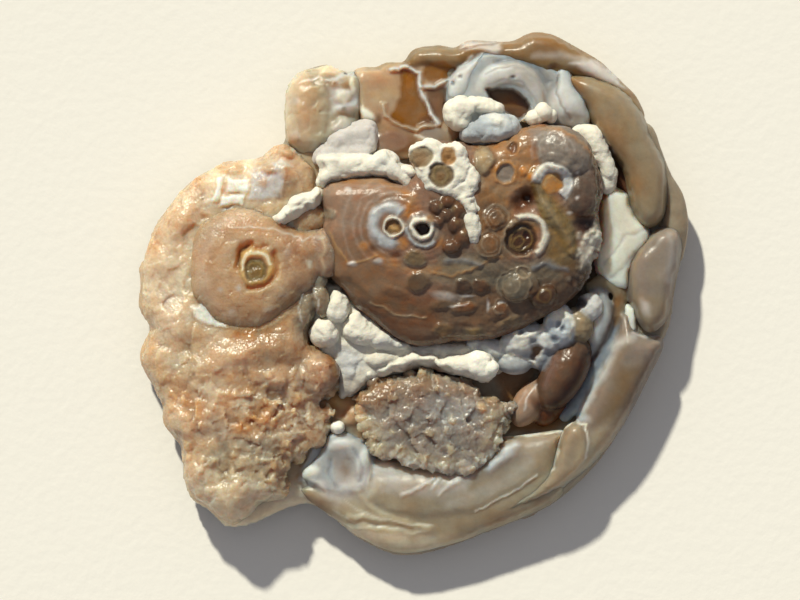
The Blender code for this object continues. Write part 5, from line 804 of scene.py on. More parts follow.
        ("spot", "plum", 0.4, 0.9, 0.35, (0.64, 1.3, 1.45, 1.05)),
        ("spot", "film", 0.7, 0.5, 0.15, (3.8, -0.2, 1.2, 0.4, -10)),
        ("spot", "plum", 0.5, 0.7, 0.25, (3.2, -1.2, 1.2, 0.6)),
        ("spot", "chestnut", 0.4, 0.7, 0.3, (5.6, -1.6, 1.4, 0.6)),
        ("spot", "umber", 0.4, 0.7, 0.3, (9.6, -1.9, 1, 0.8)),
        ("ring", "grey_tan", 0.25, 0.6, 0.1, (9.8, -1.4, 0.75, 0.08, 0, 300)),
        ("spot", "film", 0.25, 0.9, 0, (6, -0.1, 0.6, 0.12), (5, -1.3, 0.7, 0.12, 5)),
        ("spot", "film", 0.25, 0.8, 0, (8.4, -1.3, 0.15, 0.6)),
        ("spot", "film", 0.2, 0.8, 0, (9.9, -1, 0.3, 0.12)),
        ("spot", "chestnut", 0.6, 0.7, 0.15, (-1.9, 0.2, 1.4, 0.5, -15)),
        ("line", "plum", 0.6, 0.6, 0, (0.3, (-7, 1.6), (-4.4, -0.6), (-1, -1.4), (2, -1.9))),
        ("line", "red_brown", 0.6, 0.5, 0, (0.15, (-7.6, 0.6), (-5, -1.6), (-2, -3), (2, -3.6), (6, -3.4))),
        ("line", "olive_tan", 0.3, 0.7, 0.15, (0.1, (-4.6, -1.1), (-3.3, -1.4), (-2.1, -2.2), (0, -2.6),
            (1.6, -2.65))),
        ("line", "umber", 0.8, 0.7, 0, (0.4, (-6.6, -1.2), (-4, -3.4), (-1, -5), (3, -5.2), (8, -4.9),
            (12, -3.8))),
        ("line", "olive_tan", 0.5, 0.5, 0.12, (0.12, (3.4, -4.6), (7, -4.6), (10, -4.2), (13.6, -2.8),
            (16.4, -1.6))),
        ("spot", "olive", 0.5, 0.6, 0.3, (3.4, -4, 1.1, 0.7)),
        ("spot", "moss", 0.5, 0.6, 0.3, (6.8, -4.1, 0.9, 0.5)),
        ("spot", "olive", 0.5, 0.6, 0.25, (11, -3, 1.3, 0.6, 20)),
        ("spot", "umber", 0.5, 0.7, 0.3, (13.3, -2.2, 0.8, 0.6, 30)),
        ("area", "shade_cream", 0.8, 0.7, 0.25, [(18.6, 2.6), (20, 3.4), (21, 7.2), (20.3, 8.2),
            (18.8, 5.8)]),
        ("spot", "black_brown", 1, 0.9, -0.4, (19.2, 7.7, 1, 0.8)),
        ("spot", "dark_umber", 1, 0.7, 0, (18.4, 1.4, 0.8, 1.6)),
    ],
    "plate": [
        # painted shadow: the plate's upper part darker where the crust above it casts its shadow
        ("area", "brown_tan", 1.6, 0.6, 0, [(-7, -12), (-3, -9), (3, -8.6), (2, -11), (-4, -13)]),
        ("spot", "grey", 2, 0.4, 0, (4.5, -13, 3, 1.6, -10)),
        ("spot", "lilac_brown", 1.6, 0.4, 0, (1, -11.6, 2.8, 1.2)),
        ("area", "grey_sand", 1.2, 0.9, 0, [(-3.8, -17.6), (-1.6, -17.4), (1.6, -18.2), (5.6, -18.8),
            (5.2, -20.6), (0, -19.8)]),
        ("line", "grey_sand", 1, 0.6, 0, (0.4, (-5, -13.6), (-4.6, -15.4), (-3.8, -17.4))),
        ("line", "film", 1.4, 0.5, 0, (0.5, (-3.4, -18), (0, -19), (4, -19.8), (6, -19.6), (8.6, -18),
            (9.8, -15.6))),
        ("area", "grey_sand", 1.2, 0.7, 0, [(-5.4, -14), (-3.4, -14.4), (-2.4, -18.6), (-4.6, -17.4)],
            [(8, -13), (10.6, -12), (10, -17), (7, -17.4), (8.6, -15.6)]),
        # painted shadow: darker under the crust along the plate's top
        ("area", "toffee", 1, 0.5, 0, [(-7, -11.4), (-3, -8.8), (-3, -9.8), (-6, -12.6)]),
        ("spot", "sand", 0.6, 0.8, 0.4, (7.6, -12.5, 0.5)),
        # painted shadow: darker under the crust along the plate's top
        ("area", "brown_tan", 1.6, 0.4, 0, [(1, -9), (8, -10), (9, -12.6), (5, -11.6)]),
    ],
    "right_lobes": [
        ("line", "toffee", 1.6, 0.7, 0, (0.6, (18.2, 23.6), (19.6, 21), (20.6, 18.6), (22.2, 15.6))),
        ("line", "brown_tan", 1.6, 0.6, 0, (0.8, (21.6, 19.6), (23, 17), (24.4, 14), (25.6, 11))),
        ("line", "grey_tan", 1.6, 0.8, 0, (0.7, (23.4, 22), (25.6, 19), (27, 15.6), (28, 12))),
        ("line", "red_brown", 0.9, 0.9, 0, (0.5, (21.8, 14.6), (22.6, 12.4), (23.6, 10.4))),
        ("spot", "olive_tan", 1.2, 0.8, 0, (26.2, 9.6, 1.6)),
        ("line", "film", 0.5, 0.5, 0, (0.15, (21.2, 17.6), (22.4, 15.6))),
        ("line", "blue_white", 0.8, 0.7, 0, (0.25, (28.8, 6.4), (28.9, 4), (28.4, 1.6))),
        ("area", "olive_tan", 1.2, 0.6, 0, [(24.6, 0), (28.8, 0), (28.6, -3), (26.6, -4.4), (24.8, -2.4)]),
        ("line", "olive_tan", 0.6, 0.6, 0, (0.15, (27, 6.9), (25.2, 4.4), (24.6, 2), (24.8, -1.4),
            (26.6, -3.8))),
        ("spot", "film", 0.9, 0.7, 0, (25.9, -1.4, 0.5, 0.8, 20)),
        ("spot", "grey_tan", 1.6, 0.5, 0, (27.2, 2.4, 0.9, 1.8)),
        ("line", "porcelain", 1, 0.8, 0, (0.5, (24.4, -4.8), (22.8, -5.4), (21.5, -8), (20.2, -10.4),
            (19, -12.8))),
        ("line", "film", 0.4, 0.9, 0, (0.12, (24.4, -4.2), (25.4, -4.6), (27.2, -4.7))),
        ("area", "olive", 2.5, 0.8, 0, [(24, -5), (22, -8), (26, -8), (23, -14), (20.4, -14.6)]),
        ("line", "lilac_grey", 1.2, 0.7, 0, (0.8, (29.8, 11), (29.4, 8), (28.6, 5), (28.2, 2))),
        ("area", "grey_sand", 2, 0.85, 0, [(23.4, -13.4), (20, -15.6), (15.4, -21.6), (13, -24.6),
            (18, -22.6), (22, -18)]),
        ("line", "dark_umber", 1, 0.5, 0, (0.3, (27.6, -5.8), (26, -8.8), (24.4, -12))),
        ("line", "shade_cream", 0.3, 0.9, 0.15, (0.12, (17.1, -14.8), (18.2, -14.1), (19.2, -14.7),
            (19.7, -16.5), (19.3, -18.4))),
        ("line", "shade_cream", 0.3, 0.8, 0.12, (0.1, (16.7, -15.3), (16.2, -17.5), (15.8, -19.4),
            (13.8, -20.8))),
        ("spot", "blue_white", 0.9, 0.8, 0, (18.8, -13.6, 0.9, 0.5, -30)),
        ("line", "grey_tan", 1.2, 0.7, 0, (0.6, (18, -16.4), (17, -19.4), (14.6, -21.6))),
        ("line", "olive_tan", 1, 0.6, 0, (0.3, (16, -22.6), (12.6, -24.4), (9, -25))),
        ("area", "toffee", 0.6, 0.8, 0, [(22.4, -0.4), (23.4, 0.2), (23.4, -2), (22.6, -3.8), (22.4, -2)]),
        ("line", "porcelain", 0.6, 0.95, 0, (0.7, (19.8, -0.4), (20.1, -2.4), (20.1, -4.6))),
        ("line", "dark_umber", 0.7, 0.8, 0, (0.25, (22.4, -0.6), (22.3, -3), (21.3, -5.4), (20.2, -6.8))),
        # painted shade: the whitish inner flank coloured blue-grey as it looks in shadow
        ("line", "blue_grey", 0.7, 0.7, 0, (0.3, (22, -6.4), (20.2, -8.6), (18.8, -11), (17.2, -13.4))),
    ],
    "front_slab": [
        ("area", "film", 2, 0.7, 0, [(-10.6, -22.2), (-8.6, -23.8), (-4.4, -23.2), (-1.6, -20.6),
            (-2.6, -17.6), (-5, -19)]),
        ("spot", "mauve_tan", 2, 0.55, -0.4, (-7.5, -19.2, 1, 1.5, 30)),
        ("spot", "olive", 0.8, 0.4, 0, (-7.3, -19.6, 0.5)),
        ("line", "blue_grey", 0.6, 0.5, -0.2, (0.12, (-9, -18.6), (-9.4, -20), (-8.4, -21.4)), (0.12,
            (-6.4, -17.4), (-5.6, -18.8), (-5.8, -20.6))),
        ("line", "cream", 0.5, 0.7, 0.1, (0.1, (-12.4, -20.2), (-10.6, -20.8), (-9.4, -22))),
        ("line", "cream", 0.5, 0.6, 0.1, (0.1, (-5, -17.4), (-4.6, -19.4), (-5.2, -21.8))),
        ("area", "grey_sand", 2.5, 0.8, 0, [(-9, -24), (-4, -21), (0, -23), (-2, -27), (-6, -28)]),
        ("area", "grey_tan", 1.2, 0.4, 0.3, PETAL_EDGE),
        ("area", "lilac_grey", 1.6, 0.6, 0, [(8, -17.8), (11, -15.8), (17, -15.4), (13, -18), (9, -20.6),
            (3, -21.4)]),
        ("area", "film", 1.2, 0.5, 0, [(-3, -19.4), (4.6, -20), (7, -19.6), (6, -21.8), (2, -22.6),
            (-3.4, -22)]),
        ("area", "brown_tan", 2.4, 0.4, 0, [(15, -23.2), (6, -26.6), (2, -25.4), (8, -23.8), (12.6, -22.6)]),
        ("line", "cream", 0.35, 0.9, 0.15, (0.12, (10.2, -15.9), (12.4, -15.6), (14.6, -15.5),
            (16.8, -15.2))),
        ("line", "cream", 0.3, 0.9, 0.2, (0.08, (7, -24.2), (8.2, -23.6), (9.5, -22.8), (12, -21.5),
            (14, -20.2))),
        # painted glow: the lower edge lightened for light through the stone where the edge turns from the key
        # light
        ("area", "pale_peach", 2, 0.6, 0, [(-8, -27), (3, -29.6), (8, -27.4), (2, -27), (-6, -26)]),
        ("line", "grey_sand", 1.6, 0.7, 0, (0.5, (4, -28), (9, -26.4), (13, -24.2))),
        ("line", "grey_sand", 1, 0.6, 0.35, (0.15, (-7, -24.8), (-4, -25.1), (0, -25.8), (2, -26))),
        ("line", "grey_sand", 1, 0.6, 0.3, (0.15, (-8, -26), (-4, -26.3), (0, -26.6), (2, -26.5)), (0.15,
            (-6, -22.2), (-5, -23.6), (-3, -24.7), (0, -25.4))),
        ("line", "cream", 0.35, 0.5, 0, (0.06, (-7.6, -23), (-5.4, -24.4), (-1.6, -25.5), (2.2, -25.8))),
        ("line", "cream", 0.35, 0.4, 0, (0.06, (-9, -24), (-6, -25.5), (-2.4, -26.2), (1.8, -26.1)), (0.06,
            (-9, -24.8), (-6, -26.4), (-3, -27), (1, -26.6))),
        ("line", "olive_tan", 0.8, 0.4, -0.12, (0.15, (-7, -25.4), (-3, -25.8), (1, -26.3)), (0.15,
            (-4, -23.6), (-1.4, -24.9), (2, -25.6))),
        ("line", "film", 0.6, 0.8, 0.3, (0.12, (-1, -22.4), (1, -21.5), (2.5, -20.4))),
        ("line", "film", 0.5, 0.8, 0.25, (0.1, (2.2, -21.7), (3.1, -20.6)), (0.1, (3, -22.3), (5.2, -20.8))),
        ("line", "blue_white", 0.9, 0.8, 0.25, (0.4, (8.6, -19.4), (10, -18), (11.6, -16.9))),
        ("area", "brown_tan", 1.5, 0.5, 0, [(-13, -23.6), (-9.6, -24.6), (-8.6, -23), (-11, -21.6)]),
        ("area", "brown_tan", 1.5, 0.2, 0, [(-4, -22.4), (1, -23.6), (4, -22.8), (1, -24.4), (-3, -23.6)]),
        ("line", "film", 2, 0.4, 0, (0.4, (4, -23.4), (9, -21.6), (13, -18.8))),
    ],
    "back_wall": [
        ("area", "sand", 1.2, 0.6, 0, [(-6, 26), (-1, 26.6), (-1.4, 25), (-6, 24.4)]),
        ("area", "olive_tan", 1.4, 0.6, 0, [(-1, 27), (2, 28.4), (6, 28), (5, 26), (1, 26)]),
        ("line", "olive", 1, 0.6, 0, (0.3, (-5, 25.3), (-1, 26.2), (1, 27.6), (4.6, 27.8), (6, 28.2),
            (11, 28.6))),
        ("area", "film", 0.8, 0.8, 0.15, [(5.4, 28.2), (9.8, 28.4), (10, 27), (9.2, 26.5), (7, 27.3),
            (5.4, 27.2)]),
        ("line", "umber", 0.4, 0.7, -0.2, (0.1, (5.4, 27.2), (7.4, 27.6), (9.6, 28.1))),
        ("area", "toffee", 1.5, 0.5, 0, [(10, 28.6), (13.4, 29.6), (18, 28), (15, 26), (9.6, 26)]),
        ("spot", "grey_tan", 1.4, 0.6, 0, (17, 26.2, 2, 0.7, -20)),
        ("spot", "toffee", 0.5, 0.8, -0.4, (16, 25.1, 0.7, 0.4)),
        ("area", "film", 0.8, 0.95, 0.15, [(17.4, 25.6), (19.4, 24.8), (22, 23.6), (23.8, 22.8), (22.4, 24.8),
            (20, 26.1)]),
        ("line", "film", 0.7, 0.4, 0, (0.3, (13.6, 26.6), (16, 26.6), (19, 26.2))),
        ("ring", "film", 0.3, 0.8, 0.1, (22.4, 24.2, 0.45, 0.1)),
        ("area", "tan", 0.8, 0.9, 0, [(-5.8, 24.6), (-1.6, 24.8), (-1.4, 21.8), (-3.4, 20.4), (-5.6, 20.8)]),
        ("area", "honey", 0.8, 0.3, 0, [(-4.6, 22.4), (-1.8, 23.4), (-1.6, 21.8), (-3.6, 21)]),
        ("area", "amber", 0.6, 1, 0, [(-1.4, 22), (-1.3, 25), (0.6, 25.2), (0.9, 22.6), (2.6, 20.4),
            (2.6, 18.8), (-0.4, 18.6), (-2.6, 19.6)]),
        ("spot", "orange", 1.2, 0.35, 0, (-0.2, 23.4, 0.5, 1.2)),
        ("spot", "red_brown", 0.8, 0.7, 0, (1.7, 19.2, 0.7, 0.5)),
        ("area", "amber", 0.5, 0.9, 0, [(1.3, 25.6), (3.8, 26), (4.8, 25), (3.6, 23.8), (1.8, 23.6),
            (1.2, 24.4)]),
        ("area", "umber", 0.5, 0.9, 0, [(1.6, 23), (3.9, 23), (3.9, 19), (3, 19), (1.8, 21)]),
        ("area", "toffee", 0.7, 0.7, 0, [(-4.6, 18.9), (0, 18.6), (0.8, 16.2), (-1.4, 15), (-4.6, 15.4)]),
        ("spot", "rose_brown", 0.9, 0.9, 0.4, (-2.2, 17, 2.1, 1.4, 8)),
        ("spot", "grey_brown", 0.8, 0.9, 0.3, (2.4, 17.9, 1.4, 0.9)),
        ("line", "blue_white", 0.4, 0.85, 0.7, (0.2, (-2.2, 24.9), (-0.6, 25.4), (0.8, 24.8), (0.9, 22.8),
            (1.9, 20.6), (2.9, 19))),
        ("line", "blue_white", 0.4, 0.8, 0.6, (0.15, (1, 23.2), (2.4, 23.1), (3.8, 23.8))),
        ("line", "lilac_grey", 0.4, 0.8, 0.6, (0.18, (-3.1, 21.2), (-3.1, 19.9), (-1.8, 19.1), (0.5, 18.3),
            (2.4, 18.9))),
        ("line", "film", 0.4, 0.7, 0.3, (0.15, (4, 21.6), (4.1, 23.4), (5, 25), (6.8, 26.4)), (0.15,
            (6.3, 22), (7.3, 24.8), (8.2, 26.2))),
        ("spot", "cream", 0.5, 0.9, 0.3, (-4.9, 20, 0.9, 0.4, -35)),
        ("spot", "red_brown", 0.5, 0.7, 0, (-3.9, 19.5, 0.4, 0.6)),
        ("area", "lilac_grey", 1, 0.8, 0, [(-6.4, 19.6), (-4.4, 19.6), (-4, 18), (-4.6, 15.4), (-6.4, 15.4)]),
        ("spot", "slate", 0.3, 0.7, -0.2, (5.3, 24.3, 0.2), (4.5, 23.6, 0.2)),
        ("line", "cream", 0.4, 0.6, 0.2, (0.15, (0.3, 17.8), (1.1, 17.4), (3, 16.7))),
    ],
    "swirl": [
        ("area", "film", 1.2, 0.5, 0, [(3.8, 21.4), (8, 21), (8.4, 24.6), (5, 24.6)]),
        ("area", "lilac_grey", 1.2, 0.5, 0, [(8.6, 26.4), (12, 26), (15.6, 25), (15.6, 22), (14.6, 20),
            (13.6, 20), (13.8, 23), (11, 25)]),
        ("line", "grey", 0.4, 0.6, -0.12, (0.1, (8.2, 24.4), (9.6, 25.1), (11.2, 25.4), (12.8, 25),
            (14.2, 23.6), (14.9, 21.6))),
        ("line", "blue_grey", 1, 0.4, -0.2, (0.3, (9.4, 26), (12, 26.2), (14, 25.2), (15.2, 23.6))),
        ("line", "slate", 0.4, 0.3, -0.1, (0.08, (8.4, 23.2), (10.4, 24), (12.4, 23.5), (13.6, 21.8),
            (14, 20.4))),
        ("spot", "slate", 0.3, 0.8, -0.2, (11.2, 24.2, 0.25)),
        ("area", "umber", 0.5, 1, -1.6, [(8.2, 22.8), (9.6, 23), (11.3, 22.8), (12.8, 21.6), (13, 20.1),
            (11.9, 19.4), (9.8, 20.9), (8.6, 21.8)]),
        ("area", "toffee", 0.8, 0.7, 0, [(8.8, 22.4), (11, 22.3), (12, 21), (10, 21)]),
        ("area", "shade_cream", 1.6, 0.5, 0, [(20, 0.4), (26.6, 2), (27, 8), (24.6, 8), (23.4, 5.4),
            (21.6, 3)]),
        ("area", "shade_cream", 1.4, 0.6, 0, [(20.6, 8), (24.4, 7), (24.6, 11), (21.6, 12.2)]),
        ("line", "grey", 0.6, 0.5, -0.15, (0.1, (21.4, 3.4), (22.6, 5), (24.2, 6.6), (26, 7.2))),
        ("line", "blue_grey", 0.8, 0.4, -0.15, (0.2, (22.4, 1.8), (24.2, 3.6), (25.6, 5))),
        ("area", "lilac_grey", 0.8, 0.8, 0, [(16.4, 20), (19.6, 20), (20, 18.4), (17, 18.4)]),
        ("line", "toffee", 0.5, 0.5, 0, (0.15, (14.4, 22.4), (15, 20.6))),
        ("line", "grey_brown", 0.4, 0.5, -0.3, (0.1, (16.4, 24.4), (16.1, 22.4), (16.9, 20.8), (17.6, 19.4))),
    ],
    "crust": [
        ("area", "grey", 0.9, 0.5, 0, [(5.4, 18.4), (9, 20.4), (12, 19.2), (11, 17.4), (7, 16.8)]),
        ("spot", "blue_white", 0.8, 0.7, 0, (9.4, 18.6, 1.6, 1.1, 10)),
        ("spot", "slate", 0.4, 0.5, -0.2, (9.9, 18.6, 0.25)),
        ("area", "blue_grey", 0.8, 0.4, 0, [(5.6, 18.2), (7.4, 19.8), (8, 18.6), (6.8, 17)]),
        ("spot", "cream", 0.8, 0.8, 0.2, (9.4, 19.2, 0.8, 0.4, -20)),
        ("area", "film", 1, 0.6, 0, [(-11, 15), (-10, 17.4), (-7, 19), (-4, 19), (-4.6, 15.6)]),
        ("area", "porcelain", 1, 0.6, 0, [(-8, -5.6), (-5.6, -6.4), (-5.4, -8), (-6.4, -9), (-8.8, -7.6)]),
        # painted shade: greyer crust in the shaded floor between the white lumps
        ("area", "lilac_grey", 1, 0.6, 0, [(-8.4, -9), (-6, -9), (-5.8, -11), (-7.8, -11)]),
        # painted shade: greyer crust on the floor that the rosette's lower edge shades
        ("area", "porcelain", 1.2, 0.7, 0, [(-4, -5.6), (1, -6.4), (6, -6.2), (9.4, -6.4), (9.4, -5), (1, -5),
            (-3, -4.6)]),
        ("area", "porcelain", 1, 0.5, 0, [(-1, 13.4), (-4, 14), (-4, 15.4), (-1, 15.4)]),
        ("area", "red_brown", 0.7, 0.9, 0, [(-1.2, -8.2), (0.6, -7.7), (2.6, -7.8), (4.6, -8.6), (0, -9.6)]),
    ],
    "knobs": [
        ("area", "blue_grey", 0.8, 0.5, 0, [(11.4, -3.6), (14.6, -2.4), (14.4, -4.2), (12, -4.6)]),
        ("line", "cream", 0.4, 0.9, 0.2, (0.2, (11.4, -4.4), (12.8, -4.8), (14.2, -4.1), (15, -2.6))),
        ("spot", "cream", 0.7, 0.7, 0, (12.4, -5.6, 1.1, 0.5, 10)),
        ("spot", "cream", 0.7, 0.8, 0, (16.4, -2.2, 1.1, 0.9)),
        ("spot", "slate", 0.4, 0.5, -0.3, (16.3, -3.4, 0.35)),
        ("spot", "slate", 0.4, 0.8, -0.3, (16.9, -4, 0.3)),
        ("spot", "slate", 0.5, 0.7, -0.3, (15.8, -5, 0.4)),
        ("spot", "slate", 0.4, 0.6, -0.2, (12, -4.2, 0.3), (13.6, -5.4, 0.3)),
        ("line", "cream", 0.4, 0.8, 0.15, (0.18, (17.6, -2.6), (17.8, -3.6), (17.5, -4.8))),
        ("spot", "toffee", 0.4, 0.9, -0.5, (13.9, -6.4, 0.6)),
        ("spot", "cocoa", 0.4, 0.8, -0.3, (13.4, -7.1, 0.4)),
        ("line", "cream", 0.35, 0.8, 0.15, (0.12, (9.4, -6.6), (11, -6.7), (12.8, -7.4), (14, -7.9))),
        ("line", "cream", 0.35, 0.8, 0, (0.12, (9.8, -4.8), (9.9, -6.2))),
        ("spot", "cream", 0.4, 0.9, 0, (11, -8.8, 0.9, 0.2)),
        ("line", "blue_grey", 0.7, 0.8, 0, (0.4, (15.2, -6.4), (14.6, -8))),
        ("spot", "black_brown", 0.6, 0.8, -0.8, (18.7, -0.9, 0.6)),
        ("line", "umber", 1.2, 0.7, 0, (0.5, (17.6, -6), (16.2, -9), (14.6, -12))),
        ("line", "lilac_brown", 1.2, 0.6, 0, (0.4, (16, -7), (14.8, -10))),
        ("line", "black_brown", 1, 0.7, 0, (0.4, (19.4, -6.4), (18, -9.6), (16, -12.6))),
        ("line", "film", 0.3, 0.8, 0.1, (0.08, (13.8, -10), (12.8, -12), (12.5, -13))),
        ("line", "film", 0.5, 0.3, 0, (0.1, (12.8, -10.6), (11.4, -13.2))),
        ("spot", "red_brown", 0.8, 0.7, 0, (14, -12.4, 0.6, 1.2, 30)),
    ],
}


def place(spots):
    """Drawing millimetres into the model's frame, in metres."""
    return (np.asarray(spots, float) + PLAN_TO_MODEL) * MM


def hashed(cells, salt):
    """A fixed number from 0 to 1 for each whole-numbered cell."""
    mixed = ((cells * CELL_FACTORS).sum(1) + salt * SALT_FACTOR) & LARGEST_WORD
    mixed = mixed.astype(np.uint32)
    for shift, factor in HASH_ROUNDS:
        mixed ^= mixed >> np.uint32(shift)
        mixed *= np.uint32(factor)
    return mixed / LARGEST_WORD


def noise(spots, size, salt):
    """Smooth noise from -1 to 1 with features of this size."""
    scaled = spots / size
    cell = np.floor(scaled).astype(np.int64)
    share = scaled - cell
    share = share * share * (3 - 2 * share)
    total = np.zeros(len(spots))
    for corner in np.ndindex(2, 2, 2):
        weight = np.prod(np.where(corner, share, 1 - share), axis=1)
        total += weight * hashed(cell + corner, salt)
    return 2 * total - 1


def rough(spots, size, salt):
    """Noise with finer noise added to it."""
    layers = [noise(spots, size / 2 ** k, salt + k) / 2 ** k for k in range(OCTAVES)]
    return sum(layers) / (2 - 2 ** (1 - OCTAVES))


def wavering(spots, size, salt):
    """A smooth offset from -1 to 1 in each of the three directions."""
    return np.stack([noise(spots, size, salt + k) for k in range(3)], 1)


def scattered(spots, size, salt):
    """Distance to the nearest scattered seed and the offset from it, in cells, and a number for that seed."""
    scaled = spots / size
    base = np.floor(scaled).astype(np.int64)
    nearest = np.full(len(spots), np.inf)
    offset = np.zeros((len(spots), 3))
    number = np.zeros(len(spots))
    for step in np.ndindex(3, 3, 3):
        cell = base + np.array(step) - 1
        gap = scaled - cell - np.stack([hashed(cell, salt + k) for k in range(3)], 1)
        away = np.linalg.norm(gap, axis=1)
        closer = away < nearest
        nearest[closer] = away[closer]
        offset[closer] = gap[closer]
        number[closer] = hashed(cell[closer], salt + 3)
    return nearest, offset, number


def curve_points(p0, p1, p2, p3, count):
    """Points from p1 up to p2 on the smooth curve through all four."""
    for i in range(count):
        t = i / count
        yield 0.5 * (2 * p1 + (p2 - p0) * t + (2 * p0 - 5 * p1 + 4 * p2 - p3) * t ** 2
                     + (3 * p1 - p0 - 3 * p2 + p3) * t ** 3)


def smooth_ring(outline, step):
    """Points at about this spacing on a smooth closed curve through the outline's own points."""
    points = np.array(outline, float)
    before, after, beyond = (np.roll(points, shift, 0) for shift in (1, -1, -2))
    ring = []
    for p0, p1, p2, p3 in zip(before, points, after, beyond):
        count = max(1, round(float(np.linalg.norm(p2 - p1)) / step))
        ring += curve_points(p0, p1, p2, p3, count)
    return np.array(ring)


def line_distance(points, starts, ends):
    """Distance of each point from the nearest of these straight runs."""
    nearest = np.full(len(points), np.inf)
    for start, end in zip(starts, ends):
        run = end - start
        offset = points - start
        share = np.clip(offset @ run / max(run @ run, TINY), 0, 1)
        nearest = np.minimum(nearest, np.linalg.norm(offset - share[:, None] * run, axis=1))
    return nearest


def edge_distance(points, ring):
    """Distance of each point from a closed outline."""
    return line_distance(points, ring, np.roll(ring, -1, 0))


def inside_ring(points, ring):
    """True for each point that lies inside a closed outline."""
    x, y = points[:, 0], points[:, 1]
    crossings = np.zeros(len(points), int)
    for (x0, y0), (x1, y1) in zip(ring, np.roll(ring, -1, 0)):
        if y0 != y1:
            crossings += ((y0 > y) != (y1 > y)) & (x < (x1 - x0) * (y - y0) / (y1 - y0) + x0)
    return crossings % 2 == 1


def surface_height(places, controls):
    """Height at each place, blended from the control heights near it."""
    controls = np.array(controls, float)
    gap = ((places[:, None, :] - controls[None, :, :2]) ** 2).sum(2)
    weight = np.exp(-gap / (2 * CONTROL_REACH ** 2)) + FAR_PULL / (1 + gap)
    return (weight * controls[:, 2]).sum(1) / weight.sum(1)


def skin_height(places, distance, edge_height, rim, controls):
    """Height of a broad growth's skin, which curves in from its edge over the width of its rim."""
    rise = np.sqrt(1 - (1 - np.clip(distance / rim, 0, 1)) ** 2)
    return edge_height + (surface_height(places, controls) - edge_height) * rise


def add_pillow(bm, outline, edge_height, rim, top, under):
    """A rounded body over an outline, with control heights for its top and its underside."""
    ring = smooth_ring(outline, OUTLINE_STEP)
    low, high = ring.min(0), ring.max(0)
    steps = [np.arange(low[k], high[k], OUTLINE_STEP) for k in range(2)]
    grid = np.stack(np.meshgrid(*steps), 2).reshape(-1, 2)
    grid = grid[inside_ring(grid, ring)]
    grid = grid[edge_distance(grid, ring) > EDGE_CLEARANCE * OUTLINE_STEP]
    places = np.vstack([ring, grid])
    count = len(ring)
    edges = [(i, (i + 1) % count) for i in range(count)]
    found = geometry.delaunay_2d_cdt([Vector(p) for p in places], edges, [], INSIDE_ONLY, MERGE_DISTANCE)
    places, triangles = np.array([tuple(v) for v in found[0]]), found[2]
    distance = edge_distance(places, ring)
    upper = skin_height(places, distance, edge_height, rim, top)
    lower = skin_height(places, distance, edge_height, rim, under)
    on_edge = distance < ON_EDGE
    tops = [bm.verts.new((x, y, z)) for (x, y), z in zip(places, upper)]
    bottoms = [tops[i] if on_edge[i] else bm.verts.new((x, y, z))
               for i, ((x, y), z) in enumerate(zip(places, lower))]
    for a, b, c in triangles:
        bm.faces.new((tops[a], tops[b], tops[c]))
        if not (on_edge[a] and on_edge[b] and on_edge[c]):
            bm.faces.new((bottoms[c], bottoms[b], bottoms[a]))


def add_lump(bm, x, y, z, half_length, half_width, half_height, turn, rooting=ROOTING):
    """An ellipsoid whose lower half reaches deeper, so that it stands on what lies below it."""
    set_down = Matrix.Translation(Vector((x, y, z))) @ Matrix.Rotation(math.radians(turn), 4, "Z")
    ball = bmesh.ops.create_icosphere(bm, subdivisions=4, radius=1)
    for vert in ball["verts"]:
        depth = rooting if vert.co.z < 0 else 1
        vert.co = Vector((vert.co.x * half_length, vert.co.y * half_width, vert.co.z * half_height * depth))
    bmesh.ops.transform(bm, matrix=set_down, verts=ball["verts"])


def lobe_line(stations):
    """Close points on a smooth curve through a worm's stations, with the radius at each."""
    stations = np.array(stations, float)
    padded = np.vstack([2 * stations[0] - stations[1], stations, 2 * stations[-1] - stations[-2]])
    line = []
    for p0, p1, p2, p3 in zip(padded, padded[1:], padded[2:], padded[3:]):
        count = max(2, math.ceil(np.linalg.norm((p2 - p1)[:3]) / LOBE_STEP))
        line += curve_points(p0, p1, p2, p3, count)
    line.append(stations[-1])
    return np.array(line)


def add_lobe(bm, tallness, stations):
    """A worm of round section along a smooth curve through its stations, closed by round ends."""
    line = lobe_line(stations)
    way = np.gradient(line[:, :3], axis=0)
    way /= np.linalg.norm(way, axis=1)[:, None]
    caps = []
    for end, sign in ((0, -1), (-1, 1)):
        cap = []
        for i in range(1, LOBE_CAP_RINGS + 1):
            angle = math.pi / 2 * i / (LOBE_CAP_RINGS + LOBE_CAP_GAP)
            centre = line[end, :3] + sign * way[end] * line[end, 3] * math.sin(angle)
            cap.append((centre, way[end], line[end, 3] * math.cos(angle)))
        caps.append(cap)
    middle = [(p[:3], w, p[3]) for p, w in zip(line, way)]
    rings = []
    for centre, direction, radius in caps[0][::-1] + middle + caps[1]:
        across = Vector(direction).cross(Vector((0, 0, 1))).normalized()
        up = across.cross(Vector(direction)).normalized()
        ring = []
        for k in range(LOBE_SIDES):
            angle = math.tau * k / LOBE_SIDES
            height = radius * tallness * (ROOTING if math.sin(angle) < 0 else 1)
            offset = across * (math.cos(angle) * radius) + up * (math.sin(angle) * height)
            ring.append(bm.verts.new(Vector(centre) + offset))
        rings.append(ring)
    for first, second in zip(rings, rings[1:]):
        for k in range(LOBE_SIDES):
            after = (k + 1) % LOBE_SIDES
            bm.faces.new((first[k], first[after], second[after], second[k]))
    bm.faces.new(list(reversed(rings[0])))
    bm.faces.new(rings[-1])


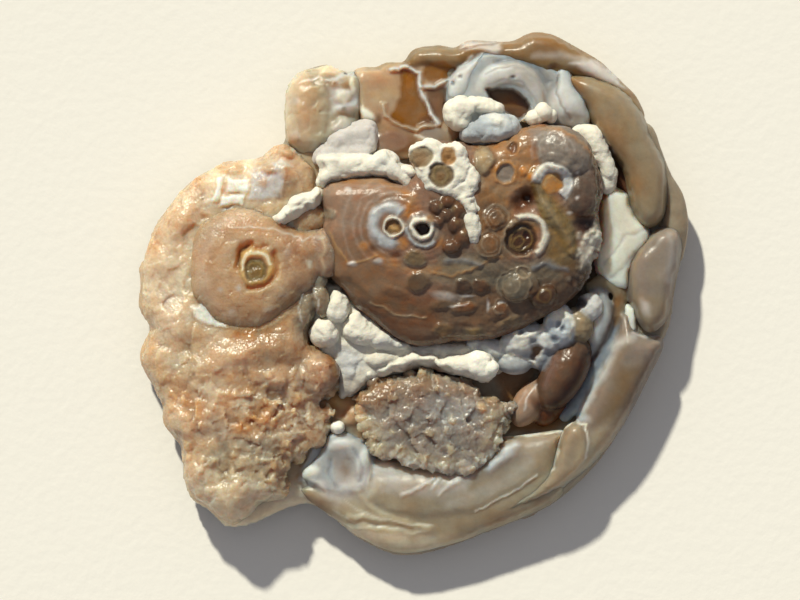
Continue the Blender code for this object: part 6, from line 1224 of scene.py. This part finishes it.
def add_crystal(bm, foot, way, radius, length, twist):
    """A six-sided quartz prism with a point, standing on its foot along way."""
    turn = way.to_track_quat("Z", "Y").to_matrix() @ Matrix.Rotation(twist, 3, "Z")
    rings = []
    for share, width in CRYSTAL_RINGS:
        ring = []
        for k in range(CRYSTAL_SIDES):
            angle = math.tau * k / CRYSTAL_SIDES
            corner = Vector((math.cos(angle) * radius * width, math.sin(angle) * radius * width,
                             share * length))
            ring.append(bm.verts.new(foot + turn @ corner))
        rings.append(ring)
    lower, upper = rings
    tip = bm.verts.new(foot + turn @ Vector((0, 0, length)))
    bm.faces.new(list(reversed(lower)))
    for k in range(CRYSTAL_SIDES):
        after = (k + 1) % CRYSTAL_SIDES
        bm.faces.new((lower[k], lower[after], upper[after], upper[k]))
        bm.faces.new((upper[k], upper[after], tip))


def crystal_spots(outline, count, apart, chance):
    """Scattered places inside an outline, none nearer to another than the given distance."""
    ring = smooth_ring(outline, REGION_STEP)
    low, high = ring.min(0), ring.max(0)
    tries = np.array([[chance.uniform(low[0], high[0]), chance.uniform(low[1], high[1])]
                      for _ in range(count * TRIES_PER_CRYSTAL)])
    spots = np.empty((0, 2))
    for spot in tries[inside_ring(tries, ring)]:
        if len(spots) < count and (np.hypot(*(spots - spot).T) > apart).all():
            spots = np.vstack([spots, spot])
    return spots


def along_line(line, count):
    """Evenly spaced points on a line through stations, with the line's direction at each."""
    line = np.array(line, float)
    steps = np.linalg.norm(np.diff(line, axis=0), axis=1)
    ends = np.concatenate([[0], np.cumsum(steps)])
    for share in (np.arange(count) + 0.5) / count:
        at = share * ends[-1]
        i = min(int(np.searchsorted(ends, at, side="right")) - 1, len(steps) - 1)
        run = line[i + 1] - line[i]
        yield line[i] + run * (at - ends[i]) / steps[i], run / steps[i]


def standing_crystals(name, chance):
    """Crystals on a growth's upper side, mostly sunk in it: colour, foot, way, radius, length, twist."""
    outline, edge_height, rim, _, top, _ = PILLOWS[name]
    ring = smooth_ring(outline, OUTLINE_STEP)
    for region, count, radii, showing, apart, colours in DRIFTS[name]:
        spots = crystal_spots(region, count, apart, chance)
        heights = skin_height(spots, edge_distance(spots, ring), edge_height, rim, top)
        for (x, y), z in zip(spots, heights):
            radius = chance.uniform(*radii)
            length = radius * chance.uniform(*CRYSTAL_LENGTH)
            lean = [chance.uniform(-CRYSTAL_LEAN, CRYSTAL_LEAN) for _ in range(2)]
            way = Vector((*lean, 1)).normalized()
            foot = Vector((x, y, z)) - way * (length - radius * chance.uniform(*showing))
            yield chance.choice(colours), foot, way, radius, length, chance.uniform(0, 1)


def jutting_crystals(line, side, count, colours, chance):
    """Crystals that point outwards and a little up from an edge, two thirds of each buried in it."""
    for spot, run in along_line(line, count):
        out = Vector((-side * run[1], side * run[0], TOOTH_RISE))
        lean = Vector([chance.uniform(-TOOTH_LEAN, TOOTH_LEAN) for _ in range(3)])
        way = (out + lean).normalized()
        radius = chance.uniform(*TOOTH_RADIUS)
        length = chance.uniform(*TOOTH_LENGTH)
        foot = Vector(spot) - way * length * TOOTH_SUNK
        yield chance.choice(colours), foot, way, radius, length, chance.uniform(0, 1)


def under_lumps(chance):
    """Low knobs over the underside, on a loose triangular net, in three of the stone's colours."""
    edge = smooth_ring(STONE_EDGE, REGION_STEP)
    row_gap = UNDER_LUMP_SPACING * math.sqrt(3) / 2
    net = range(-UNDER_LUMP_ROWS, UNDER_LUMP_ROWS + 1)
    spots = []
    for row in net:
        for column in net:
            x = (column + 0.5 * (row % 2)) * UNDER_LUMP_SPACING
            y = row * row_gap
            spots.append([value + chance.uniform(-UNDER_LUMP_JITTER, UNDER_LUMP_JITTER) for value in (x, y)])
    spots = np.array(spots)
    spots = spots[inside_ring(spots, edge)]
    spots = spots[edge_distance(spots, edge) > UNDER_LUMP_CLEARANCE]
    for i, ((x, y), z) in enumerate(zip(spots, surface_height(spots, STONE_UNDER))):
        colour = UNDER_LUMP_COLOURS[i % len(UNDER_LUMP_COLOURS)]
        length = chance.uniform(*UNDER_LUMP_RADIUS)
        middle = z + UNDER_LUMP_HEIGHT - chance.uniform(*UNDER_LUMP_SINK)
        width = length * chance.uniform(*UNDER_LUMP_WIDTH)
        turn = chance.uniform(0, 180)
        yield colour, x, y, middle, length, width, UNDER_LUMP_HEIGHT, turn, UNDER_LUMP_ROOTING


def share_of_light(level):
    """A level of red, green or blue, from 0 to 255, as a share of light."""
    level /= 255
    return level / 12.92 if level < 0.04045 else ((level + 0.055) / 1.055) ** 2.4


def linear(name):
    """A named surface as the share of light it sends back, with its dullness."""
    *seen, dullness = PALETTE[name]
    shares = []
    for level, light in zip(seen, LIGHT_ON_GROUND):
        shares.append(max(share_of_light(level) / light - SKY_IN_GLOSS * (1 - dullness), DARKEST))
    return np.array([*shares, dullness])


def gap_to_spot(plan, x, y, length, width=None, turn=0):
    """Distance outside an ellipse of this half length and half width, negative inside it."""
    width = width or length
    angle = math.radians(turn)
    dx, dy = plan[:, 0] - x, plan[:, 1] - y
    along = (dx * math.cos(angle) + dy * math.sin(angle)) / length
    across = (dy * math.cos(angle) - dx * math.sin(angle)) / width
    return (np.hypot(along, across) - 1) * min(length, width)


def gap_to_ring(plan, x, y, radius, half_width, start=0, end=360):
    """Distance outside a ring, or the part of it from one angle to another, negative inside its width."""
    dx, dy = plan[:, 0] - x, plan[:, 1] - y
    gap = np.abs(np.hypot(dx, dy) - radius) - half_width
    turned = (np.degrees(np.arctan2(dy, dx)) - start) % 360
    past = np.minimum(turned - (end - start), 360 - turned)
    return np.maximum(gap, np.where(end - start < 360, np.radians(past) * radius, -1))


def gap_to_line(plan, half_width, *stations):
    """Distance outside a line of this half width, negative inside it."""
    stations = np.array(stations, float)
    return line_distance(plan, stations[:-1], stations[1:]) - half_width


def gap_to_area(plan, *corners):
    """Distance outside an area, negative inside it."""
    ring = np.array(corners, float)
    return edge_distance(plan, ring) * np.where(inside_ring(plan, ring), -1, 1)


GAPS = {"spot": gap_to_spot, "ring": gap_to_ring, "line": gap_to_line, "area": gap_to_area}


def covered(gap, softness):
    """1 inside an edge and 0 outside it, over a soft strip of this width."""
    return np.clip(0.5 - gap / softness, 0, 1)


def strayed(spots, salt):
    """How far an edge strays at each place: a broad waver with a finer one, half as strong, over it."""
    return noise(spots, 1.3, salt) + 0.5 * noise(spots, 0.5, salt + 1)


def lay_markings(spots, facing, tint, markings):
    """Paints the markings over each other where the stone faces up, and gives the height that they raise."""
    seen = np.flatnonzero(facing > MARKED_DOWN_TO)
    near = spots[seen]
    plan = near[:, :2] + EDGE_STRAY * np.stack([strayed(near, salt=5), strayed(near, salt=7)], 1)
    up = np.clip(facing[seen] * 4 + 1, 0, 1)
    lift = np.zeros(len(spots))
    for shape, colour, softness, strength, height, *wheres in markings:
        for where in wheres:
            cover = covered(GAPS[shape](plan, *where), softness)
            cover = up * cover * cover * (3 - 2 * cover)
            tint[seen] += strength * cover[:, None] * (linear(colour) - tint[seen])
            lift[seen] += cover * height
    return lift


def read_mesh(mesh):
    """Corner places in drawing millimetres, their normals and the edges between them."""
    spots = np.empty(len(mesh.vertices) * 3, np.float32)
    normals = np.empty_like(spots)
    edges = np.empty(len(mesh.edges) * 2, np.int32)
    mesh.vertices.foreach_get("co", spots)
    mesh.vertices.foreach_get("normal", normals)
    mesh.edges.foreach_get("vertices", edges)
    return spots.reshape(-1, 3).astype(float), normals.reshape(-1, 3).astype(float), edges.reshape(-1, 2)


def softened(values, edges, passes):
    """Values at the corners, evened out over their neighbours."""
    count = np.bincount(edges.ravel(), minlength=len(values))[:, None]
    for _ in range(passes):
        total = np.zeros_like(values)
        for k in range(values.shape[1]):
            total[:, k] = (np.bincount(edges[:, 0], values[edges[:, 1], k], len(values))
                           + np.bincount(edges[:, 1], values[edges[:, 0], k], len(values)))
        values = 0.5 * values + 0.5 * total / np.maximum(count, 1)
    return values


def ramp(values, start, width):
    """0 up to a start, 1 beyond this width from it, and even between."""
    return np.clip((values - start) / width, 0, 1)


def facets(spots, size, height, salt):
    """Flat chips of this size, each tilted and set at its own height."""
    bent = spots + CHIP_WAVER * size * wavering(spots, size * CHIP_WAVER_SIZE, salt + 5)
    _, offset, number = scattered(bent, size, salt)
    direction = number * CHIP_TURN
    tilt = np.stack([np.cos(direction), np.sin(direction), np.zeros_like(direction)], 1)
    return height * (CHIP_TILT * (offset * tilt).sum(1) + CHIP_STEP * (number - 0.5))


def ripples(spots):
    """Fine steps of growth that run round the ends of the stalactites."""
    lift = np.zeros(len(spots))
    for x, y, radius in EYES:
        away = np.hypot(spots[:, 0] - x, spots[:, 1] - y)
        near = ramp(away, radius, RIPPLE_START) * (1 - ramp(away, radius, RIPPLE_REACH))
        lift += near * np.sin(away * math.tau / RIPPLE_LENGTH + noise(spots, size=1.5, salt=66))
    return lift


def waxy_relief(spots, normals):
    """Low swells of an agate skin."""
    return 0.12 * rough(spots, size=3.0, salt=20) + 0.02 * rough(spots, size=0.8, salt=26)


def lumpy_relief(spots, normals):
    """Knobbly chalcedony with a few flat chips."""
    return 0.3 * rough(spots, size=2.2, salt=56) + 0.4 * facets(spots, size=1.3, height=0.35, salt=90)


def flower_relief(spots, normals):
    """Sugary agate, with faint ripples round the flower's eye."""
    swells = 0.16 * rough(spots, size=2.0, salt=20)
    return swells + 0.1 * facets(spots, size=1.3, height=1.0, salt=98) + 0.015 * ripples(spots)


def body_relief(spots, normals):
    """Rough underneath, and drawn in at the sides so that the pieces round them stand over it."""
    under = np.clip(-normals[:, 2], 0, 1)
    side = 1 - np.abs(normals[:, 2])
    return (0.05 * rough(spots, size=1.6, salt=20) + under * 0.18 * rough(spots, size=2.2, salt=24)
            - 0.16 * side)


def crust_relief(spots, normals):
    """Knobs of white porcelain crust with creases between them, and their pores."""
    bent = spots + 0.3 * wavering(spots, size=1.1, salt=28)
    lift = CRUST_BASE + 0.12 * rough(spots, size=0.8, salt=38)
    for size, height, salt in CRUST_KNOBS:
        knob, _, _ = scattered(bent, size, salt)
        lift += height * np.sqrt(np.clip(1 - (knob / CRUST_KNOB_WIDTH) ** 2, 0, 1))
    return lift


def slope_relief(spots, normals):
    """Facets of drusy quartz, high in the druse and low over the rim, and knobbly chalcedony between."""
    plan = spots[:, :2]
    druse = covered(gap_to_area(plan, *DRUSE_REGION), softness=3.0)
    blocky = covered(gap_to_area(plan, *BLOCKY_REGION), softness=2.0)
    rim = covered(gap_to_area(plan, *LEFT_RIM_REGION), softness=2.0)
    chips = 0.3 + 0.5 * druse + 0.45 * blocky + 0.2 * rim
    coarse = chips * facets(spots, size=2.0, height=0.45, salt=44)
    fine = chips * facets(spots, size=0.9, height=0.22, salt=50)
    return 0.25 * rough(spots, size=2.8, salt=40) + coarse + fine


def rosette_relief(spots, normals):
    """Low ripples round the stalactite ends and small knots between them."""
    right = ramp(spots[:, 0], start=-1, width=6)
    nearest, _, _ = scattered(spots, size=1.1, salt=60)
    knots = right * (0.14 * (0.5 - nearest) + 0.14 * rough(spots, size=0.9, salt=64))
    return 0.08 * rough(spots, size=1.8, salt=62) + knots + 0.03 * ripples(spots)


def plate_relief(spots, normals):
    """Broken faces of quartz, coarse and fine."""
    return facets(spots, size=2.0, height=0.4, salt=70) + facets(spots, size=0.9, height=0.16, salt=74)


def knob_relief(spots, normals):
    """Small knots on the grey knobs at the back, and smooth brown lobes in front of them."""
    nearest, _, _ = scattered(spots, size=0.8, salt=80)
    knobby = ramp(spots[:, 1], start=-8.5, width=1.5)
    return knobby * 0.2 * (0.5 - nearest) + 0.05 * rough(spots, size=1.4, salt=82)


def add_noise(nodes, links, where, size, roughness=0.6):
    """A noise texture with features of this size in millimetres."""
    texture = nodes.new("ShaderNodeTexNoise")
    texture.inputs["Scale"].default_value = 1 / (size * MM)
    texture.inputs["Detail"].default_value = 5
    texture.inputs["Roughness"].default_value = roughness
    links.new(where.outputs["Object"], texture.inputs["Vector"])
    return texture.outputs["Fac"]


def add_cells(nodes, links, where, size):
    """Distance from the middle of each cell of this size in millimetres."""
    texture = nodes.new("ShaderNodeTexVoronoi")
    texture.inputs["Scale"].default_value = 1 / (size * MM)
    links.new(where.outputs["Object"], texture.inputs["Vector"])
    return texture.outputs["Distance"]


def ranged(nodes, links, source, from_low, from_high, low, high):
    """A value moved from one range to another."""
    node = nodes.new("ShaderNodeMapRange")
    node.inputs["From Min"].default_value = from_low
    node.inputs["From Max"].default_value = from_high
    node.inputs["To Min"].default_value = low
    node.inputs["To Max"].default_value = high
    links.new(source, node.inputs["Value"])
    return node.outputs["Result"]


def bumped(nodes, links, height, distance, before=None):
    """A bump of this height in millimetres, over an earlier bump where one is given."""
    node = nodes.new("ShaderNodeBump")
    node.inputs["Distance"].default_value = distance * MM
    links.new(height, node.inputs["Height"])
    if before:
        links.new(before, node.inputs["Normal"])
    return node.outputs["Normal"]


def stone_finish(name, glossy, dull, mottle, mottle_size, veil, veil_size, swell, tooth, tooth_size,
                 glow, depth):
    """A finish of the stone over its painted tint. Sizes, heights and depth are in millimetres.

    Roughness runs from glossy to dull with the tint's dullness. Mottle is fine light and shade, and veil is
    the drift of hue and strength of colour through the stone. Swell and tooth are heights of broad and fine
    bumps. Glow is how much light soaks in, and depth how far it goes.
    """
    material = bpy.data.materials.new(name)
    material.use_nodes = True
    nodes, links = material.node_tree.nodes, material.node_tree.links
    shader = nodes["Principled BSDF"]
    where = nodes.new("ShaderNodeTexCoord")
    paint = nodes.new("ShaderNodeAttribute")
    paint.attribute_name = "tint"
    fine = add_noise(nodes, links, where, mottle_size)
    broad = add_noise(nodes, links, where, veil_size)
    hue_drift = veil / VEIL_PER_HUE
    colour = nodes.new("ShaderNodeHueSaturation")
    light = ranged(nodes, links, fine, *NOISE_RANGE, 1 - mottle, 1 + mottle)
    strength = ranged(nodes, links, broad, *NOISE_RANGE, 1 - veil, 1 + veil)
    hue = ranged(nodes, links, broad, *NOISE_RANGE, 0.5 + hue_drift, 0.5 - hue_drift)
    links.new(light, colour.inputs["Value"])
    links.new(strength, colour.inputs["Saturation"])
    links.new(hue, colour.inputs["Hue"])
    links.new(paint.outputs["Color"], colour.inputs["Color"])
    links.new(colour.outputs["Color"], shader.inputs["Base Color"])
    dullness = ranged(nodes, links, paint.outputs["Alpha"], 0, 1, glossy, dull)
    links.new(dullness, shader.inputs["Roughness"])
    rolling = bumped(nodes, links, fine, swell)
    cells = add_cells(nodes, links, where, tooth_size)
    links.new(bumped(nodes, links, cells, tooth, rolling), shader.inputs["Normal"])
    shader.inputs["IOR"].default_value = 1.54
    shader.inputs["Specular IOR Level"].default_value = 0.35
    shader.inputs["Subsurface Weight"].default_value = glow
    shader.inputs["Subsurface Radius"].default_value = (1.0, 0.62, 0.38)
    shader.inputs["Subsurface Scale"].default_value = depth * MM
    return material


FINISHES = {
    "agate": stone_finish("agate_skin", 0.26, 0.7, mottle=0.1, mottle_size=1.1, veil=0.22, veil_size=3.5,
                          swell=0.04, tooth=0.008, tooth_size=0.35, glow=1.0, depth=3.5),
    "sugar": stone_finish("sugary_agate", 0.26, 0.7, mottle=0.06, mottle_size=0.5, veil=0.16, veil_size=2.6,
                          swell=0.05, tooth=0.05, tooth_size=0.3, glow=1.0, depth=4.5),
    "underside": stone_finish("stone_body", 0.35, 0.75, mottle=0.14, mottle_size=1.2, veil=0.2, veil_size=5,
                              swell=0.08, tooth=0.02, tooth_size=0.5, glow=0.8, depth=3.0),
    "crust": stone_finish("porcelain_crust", 0.6, 0.9, mottle=0.05, mottle_size=0.6, veil=0.1, veil_size=2,
                          swell=0.06, tooth=0.03, tooth_size=0.25, glow=0.3, depth=0.8),
    "druse": stone_finish("drusy_skin", 0.14, 0.6, mottle=0.12, mottle_size=0.7, veil=0.25, veil_size=2.2,
                          swell=0.07, tooth=0.05, tooth_size=0.35, glow=1.0, depth=3.2),
    "wet": stone_finish("wet_agate", 0.22, 0.7, mottle=0.17, mottle_size=0.9, veil=0.2, veil_size=1.8,
                        swell=0.07, tooth=0.02, tooth_size=0.4, glow=0.5, depth=1.4),
}

# Pieces: size of the mesh cell, smoothing passes, broad growths, worms, lumps, fine relief and finish
PIECES = {
    "stone_body": (0.36, 2, ["stone"], ["outer_strip"], [], body_relief, "underside"),
    "slope": (0.19, 2, ["slope"], [], ["saddle"], slope_relief, "druse"),
    "corner": (0.2, 4, ["corner"], [], [], lumpy_relief, "agate"),
    "flower": (0.16, 3, ["flower"], [], ["bridge"], flower_relief, "sugar"),
    "rosette": (0.15, 3, ["rosette"], ["rosette_web"], ["rosette_domes"], rosette_relief, "wet"),
    "eye_crust": (0.14, 2, ["crown"], [], [], crust_relief, "crust"),
    "plate": (0.15, 1, ["plate"], [], [], plate_relief, "druse"),
    "right_lobes": (0.2, 8, ["upper_lobe", "middle_lobe", "lower_lobe", "finger"],
                    ["arch", "blue_bolster", "inner_flank"], [], waxy_relief, "agate"),
    "front_slab": (0.2, 4, ["front_slab", "front_film"], [], ["front_folds"], waxy_relief, "agate"),
    "back_wall": (0.2, 3, ["back_slab", "back_floor", "sheet"], [], [], waxy_relief, "agate"),
    "swirl": (0.16, 4, ["swirl", "white_floor"], ["swirl_band", "drape_wide", "drape_narrow"], [],
              waxy_relief, "agate"),
    "crust": (0.16, 1, ["north_crust", "film_shelf", "rope", "boulder", "west_floor", "west_upper", "wedge",
                        "west_blue", "chain"],
              ["crust_rope_right"], ["crust_back", "white_lumps"], crust_relief, "crust"),
    "knobs": (0.17, 2, [], [], ["grey_lumps", "dark_lobes"], knob_relief, "wet"),
}

# Quartz crystals that stand on a growth: outline, number, radii, how many radii they stand out, gap, colours
DRIFTS = {
    "slope": [
        (BLOCKY_REGION, 60, (0.45, 0.95), (0.15, 0.6), 1.1, ("blush", "sand", "tan")),
        (DRUSE_REGION, 120, (0.35, 0.8), (0.1, 0.55), 1.15, ("blush", "sand", "peach")),
    ],
    "plate": [(PLATE_EDGE, 64, (0.5, 1.1), (0.0, 0.4), 1.3, ("lilac_grey", "grey_sand", "grey_tan"))],
    "rosette": [(FRINGE_REGION, 40, (0.2, 0.4), (0.4, 0.8), 0.45, ("shade_cream",))],
}
# Crystals that jut out from an edge: the line along it with its height, which side is out, number and colours
TEETH = {
    "slope": ([(-9.4, -9.6, 6.6), (-10.8, -12.2, 6.8), (-10.2, -14.6, 6.4), (-11.6, -16.8, 6.6),
               (-14.0, -18.2, 6.8), (-14.8, -21.4, 6.6)], 1, 16, ("blush", "sand")),
    "plate": ([(-6.0, -12.4, 6.2), (-4.8, -15.4, 6.4), (-3.9, -17.4, 6.4), (-1.6, -18.0, 6.4),
               (0.6, -19.0, 6.4), (2.6, -19.2, 6.4), (5.2, -19.6, 6.4), (7.6, -18.4, 6.6),
               (9.4, -16.8, 6.6), (10.0, -13.8, 6.6)],
              -1, 24, ("grey_sand", "sand")),
}


def shells_of(pillows, lobes, lumps, crystals):
    """The closed shells of one piece in one mesh, and the colour that each run of faces starts from."""
    bm = bmesh.new()
    starts = []

    def begin(colour):
        starts.append((len(bm.faces), linear(colour)))

    for key in pillows:
        outline, edge_height, rim, colour, top, under = PILLOWS[key]
        begin(colour)
        add_pillow(bm, outline, edge_height, rim, top, under)
    for key in lobes:
        colour, tallness, stations = LOBES[key]
        begin(colour)
        add_lobe(bm, tallness, stations)
    for colour, *shape in lumps:
        begin(colour)
        add_lump(bm, *shape)
    for colour, *shape in crystals:
        begin(colour)
        add_crystal(bm, *shape)
    bmesh.ops.recalc_face_normals(bm, faces=bm.faces)
    return bm, starts


def melted(bm, cell, passes):
    """One skin over the overlapping shells, with its joins rounded a little."""
    mesh = bpy.data.meshes.new("shells")
    bm.to_mesh(mesh)
    helper = bpy.data.objects.new("shells", mesh)
    bpy.context.scene.collection.objects.link(helper)
    remesh = helper.modifiers.new("melt", "REMESH")
    remesh.mode = "VOXEL"
    remesh.voxel_size = cell
    smooth = helper.modifiers.new("round", "SMOOTH")
    smooth.factor = 0.5
    smooth.iterations = passes
    bpy.context.view_layer.update()
    skin = bpy.data.meshes.new_from_object(helper.evaluated_get(bpy.context.evaluated_depsgraph_get()))
    bpy.data.objects.remove(helper, do_unlink=True)
    return skin


def starting_tint(bm, starts, spots, edges):
    """Each corner's colour from the shell that it lies on, evened out at the joins."""
    tree = bvhtree.BVHTree.FromBMesh(bm)
    firsts = np.array([first for first, _ in starts])
    colours = np.array([colour for _, colour in starts])
    nearest = np.array([tree.find_nearest(spot)[2] for spot in spots])
    tint = colours[np.searchsorted(firsts, nearest, side="right") - 1]
    return softened(tint, edges, JOIN_PASSES)


def finish_piece(name, mesh, spots, tint, finish):
    """Makes the piece's object from its sculpted places and colours."""
    mesh.vertices.foreach_set("co", place(spots).astype(np.float32).ravel())
    layer = mesh.color_attributes.new("tint", "FLOAT_COLOR", "POINT")
    layer.data.foreach_set("color", np.clip(tint, 0, 1).astype(np.float32).ravel())
    mesh.update()
    mesh.name = name
    mesh.materials.clear()
    mesh.materials.append(FINISHES[finish])
    piece = bpy.data.objects.new(name, mesh)
    bpy.context.scene.collection.objects.link(piece)
    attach(piece, "root")
    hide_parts("chalcedony")


def grow(name, chance):
    """Builds one piece: its shells melted together, painted, given its relief and finished."""
    cell, passes, pillows, lobes, lump_keys, relief, finish = PIECES[name]
    lumps = [lump for key in lump_keys for lump in LUMPS[key]]
    if name == "stone_body":
        lumps += under_lumps(chance)
    crystals = list(standing_crystals(name, chance)) if name in DRIFTS else []
    if name in TEETH:
        crystals += jutting_crystals(*TEETH[name], chance)
    bm, starts = shells_of(pillows, lobes, lumps, crystals)
    mesh = melted(bm, cell, passes)
    spots, normals, edges = read_mesh(mesh)
    tint = starting_tint(bm, starts, spots, edges)
    bm.free()
    lift = lay_markings(spots, normals[:, 2], tint, MARKINGS[name])
    raised = relief(spots, normals)
    # painted shade: darkens the tint in the creases, where the relief sinks below its mean
    tint[:, :3] *= 1 - CREASE_SHADE * np.clip((raised.mean() - raised) / CREASE_DEPTH, 0, 1)[:, None]
    spots += normals * raised[:, None]
    spots[:, 2] = np.clip(spots[:, 2] + lift, CONTACT_LEVEL, TOP_LEVEL)
    mesh.shade_smooth()
    finish_piece(name, mesh, spots, tint, finish)


def add_floor():
    """A plain pale sheet of toothed drawing paper."""
    bpy.ops.mesh.primitive_plane_add(size=0.8, location=(0, 0, 0))
    floor = bpy.context.object
    floor.name = "floor"
    material = bpy.data.materials.new("paper")
    material.use_nodes = True
    nodes, links = material.node_tree.nodes, material.node_tree.links
    shader = nodes["Principled BSDF"]
    tooth = add_noise(nodes, links, nodes.new("ShaderNodeTexCoord"), size=1.1, roughness=0.5)
    links.new(bumped(nodes, links, tooth, 0.05), shader.inputs["Normal"])
    shader.inputs["Base Color"].default_value = (0.90, 0.875, 0.83, 1)
    shader.inputs["Roughness"].default_value = 0.95
    floor.data.materials.append(material)


def add_light():
    """Low warm light from the back left, and a dim cool room."""
    sun = bpy.data.lights.new("key", "SUN")
    sun.energy = 3.85
    sun.angle = math.radians(3)
    sun.color = (1.0, 0.967, 0.80)
    key = bpy.data.objects.new("key", sun)
    key.rotation_euler = Vector((0.47, -1.18, -1.0)).to_track_quat("-Z", "Y").to_euler()
    bpy.context.scene.collection.objects.link(key)
    world = bpy.data.worlds.new("room")
    world.use_nodes = True
    background = world.node_tree.nodes["Background"]
    background.inputs["Color"].default_value = (0.93, 0.94, 1.0, 1)
    background.inputs["Strength"].default_value = 0.27
    bpy.context.scene.world = world


def add_camera():
    """Straight above, the back of the stone up in the picture."""
    camera = bpy.data.cameras.new("camera")
    camera.lens = 405
    camera.sensor_width = 36
    camera.clip_start = 0.05
    viewer = bpy.data.objects.new("camera", camera)
    viewer.location = (-0.001516, -0.000848, 1.008)
    bpy.context.scene.collection.objects.link(viewer)
    bpy.context.scene.camera = viewer


chance = random.Random(SEED)
for name in PIECES:
    grow(name, chance)
add_floor()
add_light()
add_camera()
bpy.context.scene.view_settings.view_transform = "Standard"
